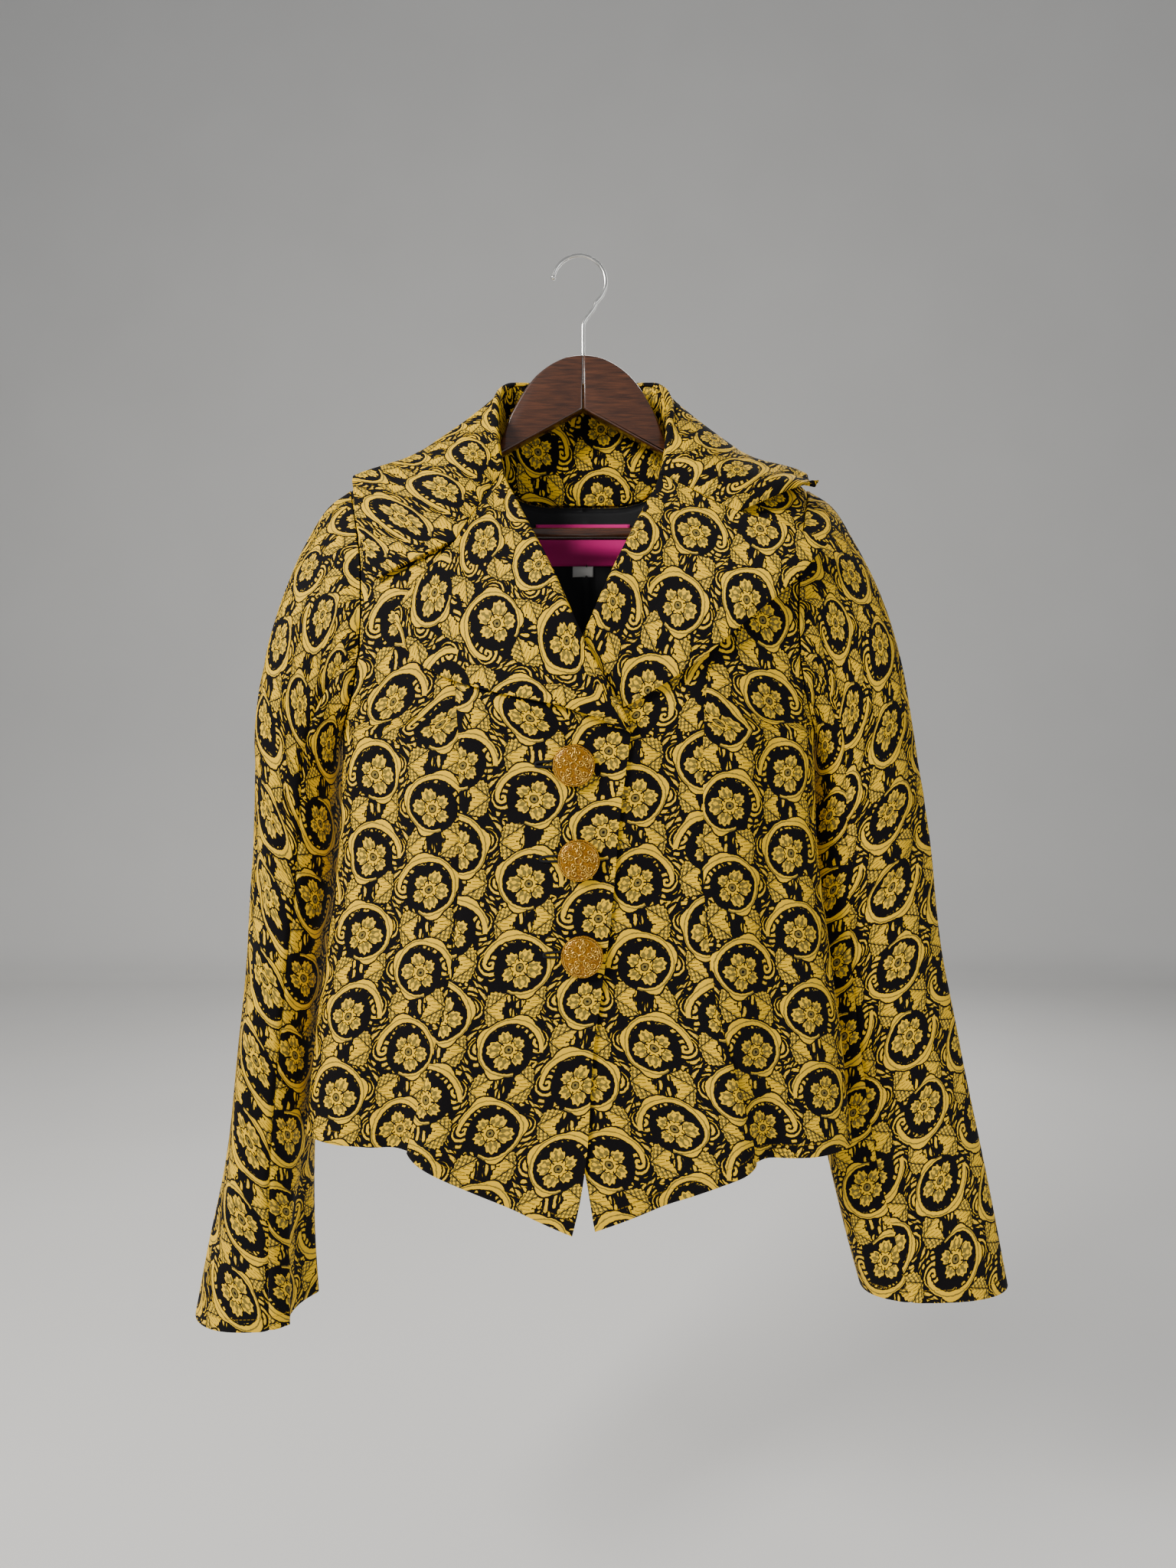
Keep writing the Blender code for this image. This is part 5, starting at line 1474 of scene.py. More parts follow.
class PanelForm:
    """One panel of the body inside its four edge curves, with its seams drawn in."""

    def __init__(self, body: BodyForm, side: int, cut: Cut, edges: tuple[Curve, Curve, Curve, Curve]) -> None:
        """Keeps the panel's edges.

        Args:
            body: The body that the panel is cut from.
            side: The sign of x on the panel's side.
            cut: Which panel of that side it is.
            edges: Its left, right, bottom and top edge curves, each giving a height and a turn.
        """
        self.body = body
        self.side = side
        self.cut = cut
        self.edges = edges
        self.back = edges[0](0.5)[1] > 1
        self.straight = tuple(self.in_out(curve) for curve in edges)

    def in_out(self, curve: Curve) -> Curve:
        """The same curve with distance from the centre line in place of the turn.

        Args:
            curve: An edge curve that gives a height and a turn.

        Returns:
            The new curve.
        """

        def line(share: float) -> tuple[float, float]:
            """A place on the curve, as a height and a distance out."""
            height, turn = curve(share)
            return height, self.body.out_at(height, turn)

        return line

    def seam_shape(self, far: float) -> float:
        """A seam's groove and the soft ridge beside it, at a distance from the seam."""
        return SEAM_RIDGE * bump((far - RIDGE_OFFSET) / RIDGE_WIDTH) - SEAM_DIP * bump(far / GROOVE_WIDTH)

    def seams(self, across: float, up: float) -> float:
        """How far the seams round the panel move the cloth.

        Args:
            across: Share of the way across the piece.
            up: Share of the way up the piece.

        Returns:
            The distance, in metres.
        """
        start, end = self.edges[0](up)[1], self.edges[1](up)[1]
        span = abs(end - start) * TURN_LENGTH
        rise = self.seam_shape((1 - across) * span)
        if self.cut is not Cut.FRONT:
            rise += self.seam_shape(across * span)
        if up > 0.5:
            rise += self.seam_shape((1 - up) * UPPER_LENGTH)
        return rise

    def hem_step(self, across: float, height: float) -> float:
        """The front stands over the side panel where the princess seam opens into a pleat at the hem.

        Args:
            across: Share of the way across the piece.
            height: Height, negative below the hook's top.

        Returns:
            The distance, in metres.
        """
        low = 1 - smooth((height - PLEAT_LOW_Z) / PLEAT_RISE)
        reach = PLEAT_SHARE.get(self.cut.value, 1.0)
        if self.cut is Cut.FRONT:
            return PLEAT_LIFT * low * smooth((across - 1 + reach) / reach)
        if self.cut is Cut.SIDE_FRONT:
            return -PLEAT_LIFT / 3 * low * smooth((reach - across) / reach)
        return 0.0

    def place(self, across: float, up: float) -> Vector:
        """A point of the outer cloth.

        Args:
            across: Share of the way across the piece.
            up: Share of the way up the piece.

        Returns:
            The point.
        """
        height, turn = patch(self.edges, across, up)
        if 0 < across < 1 and 0 < up < 1:
            out = patch(self.straight, across, up)[1]
            share = smooth((up - 0.5) / STRAIGHT_BLEND)
            turn = mix(turn, self.body.turn_at(out, height, self.back), share)
        rise = self.seams(across, up) + self.hem_step(across, height)
        return self.body.front(self.side, height, turn, rise)


def hem_between(left: Curve, right: Curve) -> Curve:
    """The hem of a panel between the feet of its two side edges.

    Args:
        left: The panel's left edge curve.
        right: The panel's right edge curve.

    Returns:
        The hem as a curve.
    """
    low, high = left(0.0), right(0.0)

    def line(share: float) -> tuple[float, float]:
        """A place on the hem."""
        return mix(low[0], high[0], share), mix(low[1], high[1], share)

    return line


def ridge_rows(low: int, high: int) -> list[float]:
    """Shares of the way up a panel: even below the underarm and closer towards the shoulder ridge.

    Args:
        low: Rows of cells below the underarm.
        high: Rows of cells above it.

    Returns:
        The shares, from 0 at the hem to 1 at the shoulder.
    """
    below = [share / 2 for share in spread(low)]
    above = [0.5 + 0.5 * (1 - (1 - share) ** RIDGE_CROWDING) for share in spread(high)]
    return below + above[1:]


@dataclass(frozen=True)
class Cloths:
    """The finishes of the cloth pieces."""

    jacquard: bpy.types.Material
    lining: bpy.types.Material
    satin: bpy.types.Material
    tape: bpy.types.Material


def register(piece: bpy.types.Object, node: str, slot: str) -> None:
    """Ties a piece to the body and hides the solid that it stands for.

    Args:
        piece: The finished object.
        node: The CAD node that it replaces.
        slot: Not used.
    """
    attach(piece, "root")
    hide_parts(node)


def register_sheet(piece: bpy.types.Object, cloth: ClothGrid, node: str, slot: str, tag: tuple = ()) -> None:
    """Ties a cloth piece as register does, and states its flat cut.

    Args:
        piece: The finished object.
        cloth: The grid that it was built from.
        node: The CAD node that it replaces.
        slot: The material slot's name, passed on to register.
        tag: Not used.
    """
    register(piece, node, slot)
    wide, long = cloth.flat
    min(cloth.area, wide * long)
    log.info("%s: flat %.3f x %.3f m, cloth %.4f m2", piece.name, wide, long, cloth.area)


@dataclass
class BodyPanels:
    """The six panels of the jacket's body."""

    body: BodyForm
    front_columns: int = 40
    side_columns: int = 30
    back_columns: int = 46
    low_rows: int = 62
    high_rows: int = 40

    def panel(self, side: int, cut: Cut) -> PanelForm:
        """The form of one panel.

        Args:
            side: The sign of x on this side.
            cut: Which panel it is.

        Returns:
            The form.
        """
        body = self.body
        neck, tip = body.half_width(NECK_POINT_Z), body.half_width(SHOULDER_TIP_Z)

        if cut is Cut.FRONT:
            left, right = partial(body.centre_front_edge, side), partial(body.princess_edge, side)
            top = partial(body.shoulder_edge, neck, PRINCESS_TOP_X)
        elif cut is Cut.SIDE_FRONT:
            left, right = partial(body.princess_edge, side), partial(body.side_edge, side)
            top = partial(body.shoulder_edge, PRINCESS_TOP_X, tip)
        else:
            left, right = partial(body.centre_back_edge, side), partial(body.side_edge, side, back=True)
            top = partial(body.back_top_edge, side)
        return PanelForm(body, side, cut, (left, right, hem_between(left, right), top))

    def build(self, cloths: Cloths) -> None:
        """Makes the panels.

        Args:
            cloths: The finishes of the cloth.
        """
        counts = {
            Cut.FRONT: self.front_columns,
            Cut.SIDE_FRONT: self.side_columns,
            Cut.BACK: self.back_columns,
        }
        for side in Side:
            for cut, count in counts.items():
                form = self.panel(side.value, cut)
                node = f"{cut.value}_{side.word}"
                cloth = ClothGrid(
                    name=f"{node}_cloth",
                    place=form.place,
                    columns=crowded(count),
                    rows=ridge_rows(self.low_rows, self.high_rows),
                    cut_from=(
                        CUT_OFFSETS[cut.value] + CUT_SIDE_SHIFT[0] * side.value,
                        CUT_SIDE_SHIFT[1] * side.value,
                    ),
                    hem="bottom",
                    outward=Vector((0, 1, 0)) if cut is Cut.BACK else Vector((0, -1, 0)),
                )
                piece = cloth.build(cloths.jacquard, cloths.lining)
                register_sheet(piece, cloth, node, "jacquard")


@dataclass
class Sleeves:
    """Both sleeves, each of an upper and an under piece."""

    body: BodyForm
    upper_columns: int = 60
    under_columns: int = 30
    rows: int = 110

    def build(self, cloths: Cloths) -> None:
        """Makes the four pieces.

        Args:
            cloths: The finishes of the cloth.
        """
        counts = {"upper": self.upper_columns, "under": self.under_columns}
        along = [share**CAP_CROWDING for share in spread(self.rows)]
        for side in Side:
            form = SleeveForm(self.body, side.value)
            for part, (first, last) in SLEEVE_ANGLES.items():

                def place(across: float, up: float, ends: tuple = (first, last)) -> Vector:
                    """A point of the sleeve, drawn in beside its two long seams."""
                    phi = mix(*ends, across)
                    far = min(across, 1 - across) * (ends[1] - ends[0]) * SLEEVE_RADIUS
                    ridge = SEAM_RIDGE * bump((far - SLEEVE_RIDGE_OFFSET) / SLEEVE_RIDGE_WIDTH)
                    dip = SEAM_DIP * bump(far / GROOVE_WIDTH) - ridge
                    return form.point(up, phi) - form.normal(up, phi) * dip * smooth(up / 0.02)

                reach = 1 if part == "upper" else -1
                cloth = ClothGrid(
                    name=f"sleeve_{part}_{side.word}_cloth",
                    place=place,
                    columns=crowded(counts[part]),
                    rows=along,
                    base=0.35,
                    cut_from=(SLEEVE_CUT[0] + SLEEVE_CUT[1] * reach, SLEEVE_CUT[2] * side.value),
                    hem="top",
                    outward=Vector((side.value * reach, 0, 0)),
                )
                piece = cloth.build(cloths.jacquard, cloths.lining)
                register_sheet(piece, cloth, f"sleeve_{part}_{side.word}", "jacquard")


@dataclass
class Lapels:
    """The two turned-back lapels."""

    flap: FlapForm
    roll_columns: int = 12
    columns: int = 36
    rows: int = 70

    def build(self, cloths: Cloths) -> None:
        """Makes the lapels.

        Args:
            cloths: The finishes of the cloth.
        """
        across = [share - 1 for share in spread(self.roll_columns)][:-1] + spread(self.columns)
        for side in Side:
            cloth = ClothGrid(
                name=f"lapel_{side.word}_cloth",
                place=lambda u, v, s=side.value: self.flap.lapel(s, u, v),
                columns=across,
                rows=crowded(self.rows),
                thickness=DOUBLE_CLOTH,
                cut_from=(LAPEL_CUT[0] + LAPEL_CUT[1] * side.value, LAPEL_CUT[2]),
                turn_grain=side.value * LAPEL_TURN,
                edge_radius=THICK_EDGE,
                outward=Vector((0, -1, 0)),
            )
            piece = cloth.build(cloths.jacquard, cloths.jacquard)
            register_sheet(piece, cloth, f"lapel_{side.word}", "jacquard")


@dataclass
class Collar:
    """The collar's fall and stand."""

    flap: FlapForm
    roll_rows: int = 12
    fall_rows: int = 34
    half_columns: int = 60
    stand_columns: int = 36
    stand_rows: int = 12

    def build(self, cloths: Cloths) -> None:
        """Makes the fall and the stand.

        Args:
            cloths: The finishes of the cloth.
        """
        sides = {side: CollarForm(self.flap, side) for side in (-1, 1)}

        def fall(across: float, share: float) -> Vector:
            """A point of the fall; across runs from -1 to 1 round the neck."""
            return sides[1 if across > 0 else -1].fall(abs(across), share)

        def stand(across: float, up: float) -> Vector:
            """A point of the stand."""
            return sides[1 if across > 0 else -1].stand(abs(across), up)

        half = spread(self.half_columns)
        cloth = ClothGrid(
            name="collar_fall_cloth",
            place=fall,
            columns=[-share for share in reversed(half)] + half[1:],
            rows=[share - 1 for share in spread(self.roll_rows)][:-1] + spread(self.fall_rows),
            thickness=DOUBLE_CLOTH,
            grain=0.0,
            cut_from=COLLAR_CUT,
            edge_radius=THICK_EDGE,
            outward=Vector((0, 1, 0)),
        )
        piece = cloth.build(cloths.jacquard, cloths.jacquard)
        register_sheet(piece, cloth, "collar_fall", "jacquard")
        half = [share * STAND_END for share in spread(self.stand_columns)]
        cloth = ClothGrid(
            name="collar_stand_cloth",
            place=stand,
            columns=[-share for share in reversed(half)] + half[1:],
            rows=spread(self.stand_rows),
            thickness=DOUBLE_CLOTH,
            grain=0.0,
            cut_from=STAND_CUT,
            outward=Vector((0, 1, 0)),
        )
        piece = cloth.build(cloths.jacquard, cloths.jacquard)
        register_sheet(piece, cloth, "collar_stand", "jacquard")


@dataclass
class BackLining:
    """The black lining that shows inside the back, with the bare label and tag sewn to it."""

    body: BodyForm
    out: float = 0.066
    bottom_z: float = -0.400
    drop: float = 0.0040
    gap: float = 0.0008
    pleat_x: float = 0.003
    pleat_rise: float = 0.0016
    crease_width: float = 0.0011
    crease_depth: float = 0.0005
    sag: float = 0.0007
    label_slack: float = 0.0012
    label_width: float = 0.082
    label_top_z: float = -0.2190
    label_bottom_z: float = -0.2555
    tag_width: float = 0.018
    tag_bottom_z: float = -0.2650

    def neck_share(self, out: float) -> float:
        """Share along the back neckline at a distance from the centre line.

        Args:
            out: Distance from the centre line.

        Returns:
            The share.
        """
        low, high = 0.0, 1.0
        for _ in range(SEARCH_STEPS):
            middle = (low + high) / 2
            low, high = (middle, high) if self.body.back_neck_out(middle) < out else (low, middle)
        return low

    def inside(self, out: float, height: float, depth: float) -> Vector:
        """A point that lies a depth inside the back's outer cloth."""
        turn = self.body.turn_at(abs(out), height, True)
        return self.body.point(1 if out > 0 else -1, height, turn, -depth)

    def lining(self, across: float, up: float) -> Vector:
        """Outer side of the lining, with the soft pleat down its centre.

        Args:
            across: Share of the way across the piece.
            up: Share of the way up the piece.

        Returns:
            The point.
        """
        out = mix(-self.out, self.out, across)
        top = self.body.back_neck_z(self.neck_share(abs(out))) - self.drop
        height = mix(self.bottom_z, top, up)
        pleat = self.pleat_rise * bump((out - self.pleat_x) / self.pleat_x) * smooth((1 - up) / 0.15)
        pleat -= self.crease_depth * bump(out / self.crease_width)
        sag = self.sag * math.sin(out * 150 + height * 40) * smooth((1 - up) / 0.3)
        return self.inside(out, height, CLOTH + self.gap + max(pleat + abs(sag), 0.0))

    def patch(self, width: float, low: float, high: float) -> Place:
        """A small patch on the lining.

        Args:
            width: Its width.
            low: Height of its foot.
            high: Height of its top.

        Returns:
            Its surface, as a function of two shares.
        """
        depth = CLOTH + LINING_CLOTH + self.gap + SEAM_GAP

        def place(across: float, up: float) -> Vector:
            """A point of the patch, a little slack in the middle.

            Args:
                across: Share of the way across the piece.
                up: Share of the way up the piece.

            Returns:
                The point.
            """
            middle = 0.4 + 0.6 * math.sin(math.pi * across) ** 2
            slack = self.label_slack * math.sin(math.pi * up) * middle
            return self.inside(mix(-width / 2, width / 2, across), mix(low, high, up), depth + slack)

        return place

    def build(self, cloths: Cloths) -> None:
        """Makes the lining, the label and the tag.

        Args:
            cloths: The finishes of the cloth.
        """
        inward = Vector((0, -1, 0))
        label = self.patch(self.label_width, self.label_bottom_z, self.label_top_z)
        tag = self.patch(self.tag_width, self.tag_bottom_z, self.label_bottom_z - SEAM_GAP)
        rows = [
            ("size_tag", tag, 12, 8, LABEL_CLOTH, "tape", cloths.tape),
            ("label", label, 30, 16, LABEL_CLOTH, "label_satin", cloths.satin),
            ("lining_back", self.lining, 44, 60, LINING_CLOTH, "lining", cloths.lining),
        ]
        sewn = ()
        for node, place, columns, high, thickness, slot, finish in rows:
            cloth = ClothGrid(
                name=f"{node}_cloth",
                place=place,
                columns=spread(columns),
                rows=spread(high),
                thickness=thickness,
                edge_radius=0.0,
                outward=inward,
            )
            piece = cloth.build(finish, finish)
            if node == "size_tag":
                register(piece, node, slot)
                sewn = (piece,)
            else:
                register_sheet(piece, cloth, node, slot, sewn if node == "label" else ())


# A button's filigree: each scroll's distance from the middle, lean, size and hand, five times round
SCROLLS = [
    (0.0056, 0.00, 0.0025, 1),
    (0.0098, 0.30, 0.0026, 1),
    (0.0098, -0.30, 0.0026, -1),
    (0.0122, 0.00, 0.0013, 1),
]
# Its shell from the shank to the seat of the dome, in shares of its radius and of its rim's height
SHELL = [(0.86, 0.0), (0.97, 0.2), (1.0, 0.6), (0.985, 1.1), (0.955, 1.35), (0.925, 1.25), (0.905, 0.95)]
SHELL += [(0.0, 0.9)]


@dataclass
class Buttons:
    """Three domed buttons of gilt filigree over amber glitter, and their corded buttonholes."""

    body: BodyForm
    radius: float = 0.01525
    height: float = 0.0046
    rim: float = 0.0016
    shank_radius: float = 0.0030
    shank_length: float = 0.0022
    gap: float = 0.0005
    wire: float = 0.00048
    hole_length: float = 0.0250
    hole_half_width: float = 0.0020
    hole_offset: tuple[float, float] = (-0.0150, 0.0012)
    hole_tilt: float = 0.0006
    hole_square: float = 0.45
    cord: float = 0.00100
    dome_share: float = 0.90
    dome_bow: float = 0.96
    filigree_share: float = 0.88
    scroll_turns: float = 1.35
    scroll_shrink: float = 0.75
    bead: float = 0.00042
    bead_share: float = 0.955
    beads: int = 48

    def seat(self, x: float, height: float, rise: float) -> tuple[Vector, Vector]:
        """A point of the buttonhole front at an x and a height, and the way out there."""
        turn = self.body.turn_at(CENTRE_X - x, height)
        return self.body.front(-1, height, turn, rise), self.body.normal(-1, height, turn)

    def dome(self, r: float) -> float:
        """Height of the glitter dome above the button's foot, at a distance from its axis.

        Args:
            r: Distance from the button's axis.

        Returns:
            The height.
        """
        share = min(r / (self.radius * self.dome_share), 1.0)
        top = self.shank_length + self.height - 0.0004
        fall = self.height - self.rim - 0.0002
        return top - fall * (1 - math.sqrt(max(0.0, 1 - share * share * self.dome_bow)))

    def petals(self) -> list[list[Vector]]:
        """Filigree on the dome: rings of spiral scrolls and small loops, each a line of points.

        Returns:
            The lines.
        """
        lines = []
        for k in range(5):
            angle = math.tau * (k + 0.25) / 5
            for reach, lean, size, hand in SCROLLS:
                way = angle + lean
                middle = Vector((reach * math.cos(way), reach * math.sin(way), 0))
                line = []
                for share in spread(30):
                    turn = way + math.pi + hand * share * math.tau * self.scroll_turns
                    reached = size * (1 - self.scroll_shrink * share)
                    spot = middle + Vector((math.cos(turn), math.sin(turn), 0)) * reached
                    far = min(spot.length, self.radius * self.filigree_share)
                    spot.z = self.dome(far) + self.wire * 0.5
                    line.append(spot)
                lines.append(line)
        for ring, ripples in ((0.0026, 5), (0.0134, 25)):
            loop = []
            for share in spread(100):
                turn = math.tau * share
                r = ring * (1 + 0.02 * math.sin(ripples * turn))
                loop.append(Vector((r * math.cos(turn), r * math.sin(turn), self.dome(r) + self.wire * 0.4)))
            lines.append(loop)
        return lines

    def build(self, gilt: bpy.types.Material, glitter: bpy.types.Material, cord: bpy.types.Material) -> None:
        """Makes the buttons and buttonholes.

        Args:
            gilt: The finish of the shells and the filigree.
            glitter: The finish of the domes under the filigree.
            cord: The finish of the buttonholes' cords.
        """
        r, low, rim = self.radius, self.shank_length, self.rim
        shell = [(0.0, 0.0), (self.shank_radius, 0.0), (self.shank_radius, low)]
        shell += [(r * out, low + rim * up) for out, up in SHELL]
        dome = [(r * self.dome_share * s, self.dome(r * self.dome_share * s)) for s in reversed(spread(14))]
        bead_ring = [math.tau * k / self.beads for k in range(self.beads)]
        bead_out, bead_up = r * self.bead_share, low + rim * 1.35
        beads = [Vector((bead_out * math.cos(a), bead_out * math.sin(a), bead_up)) for a in bead_ring]
        for word, (x, height) in BUTTON_PLACES.items():
            place, normal = self.seat(x, height, self.gap)
            turn = normal.to_track_quat("Z", "Y").to_matrix().to_4x4()
            turn.translation = place
            node = f"button_{word}"
            for part, profile, finish in (("shell", shell, gilt), ("dome", dome, glitter)):
                piece = turned(f"{node}_{part}", profile, 72, finish)
                piece.data.transform(turn)
                register(piece, node, "gilt_metal")
            lines = [[turn @ spot for spot in line] for line in self.petals()]
            register(wire_piece(f"{node}_filigree", lines, self.wire, gilt), node, "gilt_metal")
            ring = bead_piece(f"{node}_beads", [turn @ bead for bead in beads], self.bead, gilt)
            register(ring, node, "gilt_metal")
            register(self.buttonhole(word, x, height, cord), "front_right", "lining")

    def buttonhole(self, word: str, x: float, height: float, cord: bpy.types.Material) -> bpy.types.Object:
        """One corded buttonhole: a closed cord round its slit, from beyond the button to under it.

        Args:
            word: The button's name.
            x: The button's x.
            height: Height, negative below the hook's top.
            cord: The finish of the cord.

        Returns:
            The cord.
        """
        line = []
        for share in spread(48):
            turn = math.tau * share
            along = math.cos(turn)
            across = math.copysign(abs(math.sin(turn)) ** self.hole_square, math.sin(turn))
            spot_x = x + self.hole_offset[0] + along * self.hole_length / 2
            spot_z = height + self.hole_offset[1] + across * self.hole_half_width
            line.append(self.seat(spot_x, spot_z + self.hole_tilt * along, self.cord * 0.35)[0])
        return wire_piece(f"buttonhole_{word}_cord", [line], self.cord, cord)


def turned(
    name: str, profile: list[tuple[float, float]], steps: int, finish: bpy.types.Material
) -> bpy.types.Object:
    """A surface turned round Z.

    Args:
        name: The object's name.
        profile: Its (radius, height) pairs.
        steps: How many steps make a full turn.
        finish: Its material.

    Returns:
        The object.
    """
    shape = bmesh.new()
    points = [shape.verts.new((radius, 0, height)) for radius, height in profile]
    line = points + [shape.edges.new(pair) for pair in zip(points, points[1:])]
    axis = (0, 0, 1)
    bmesh.ops.spin(shape, geom=line, cent=(0, 0, 0), axis=axis, angle=math.tau, steps=steps, use_merge=True)
    bmesh.ops.remove_doubles(shape, verts=shape.verts, dist=1e-7)
    bmesh.ops.recalc_face_normals(shape, faces=shape.faces)
    top = max(shape.faces, key=lambda face: face.calc_center_median().z)
    if top.normal.z < 0:
        bmesh.ops.reverse_faces(shape, faces=shape.faces)
    return mesh_piece(name, shape, finish, sharp=50)


def wire_piece(name: str, lines: list, radius: float, finish: bpy.types.Material) -> bpy.types.Object:
    """Round wires or cords along lines of points.

    Args:
        name: The object's name.
        lines: Each line's points.
        radius: The wire's radius.
        finish: Its material.

    Returns:
        The curve object.
    """
    curve = bpy.data.curves.new(name, "CURVE")
    curve.dimensions = "3D"
    curve.bevel_depth = radius
    curve.bevel_resolution = 2
    curve.use_fill_caps = True
    for line in lines:
        spline = curve.splines.new("POLY")
        closed = (line[0] - line[-1]).length < radius
        points = line[:-1] if closed else line
        spline.points.add(len(points) - 1)
        for place, point in zip(spline.points, points):
            place.co = (*point, 1)
        spline.use_cyclic_u = closed
    return placed(name, curve, finish)


def bead_piece(
    name: str, places: list[Vector], radius: float, finish: bpy.types.Material
) -> bpy.types.Object:
    """Small round beads.

    Args:
        name: The object's name.
        places: The middle of each bead.
        radius: Their radius.
        finish: Their material.

    Returns:
        The object.
    """
    shape = bmesh.new()
    for place in places:
        made = bmesh.ops.create_icosphere(shape, subdivisions=2, radius=radius)
        bmesh.ops.translate(shape, verts=made["verts"], vec=place)
    return mesh_piece(name, shape, finish)


@dataclass
class Hanger:
    """The wooden hanger: two arms, the trouser bar and the wire hook."""

    thickness: float = 0.0110
    edge_radius: float = 0.0022
    centre_x: float = 0.0032
    notch_z: float = -0.1300
    lower_slope: float = 0.549
    end_out: float = 0.172
    bar_radius: float = 0.0050
    bar_z: float = -0.2337
    bar_reach: float = 0.1620
    foot_drop: float = 0.0095
    wire_radius: float = 0.0016
    hook_radius: float = 0.0223
    bend_z: float = -0.0580
    tip_angle: float = 171.0
    end_angle: float = -52.0
    wire_end_z: float = -0.0838
    tip_ball: float = 1.35
    joint_gap: float = 0.00015
    bar_chamfer: float = 0.0006

    def outline(self, side: int) -> list[tuple[float, float]]:
        """The arm's outline, as distances out and heights.

        Args:
            side: The sign of x on this side.

        Returns:
            The outline's places, once round.
        """
        arch = Profile([(edge.out, edge.height) for edge in ARCH])
        seat = Profile([(ARCH[-1].out, ARCH[-1].height), *zip(SEAT_OUT[side], SEAT_Z[side])])
        points = [(out, arch(out)) for out in (mix(0.0, ARCH[-1].out, s) for s in spread(26))]
        points += [(out, seat(out)) for out in (mix(ARCH[-1].out, self.end_out, s) for s in spread(30)[1:])]
        foot = self.bar_z - self.foot_drop
        points += [(self.end_out, foot), (self.bar_reach, foot)]
        lower = [mix(self.bar_reach, 0.0, share) for share in spread(24)]
        return points + [(out, self.notch_z - out * self.lower_slope) for out in lower]

    def arm(self, side: Side, wood: bpy.types.Material) -> None:
        """One wooden half.

        Args:
            side: Which half.
            wood: The finish of the wood.
        """
        shape = bmesh.new()
        rim = [(side.value * max(out, self.joint_gap), height) for out, height in self.outline(side.value)]
        front = -self.thickness / 2
        face = shape.faces.new([shape.verts.new((self.centre_x + x, front, z)) for x, z in rim])
        pushed = bmesh.ops.extrude_face_region(shape, geom=[face])
        moved = [v for v in pushed["geom"] if isinstance(v, bmesh.types.BMVert)]
        bmesh.ops.translate(shape, verts=moved, vec=(0, self.thickness, 0))
        bmesh.ops.recalc_face_normals(shape, faces=shape.faces)
        rims = [e for e in shape.edges if abs(e.verts[0].co.y - e.verts[1].co.y) < 1e-6]
        bmesh.ops.bevel(
            shape, geom=rims, offset=self.edge_radius, segments=4, profile=0.5, affect="EDGES", material=-1
        )
        bmesh.ops.recalc_face_normals(shape, faces=shape.faces)
        node = f"hanger_arm_{side.word}"
        register(mesh_piece(f"{node}_wood", shape, wood, sharp=35), node, "dark_wood")

    def bar(self, wood: bpy.types.Material) -> None:
        """The trouser bar.

        Args:
            wood: The finish of the wood.
        """
        reach, r = self.bar_reach, self.bar_radius
        inner = reach - self.bar_chamfer
        profile = [(0.0, -reach), (r * 0.9, -reach)]
        profile += [(r, mix(-inner, inner, share)) for share in spread(8)]
        profile += [(r * 0.9, reach), (0.0, reach)]
        rod = turned("trouser_bar_wood", profile, 48, wood)
        for vert in rod.data.vertices:
            x, y, z = vert.co
            vert.co = (self.centre_x + z, y, self.bar_z - x)
        register(rod, "trouser_bar", "dark_wood")

    def hook(self, steel: bpy.types.Material) -> None:
        """The wire hook, with its small round tip.

        Args:
            steel: The finish of the wire.
        """
        centre_z = self.wire_radius - self.hook_radius
        points = []
        for share in spread(64):
            angle = math.radians(mix(self.tip_angle, self.end_angle, share))
            across, up = self.hook_radius * math.cos(angle), self.hook_radius * math.sin(angle)
            points.append(Vector((across, 0, centre_z + up)))
        last = points[-1]
        for share in spread(16)[1:]:
            x = mix(last.x, self.centre_x, smooth(share))
            points.append(Vector((x, 0, mix(last.z, self.bend_z, share))))
        points.append(Vector((self.centre_x, 0, self.wire_end_z)))
        wire = wire_piece("hook_wire", [points], self.wire_radius, steel)
        wire.data.bevel_resolution = 6
        register(wire, "hook", "steel_wire")
        ball = bead_piece("hook_tip_ball", [points[0]], self.wire_radius * self.tip_ball, steel)
        register(ball, "hook", "steel_wire")

    def build(self, wood: bpy.types.Material, steel: bpy.types.Material) -> None:
        """Makes the hanger.

        Args:
            wood: The finish of the wood.
            steel: The finish of the wire.
        """
        for side in Side:
            self.arm(side, wood)
        self.bar(wood)
        self.hook(steel)


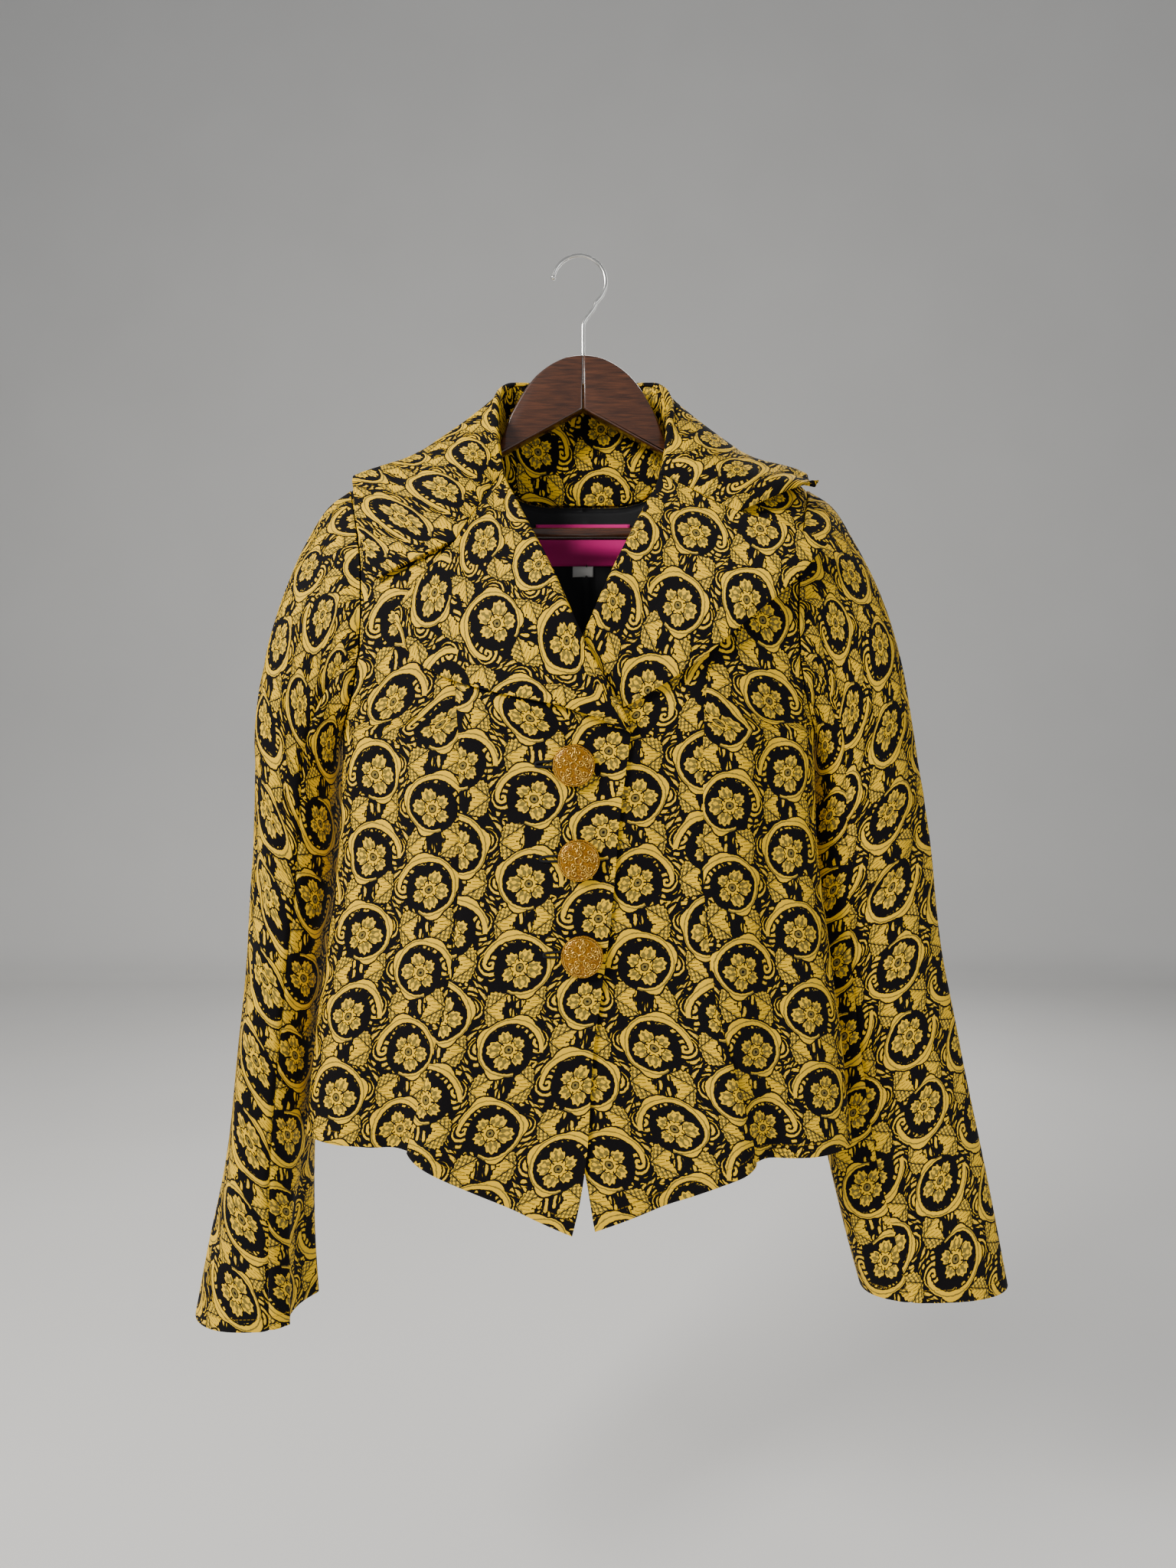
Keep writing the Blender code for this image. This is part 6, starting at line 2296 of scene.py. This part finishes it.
class Field:
    """A number that varies over a surface: the output of a shader node, with arithmetic."""

    def __init__(self, tree: bpy.types.NodeTree, socket: bpy.types.NodeSocket) -> None:
        """Keeps the output.

        Args:
            tree: The node tree that it belongs to.
            socket: The output socket.
        """
        self.tree = tree
        self.socket = socket

    def math(self, operation: str, *others: Field | float, clamp: bool = False) -> Field:
        """The result of a Math node.

        Args:
            operation: The node's operation.
            others: Its other inputs.
            clamp: Whether the result is held between 0 and 1.

        Returns:
            The result.
        """
        node = self.tree.nodes.new("ShaderNodeMath")
        node.operation = operation
        node.use_clamp = clamp
        for slot, value in zip(node.inputs, (self, *others)):
            if isinstance(value, Field):
                self.tree.links.new(value.socket, slot)
            else:
                slot.default_value = value
        return Field(self.tree, node.outputs[0])

    def __add__(self, other: Field | float) -> Field:
        """Sum."""
        return self.math("ADD", other)

    def __sub__(self, other: Field | float) -> Field:
        """Difference."""
        return self.math("SUBTRACT", other)

    def __rsub__(self, other: float) -> Field:
        """A number less this field."""
        return self.math("MULTIPLY_ADD", -1.0, other)

    def __mul__(self, other: Field | float) -> Field:
        """Product."""
        return self.math("MULTIPLY", other)

    def abs(self) -> Field:
        """Size without sign."""
        return self.math("ABSOLUTE")

    def sin(self) -> Field:
        """Sine."""
        return self.math("SINE")

    def cos(self) -> Field:
        """Cosine."""
        return self.math("COSINE")

    def round(self) -> Field:
        """Nearest whole number."""
        return self.math("ROUND")

    def fract(self) -> Field:
        """What is left above the whole number below."""
        return self.math("FRACT")

    def most(self, other: Field | float) -> Field:
        """The larger of two."""
        return self.math("MAXIMUM", other)

    def inside(self) -> Field:
        """1 where this distance is below 0, with a soft edge."""
        return self.math("MULTIPLY_ADD", -1 / EDGE_SOFTNESS, 0.5, clamp=True)

    def beyond(self, gap: float) -> Field:
        """1 where this distance is more than the gap, with a soft edge."""
        return self.math("MULTIPLY_ADD", 1 / EDGE_SOFTNESS, 0.5 - gap / EDGE_SOFTNESS, clamp=True)


class Nodes:
    """Adds and links the nodes of one tree."""

    def __init__(self, tree: bpy.types.NodeTree) -> None:
        """Keeps the tree.

        Args:
            tree: The tree that the nodes go into.
        """
        self.tree = tree

    def node(self, kind: str, **values: object) -> bpy.types.Node:
        """Adds a node with some of its inputs set or linked.

        Args:
            kind: The node's type.
            values: Numbers, colours or sockets for its inputs, by name with _ for a space.

        Returns:
            The node.
        """
        made = self.tree.nodes.new(kind)
        for key, value in values.items():
            self.put(made, key.replace("_", " "), value)
        return made

    def put(self, node: bpy.types.Node, name: str, value: object) -> None:
        """Sets or links one input of a node.

        Args:
            node: The node.
            name: The input's name.
            value: A number, a colour or vector as a tuple, or a socket to link.
        """
        slot = next(s for s in node.inputs if s.name == name and s.enabled)
        if isinstance(value, bpy.types.NodeSocket):
            self.tree.links.new(value, slot)
        elif isinstance(value, tuple) and slot.type == "RGBA":
            slot.default_value = (*value, 1.0)
        else:
            slot.default_value = value

    def flat_cut(self) -> bpy.types.NodeSocket:
        """The place on the flat cut, in metres.

        Returns:
            The socket.
        """
        source = self.tree.nodes.new("ShaderNodeUVMap")
        source.uv_map = "cut"
        return source.outputs["UV"]

    def parts(self, vector: bpy.types.NodeSocket) -> list[Field]:
        """The three numbers of a vector."""
        split = self.node("ShaderNodeSeparateXYZ", Vector=vector)
        return [Field(self.tree, socket) for socket in split.outputs]

    def mapped(
        self, vector: bpy.types.NodeSocket, scale: Triple, turn: float = 0.0
    ) -> bpy.types.NodeSocket:
        """A vector turned about its third axis and scaled."""
        made = self.node("ShaderNodeMapping", Vector=vector, Rotation=(0.0, 0.0, turn), Scale=scale)
        return made.outputs[0]

    def cut_map(self, u: float, v: float) -> bpy.types.NodeSocket:
        """The flat cut scaled across and along."""
        return self.mapped(self.flat_cut(), (u, v, 1.0))

    def noise(
        self, vector: bpy.types.NodeSocket, scale: float, detail: float, output: str = "Fac"
    ) -> bpy.types.NodeSocket:
        """A noise's value, or its colour as a vector."""
        return self.node("ShaderNodeTexNoise", Vector=vector, Scale=scale, Detail=detail).outputs[output]


class Figure(Nodes):
    """The woven flowers, leaves and scrolls, worked out in millimetres on the flat cut.

    The motifs are laid one over the other, and each clears a dark outline round itself. Flowers inside
    spiral scrolls stand in columns that are shifted along the cloth; between two columns runs a wavy vine
    with paired leaves and curls to either side.
    """

    # Leaflets of the ground: cells per metre across and along, their turn, and their distance scale and size
    LEAFLET_CELLS = (150.0, 84.0, 1.0)
    LEAFLET_TURN = math.radians(35)
    LEAFLET = (5.0, 1.7)

    # The vine's swing, half width, its swelling and its vein; the curl's place, radius, pitch and dark line
    VINE_SWING = 8.0
    VINE_HALF = 1.9
    VINE_SWELL = 0.7
    VINE_VEIN = 0.5
    CURL_X = 12.5
    CURL_RADIUS = 8.2
    CURL_PITCH = 4.2
    CURL_LINE = 1.0

    # The leaves' place beside the vine, half width, teeth, midrib, and the step and width of their side veins
    LEAF_SIDE = 7.0
    LEAF_FOOT = 3.0
    LEAF_HALF = 6.0
    LEAF_TOOTH = 1.4
    MIDRIB = 0.38
    VEIN_STEP = 4.2
    VEIN_HALF = 0.26
    VEIN_END = 1.6

    # The ground cleared round a flower; the scroll's radius, growth in a turn, half width, swelling, lobes and
    # the angle at which it ends
    SCROLL_CLEAR = 18.5
    SCROLL_RADIUS = 20.5
    SCROLL_GROWTH = 11.0
    SCROLL_HALF = 1.5
    SCROLL_SWELL = 0.32
    SCROLL_LOBE = 2.8
    SCROLL_END = 1.9

    # The flower's heart, petals, fringe and lean; its inner petals; its eye; the reach of its petals' lines
    FLOWER_HEART = 7.6
    PETAL = 6.4
    PETAL_CURVE = 0.6
    FRINGE = 0.7
    LEAN = 1.5
    INNER_HEART = 5.0
    INNER_PETAL = 2.0
    EYE = 2.7
    EYE_LINE = 2.9
    PUPIL = 1.0
    PETAL_LINES = (4.6, 14.0)

    def __init__(self, tree: bpy.types.NodeTree) -> None:
        """Lays the whole figure.

        Args:
            tree: The node group that the figure is worked out in.
        """
        super().__init__(tree)
        self.cut = self.flat_cut()
        u, v, _ = self.parts(self.cut)
        dx, dy, _ = self.parts(self.noise(self.cut, 24.0, 1.0, "Color"))
        wx, wy, _ = self.parts(self.noise(self.cut, 420.0, 1.0, "Color"))
        self.u = u * 1000 + (dx - 0.5) * DRIFT + (wx - 0.5) * WOBBLE
        self.v = v * 1000 + (dy - 0.5) * DRIFT + (wy - 0.5) * WOBBLE
        self.gold = self.filler()
        self.olive = self.gold * 0.0
        self.place_columns()
        self.vine()
        self.curls()
        self.leaves()
        self.place_flowers()
        self.cut_away(self.r - self.SCROLL_CLEAR)
        self.scroll()
        self.flower()

    def lay(self, distance: Field) -> None:
        """Lays a gold shape, with an outline cleared round it; the distance is below 0 inside it."""
        self.gold = (self.gold * distance.beyond(OUTLINE)).most(distance.inside())
        self.olive = self.olive * distance.beyond(OUTLINE)

    def cut_away(self, distance: Field) -> None:
        """Cuts a dark line or dot."""
        self.gold = self.gold * distance.beyond(0.0)

    def shade(self, distance: Field) -> None:
        """Weaves a part of what is gold in olive."""
        self.olive = self.olive.most(distance.inside())

    def filler(self) -> Field:
        """Small curled leaflets that fill the ground between the motifs.

        Returns:
            1 where there is gold.
        """
        bend = self.tree.nodes.new("ShaderNodeVectorMath")
        bend.operation = "ADD"
        self.tree.links.new(self.mapped(self.cut, self.LEAFLET_CELLS, self.LEAFLET_TURN), bend.inputs[0])
        self.tree.links.new(self.noise(self.cut, 60.0, 2.0, "Color"), bend.inputs[1])
        cells = self.tree.nodes.new("ShaderNodeTexVoronoi")
        cells.voronoi_dimensions = "2D"
        for name, value in (("Vector", bend.outputs[0]), ("Scale", 1.0), ("Randomness", 0.7)):
            self.put(cells, name, value)
        far = Field(self.tree, cells.outputs["Distance"])
        return (far * self.LEAFLET[0] - self.LEAFLET[1]).inside()

    def polar(self, x: Field, y: Field) -> tuple[Field, Field]:
        """Distance from a middle, and the angle round it."""
        return (x * x + y * y).math("SQRT"), y.math("ARCTAN2", x)

    def place_columns(self) -> None:
        """Places within the band between two columns of flowers, and about its nearest leaf centre."""
        column = (self.u * (1 / COLUMN)).math("FLOOR")
        across = self.u - column * COLUMN
        along = self.v - column * COLUMN_SHIFT
        self.vine_off = across - COLUMN / 2
        self.vine_along = along
        step = (along * (1 / LEAF_STEP)).round()
        self.hand = 1.0 - (step * 0.5).fract() * 4.0
        self.leaf_y = along - step * LEAF_STEP
        self.leaf_x = (self.vine_off - self.hand * self.LEAF_SIDE) * self.hand

    def vine(self) -> None:
        """The wavy vine between the columns, with a dark vein."""
        turn = self.vine_along * (math.tau / ROW)
        off = (self.vine_off - turn.cos() * self.VINE_SWING).abs()
        self.lay(off - (turn * 2.0).sin() * self.VINE_SWELL - self.VINE_HALF)
        self.shade((off - self.VINE_VEIN).most((turn * 6.0).sin()))

    def curls(self) -> None:
        """A tight curl opposite each pair of leaves."""
        r, angle = self.polar(self.leaf_x + self.CURL_X, self.leaf_y)
        self.lay(r - self.CURL_RADIUS)
        winding = (r * (1 / self.CURL_PITCH) - angle * (1 / math.tau)).fract() - 0.5
        self.cut_away(winding.abs() * self.CURL_PITCH - self.CURL_LINE)

    def leaves(self) -> None:
        """A pair of toothed leaves with a midrib, side veins and one side hatched in olive."""
        x, y = self.leaf_x + self.LEAF_FOOT, self.leaf_y.abs()
        cos, sin = math.cos(LEAF_ANGLE), math.sin(LEAF_ANGLE)
        along = x * cos + y * sin
        off = y * cos - x * sin
        side = off.abs()
        share = (along * (1 / LEAF_LENGTH)).most(0.0).math("MINIMUM", 1.0)
        width = (share * math.pi).sin() * self.LEAF_HALF + (along * 1.0).sin().abs() * self.LEAF_TOOTH
        self.lay(side - width * (share * math.pi).sin().math("POWER", 0.4))
        patches = (along * 1.5).sin() * (off * 1.6).sin()
        self.shade((patches * 0.8 - 0.12).most(off * -1.0 - 1.4).most(side - width + 0.8))
        self.cut_away(side - self.MIDRIB)
        vein = ((along - side * 1.3) * (1 / self.VEIN_STEP)).fract() - 0.5
        line = vein.abs() * self.VEIN_STEP - self.VEIN_HALF
        self.cut_away(line.most(side - width + self.VEIN_END))

    def place_flowers(self) -> None:
        """Places about the nearest flower, mirrored in every other row."""
        column = (self.u * (1 / COLUMN)).round()
        x = self.u - column * COLUMN
        along = self.v - column * COLUMN_SHIFT
        row = (along * (1 / ROW)).round()
        x = x * (1.0 - (row * 0.5).fract() * 4.0)
        self.r, self.angle = self.polar(x, along - row * ROW)

    def scroll(self) -> None:
        """The leafy scroll that winds once round the flower."""
        off = self.r - (self.angle * (self.SCROLL_GROWTH / math.tau) + self.SCROLL_RADIUS)
        body = self.angle * self.SCROLL_SWELL + self.SCROLL_HALF
        lobes = (self.angle * 4.0).sin().most(0.0) * self.SCROLL_LOBE + body
        end = (self.angle + self.SCROLL_END) * -14.0
        self.lay((off - lobes).most(off * -1.0 - body).most(end))
        self.shade((off - body * 0.5).abs() - 0.45)

    def flower(self) -> None:
        """The five-petalled flower with inner petals and a dark-eyed olive centre."""
        r = self.r
        wave = (self.angle * 2.5).cos().abs()
        lean = self.angle.cos() * self.LEAN
        fringe = (self.angle * 23.0).sin() * self.FRINGE
        outer = wave.math("POWER", self.PETAL_CURVE) * self.PETAL + fringe + lean + self.FLOWER_HEART
        self.lay(r - outer)
        inner = (self.angle * 2.5).sin().abs() * self.INNER_PETAL + self.INNER_HEART
        hatch = (self.angle * 15.0).sin() + (r * 1.3).sin() * 0.8
        self.shade((hatch * 0.5 - 0.15).most(r - outer + 1.5).most(inner - r))
        start, end = self.PETAL_LINES
        self.cut_away((wave * r * 0.4 - 0.55).most(start - r).most(r - end))
        self.cut_away((r - inner).abs() - 0.42)
        self.shade(r - self.EYE)
        self.cut_away((r - self.EYE_LINE).abs() - 0.36)
        self.cut_away(r - self.PUPIL)


class Wiring(Nodes):
    """Adds and links the nodes of one material."""

    def __init__(self, name: str) -> None:
        """Makes the material.

        Args:
            name: Its name.
        """
        self.material = bpy.data.materials.new(name)
        self.material.use_nodes = True
        super().__init__(self.material.node_tree)
        self.shader = self.tree.nodes["Principled BSDF"]

    def set(self, **values: object) -> None:
        """Sets or links inputs of the surface shader."""
        for key, value in values.items():
            self.put(self.shader, key.replace("_", " "), value)

    def object_map(self, x: float, y: float, z: float) -> bpy.types.NodeSocket:
        """The object's own coordinates, in metres, scaled."""
        source = self.tree.nodes.new("ShaderNodeTexCoord")
        return self.mapped(source.outputs["Object"], (x, y, z))

    def between(self, factor: object, low: object, high: object) -> bpy.types.NodeSocket:
        """A mix of two colours.

        Args:
            factor: 0 for the low colour and 1 for the high one, as a number or a socket.
            low: A colour or a socket.
            high: A colour or a socket.

        Returns:
            The mixed colour.
        """
        made = self.tree.nodes.new("ShaderNodeMix")
        made.data_type = "RGBA"
        for name, value in (("Factor", factor), ("A", low), ("B", high)):
            self.put(made, name, value)
        return next(s for s in made.outputs if s.type == "RGBA" and s.enabled)

    def level(self, value: bpy.types.NodeSocket, low: float, high: float) -> bpy.types.NodeSocket:
        """A number moved from 0..1 to low..high."""
        return Field(self.tree, value).math("MULTIPLY_ADD", high - low, low).socket

    def bump(self, height: bpy.types.NodeSocket, distance: float, strength: float = 1.0) -> None:
        """Raises the surface by a height."""
        made = self.node("ShaderNodeBump", Height=height, Distance=distance, Strength=strength)
        self.set(Normal=made.outputs[0])


@dataclass(frozen=True)
class JacquardFinish:
    """Gold and olive figure woven on black."""

    ground: Triple = (0.0030, 0.0022, 0.0027)
    gold: Triple = (0.86, 0.485, 0.004)
    gold_light: Triple = (0.98, 0.62, 0.018)
    olive: Triple = (0.20, 0.145, 0.030)
    faded: float = 0.72
    # How dark the painted shade in the hem's stitch groove is, as a share of the gold
    seam_shade: float = 0.35
    raised: float = 0.00022
    twill: float = 0.0008
    stitch_line: float = 10.0
    stitch_groove: float = 1.1
    stitch_half: float = 0.32
    stitch_length: float = 0.0030

    def group(self) -> bpy.types.NodeTree:
        """The node group of the woven figure.

        Returns:
            The group.
        """
        tree = bpy.data.node_groups.new("jacquard_figure", "ShaderNodeTree")
        for name in ("Gold", "Olive"):
            tree.interface.new_socket(name=name, in_out="OUTPUT", socket_type="NodeSocketFloat")
        out = tree.nodes.new("NodeGroupOutput")
        figure = Figure(tree)
        tree.links.new(figure.gold.socket, out.inputs["Gold"])
        tree.links.new(figure.olive.socket, out.inputs["Olive"])
        return tree

    def build(self) -> bpy.types.Material:
        """Makes the material.

        Returns:
            The material.
        """
        w = Wiring("jacquard_cloth")
        figure = w.tree.nodes.new("ShaderNodeGroup")
        figure.node_tree = self.group()
        gold = Field(w.tree, figure.outputs["Gold"])
        olive = Field(w.tree, figure.outputs["Olive"])
        slub = w.noise(w.cut_map(420.0, 2600.0), 1.0, 2.0)
        cloudy = w.noise(w.cut_map(1.0, 1.0), 9.0, 3.0)
        thread = w.between(slub, self.gold, self.gold_light)
        faded = w.between(w.level(cloudy, -0.25, 0.55), thread, tuple(c * self.faded for c in self.gold))
        figured = w.between(olive.socket, faded, self.olive)
        colour = w.between(gold.socket, self.ground, figured)
        stitch, seam = self.stitches(w)
        # seam is a mask of painted shade in the dashes of the hem's stitch groove; the colour is darkened
        # there
        w.set(Base_Color=w.between(seam.socket, colour, tuple(c * self.seam_shade for c in self.gold)))
        w.set(Roughness=w.level(gold.socket, 0.82, 0.58), Sheen_Weight=0.02, Sheen_Roughness=0.5)
        w.set(Specular_IOR_Level=0.10)
        w.bump((gold * 0.8 + self.weave(w) * 0.22 - stitch * 1.6).socket, self.raised, 0.9)
        return w.material

    def weave(self, w: Wiring) -> Field:
        """The fine twill ribs."""
        u, v, _ = w.parts(w.flat_cut())
        return ((u + v * 0.6) * (math.tau / self.twill)).sin()

    def stitches(self, w: Wiring) -> tuple[Field, Field]:
        """The hem's line of stitches.

        Args:
            w: The material.

        Returns:
            The groove, and the dashed painted shade that darkens the colour in it.
        """
        hem = w.tree.nodes.new("ShaderNodeAttribute")
        hem.attribute_name = "from_hem"
        off = (Field(w.tree, hem.outputs["Fac"]) - self.stitch_line).abs()
        groove = off.math("MULTIPLY_ADD", -1 / self.stitch_groove, 1.0, clamp=True)
        wave = (w.parts(w.flat_cut())[0] * (math.tau / self.stitch_length)).sin() * -1.0
        dash = wave.math("MULTIPLY_ADD", 4.0, 2.6, clamp=True)
        # The second mask is painted shade, in dashes along the groove
        return groove, (off - self.stitch_half).inside() * dash * 0.65


@dataclass(frozen=True)
class ClothFinish:
    """A plain woven cloth: lining satin, label, tape or cord."""

    name: str
    colour: Triple
    shade: Triple
    roughness: float
    sheen: float
    rib: float

    def build(self) -> bpy.types.Material:
        """Makes the material.

        Returns:
            The material.
        """
        w = Wiring(self.name)
        cloudy = w.noise(w.cut_map(1.0, 1.0), 24.0, 3.0)
        thread = w.noise(w.cut_map(300.0, 2400.0), 1.0, 2.0)
        w.set(Base_Color=w.between(w.level(cloudy, 0.1, 0.9), self.colour, self.shade))
        w.set(Roughness=w.level(thread, self.roughness - 0.07, self.roughness + 0.10))
        w.set(Sheen_Weight=self.sheen, Sheen_Roughness=0.4, Specular_IOR_Level=0.22)
        across, along, _ = w.parts(w.flat_cut())
        rib = (across * (math.tau / self.rib)).sin() * 0.5 + (along * (math.tau / self.rib)).sin() * 0.5
        w.bump(rib.socket, 0.00006, 0.6)
        return w.material


@dataclass(frozen=True)
class WornMetal:
    """A metal whose colour and polish vary in small patches: the gilt castings or the plated wire."""

    name: str
    bright: Triple
    dull: Triple
    roughness: tuple[float, float]
    map_scale: float
    noise_scale: float
    relief: float
    strength: float

    def build(self) -> bpy.types.Material:
        """Makes the material.

        Returns:
            The material.
        """
        w = Wiring(self.name)
        worn = w.noise(w.object_map(*[self.map_scale] * 3), self.noise_scale, 3.0)
        w.set(Base_Color=w.between(worn, self.bright, self.dull))
        w.set(Metallic=1.0, Roughness=w.level(worn, *self.roughness))
        w.bump(worn, self.relief, self.strength)
        return w.material


GILT = WornMetal(
    "gilt_filigree", (0.86, 0.53, 0.10), (0.48, 0.26, 0.035), (0.20, 0.40), 1.0, 900.0, 0.00008, 0.5
)
PLATED = WornMetal(
    "plated_wire", (0.62, 0.61, 0.58), (0.80, 0.79, 0.76), (0.14, 0.34), 600.0, 1.0, 0.00004, 0.3
)


@dataclass(frozen=True)
class GlitterFinish:
    """Amber enamel full of small bright flakes."""

    dark: Triple = (0.11, 0.036, 0.0005)
    light: Triple = (0.33, 0.135, 0.001)
    flake: Triple = (0.62, 0.29, 0.004)
    bare_share: float = 0.80
    cells: float = 2400.0

    def build(self) -> bpy.types.Material:
        """Makes the material.

        Returns:
            The material.
        """
        w = Wiring("amber_glitter")
        cells = w.node("ShaderNodeTexVoronoi", Vector=w.object_map(1.0, 1.0, 1.0), Scale=self.cells)
        pick, tone, tilt = w.parts(cells.outputs["Color"])
        flake = pick.math("GREATER_THAN", self.bare_share)
        amber = w.between(tone.socket, self.dark, self.light)
        w.set(Base_Color=w.between(flake.socket, amber, self.flake))
        w.set(Metallic=(flake * 0.6).socket, Roughness=w.level(tilt.socket, 0.18, 0.50))
        w.set(Specular_IOR_Level=0.25)
        w.bump((tone * 0.8 + tilt).socket, 0.00012, 0.8)
        return w.material


@dataclass(frozen=True)
class WoodFinish:
    """Dark stained wood under gloss lacquer."""

    dark: Triple = (0.018, 0.006, 0.003)
    light: Triple = (0.115, 0.036, 0.013)
    pore: Triple = (0.010, 0.004, 0.002)

    def build(self) -> bpy.types.Material:
        """Makes the material.

        Returns:
            The material.
        """
        w = Wiring("lacquered_wood")
        grain = w.noise(w.object_map(7.0, 90.0, 90.0), 6.0, 6.0)
        pores = w.noise(w.object_map(30.0, 900.0, 900.0), 3.0, 2.0)
        stain = w.between(w.level(grain, -0.5, 1.5), self.dark, self.light)
        w.set(Base_Color=w.between(w.level(pores, -1.2, 1.4), stain, self.pore))
        w.set(Roughness=w.level(pores, 0.20, 0.38), Coat_Weight=0.7, Coat_Roughness=0.10)
        w.bump(pores, 0.00010, 0.35)
        return w.material


LINING_SATIN = ClothFinish("lining_satin", (0.0040, 0.0040, 0.005), (0.008, 0.008, 0.009), 0.48, 0.0, 0.0005)
PINK_SATIN = ClothFinish("pink_satin", (0.72, 0.012, 0.225), (0.58, 0.009, 0.17), 0.42, 0.20, 0.0006)
WHITE_TAPE = ClothFinish("white_tape", (0.74, 0.73, 0.70), (0.64, 0.63, 0.60), 0.70, 0.20, 0.0008)
BLACK_CORD = ClothFinish("black_cord", (0.0035, 0.0035, 0.004), (0.007, 0.007, 0.008), 0.72, 0.0, 0.0006)


@dataclass
class Stage:
    """A pale studio: a floor that rises behind, soft lamps and the camera of the photograph."""

    floor_z: float = -1.25
    half_width: float = 6.0
    front_y: float = -6.0
    wall_y: float = 3.2
    length: float = 16.5
    curve: float = 0.6
    aim: Triple = (0.0, 0.0, -0.45)
    sky: Triple = (0.88, 0.90, 0.93)
    sky_strength: float = 0.36
    lens: float = 27.03
    sensor: float = 36.0
    camera_place: Triple = (0.0074, -0.746, -0.4449)

    def backdrop(self) -> None:
        """The floor and the wall that it curves up into."""
        shape = bmesh.new()
        bmesh.ops.create_grid(shape, x_segments=2, y_segments=60, size=1.0)
        for vert in shape.verts:
            along = mix(self.front_y, self.front_y + self.length, (vert.co.y + 1) / 2)
            rise = max(0.0, along - self.wall_y)
            behind = min(along, self.wall_y + self.curve * (1 - bump(rise)))
            vert.co = (vert.co.x * self.half_width, behind, self.floor_z + rise)
        w = Wiring("studio_paper")
        mottle = w.noise(w.object_map(1.0, 1.0, 1.0), 2.0, 2.0)
        w.set(Base_Color=w.between(mottle, (0.70, 0.69, 0.67), (0.76, 0.75, 0.73)), Roughness=0.9)
        floor = mesh_piece("studio_floor", shape, w.material)
        floor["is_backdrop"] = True

    def lamp(self, name: str, place: Triple, size: float, power: float, colour: Triple) -> None:
        """A soft square lamp that points at the jacket.

        Args:
            name: The lamp's name.
            place: Where it stands.
            size: Its side.
            power: Its power in watts.
            colour: Its colour.
        """
        data = bpy.data.lights.new(name, "AREA")
        data.size = size
        data.energy = power
        data.color = colour
        lamp = placed(name, data)
        lamp.location = place
        lamp.rotation_euler = (Vector(self.aim) - Vector(place)).to_track_quat("-Z", "Y").to_euler()

    def build(self) -> None:
        """Sets the floor, the lamps, the sky and the camera."""
        self.backdrop()
        self.lamp("key", (-1.7, -1.5, 0.9), 0.8, 96.0, (1.0, 0.98, 0.94))
        self.lamp("fill", (1.9, -1.5, -0.1), 1.6, 16.0, (0.97, 0.98, 1.0))
        self.lamp("rim", (0.6, 1.9, 0.9), 1.4, 34.0, (1.0, 0.98, 0.95))
        world = bpy.data.worlds.new("studio")
        world.use_nodes = True
        sky = world.node_tree.nodes["Background"]
        sky.inputs["Color"].default_value = (*self.sky, 1.0)
        sky.inputs["Strength"].default_value = self.sky_strength
        bpy.context.scene.world = world
        data = bpy.data.cameras.new("photo_camera")
        data.lens = self.lens
        data.sensor_width = self.sensor
        data.sensor_fit = "HORIZONTAL"
        data.clip_start = 0.01
        data.dof.use_dof = False
        camera = placed("photo_camera", data)
        camera.location = self.camera_place
        camera.rotation_euler = (math.radians(90), 0, 0)
        bpy.context.scene.camera = camera


def corners(box: tuple) -> list[list[float]]:
    """A box's two corners as plain lists of numbers."""
    return [[float(number) for number in corner] for corner in box]


def main() -> None:
    """Builds the jacket, its hanger and the studio."""
    logging.basicConfig(level=logging.INFO, format="%(name)s: %(message)s")
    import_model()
    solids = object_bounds()
    jacquard = JacquardFinish().build()
    cloths = Cloths(jacquard, LINING_SATIN.build(), PINK_SATIN.build(), WHITE_TAPE.build())
    gilt = GILT.build()
    wood = WoodFinish().build()
    body = BodyForm()
    flap = FlapForm(body)
    for part in (BodyPanels(body), Sleeves(body), Lapels(flap), Collar(flap), BackLining(body)):
        part.build(cloths)
    cord = BLACK_CORD.build()
    Buttons(body).build(gilt, GlitterFinish().build(), cord)
    Hanger().build(wood, PLATED.build())
    Stage().build()
    {"solids": corners(solids), "shown": corners(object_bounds())}


if __name__ == "__main__":
    main()
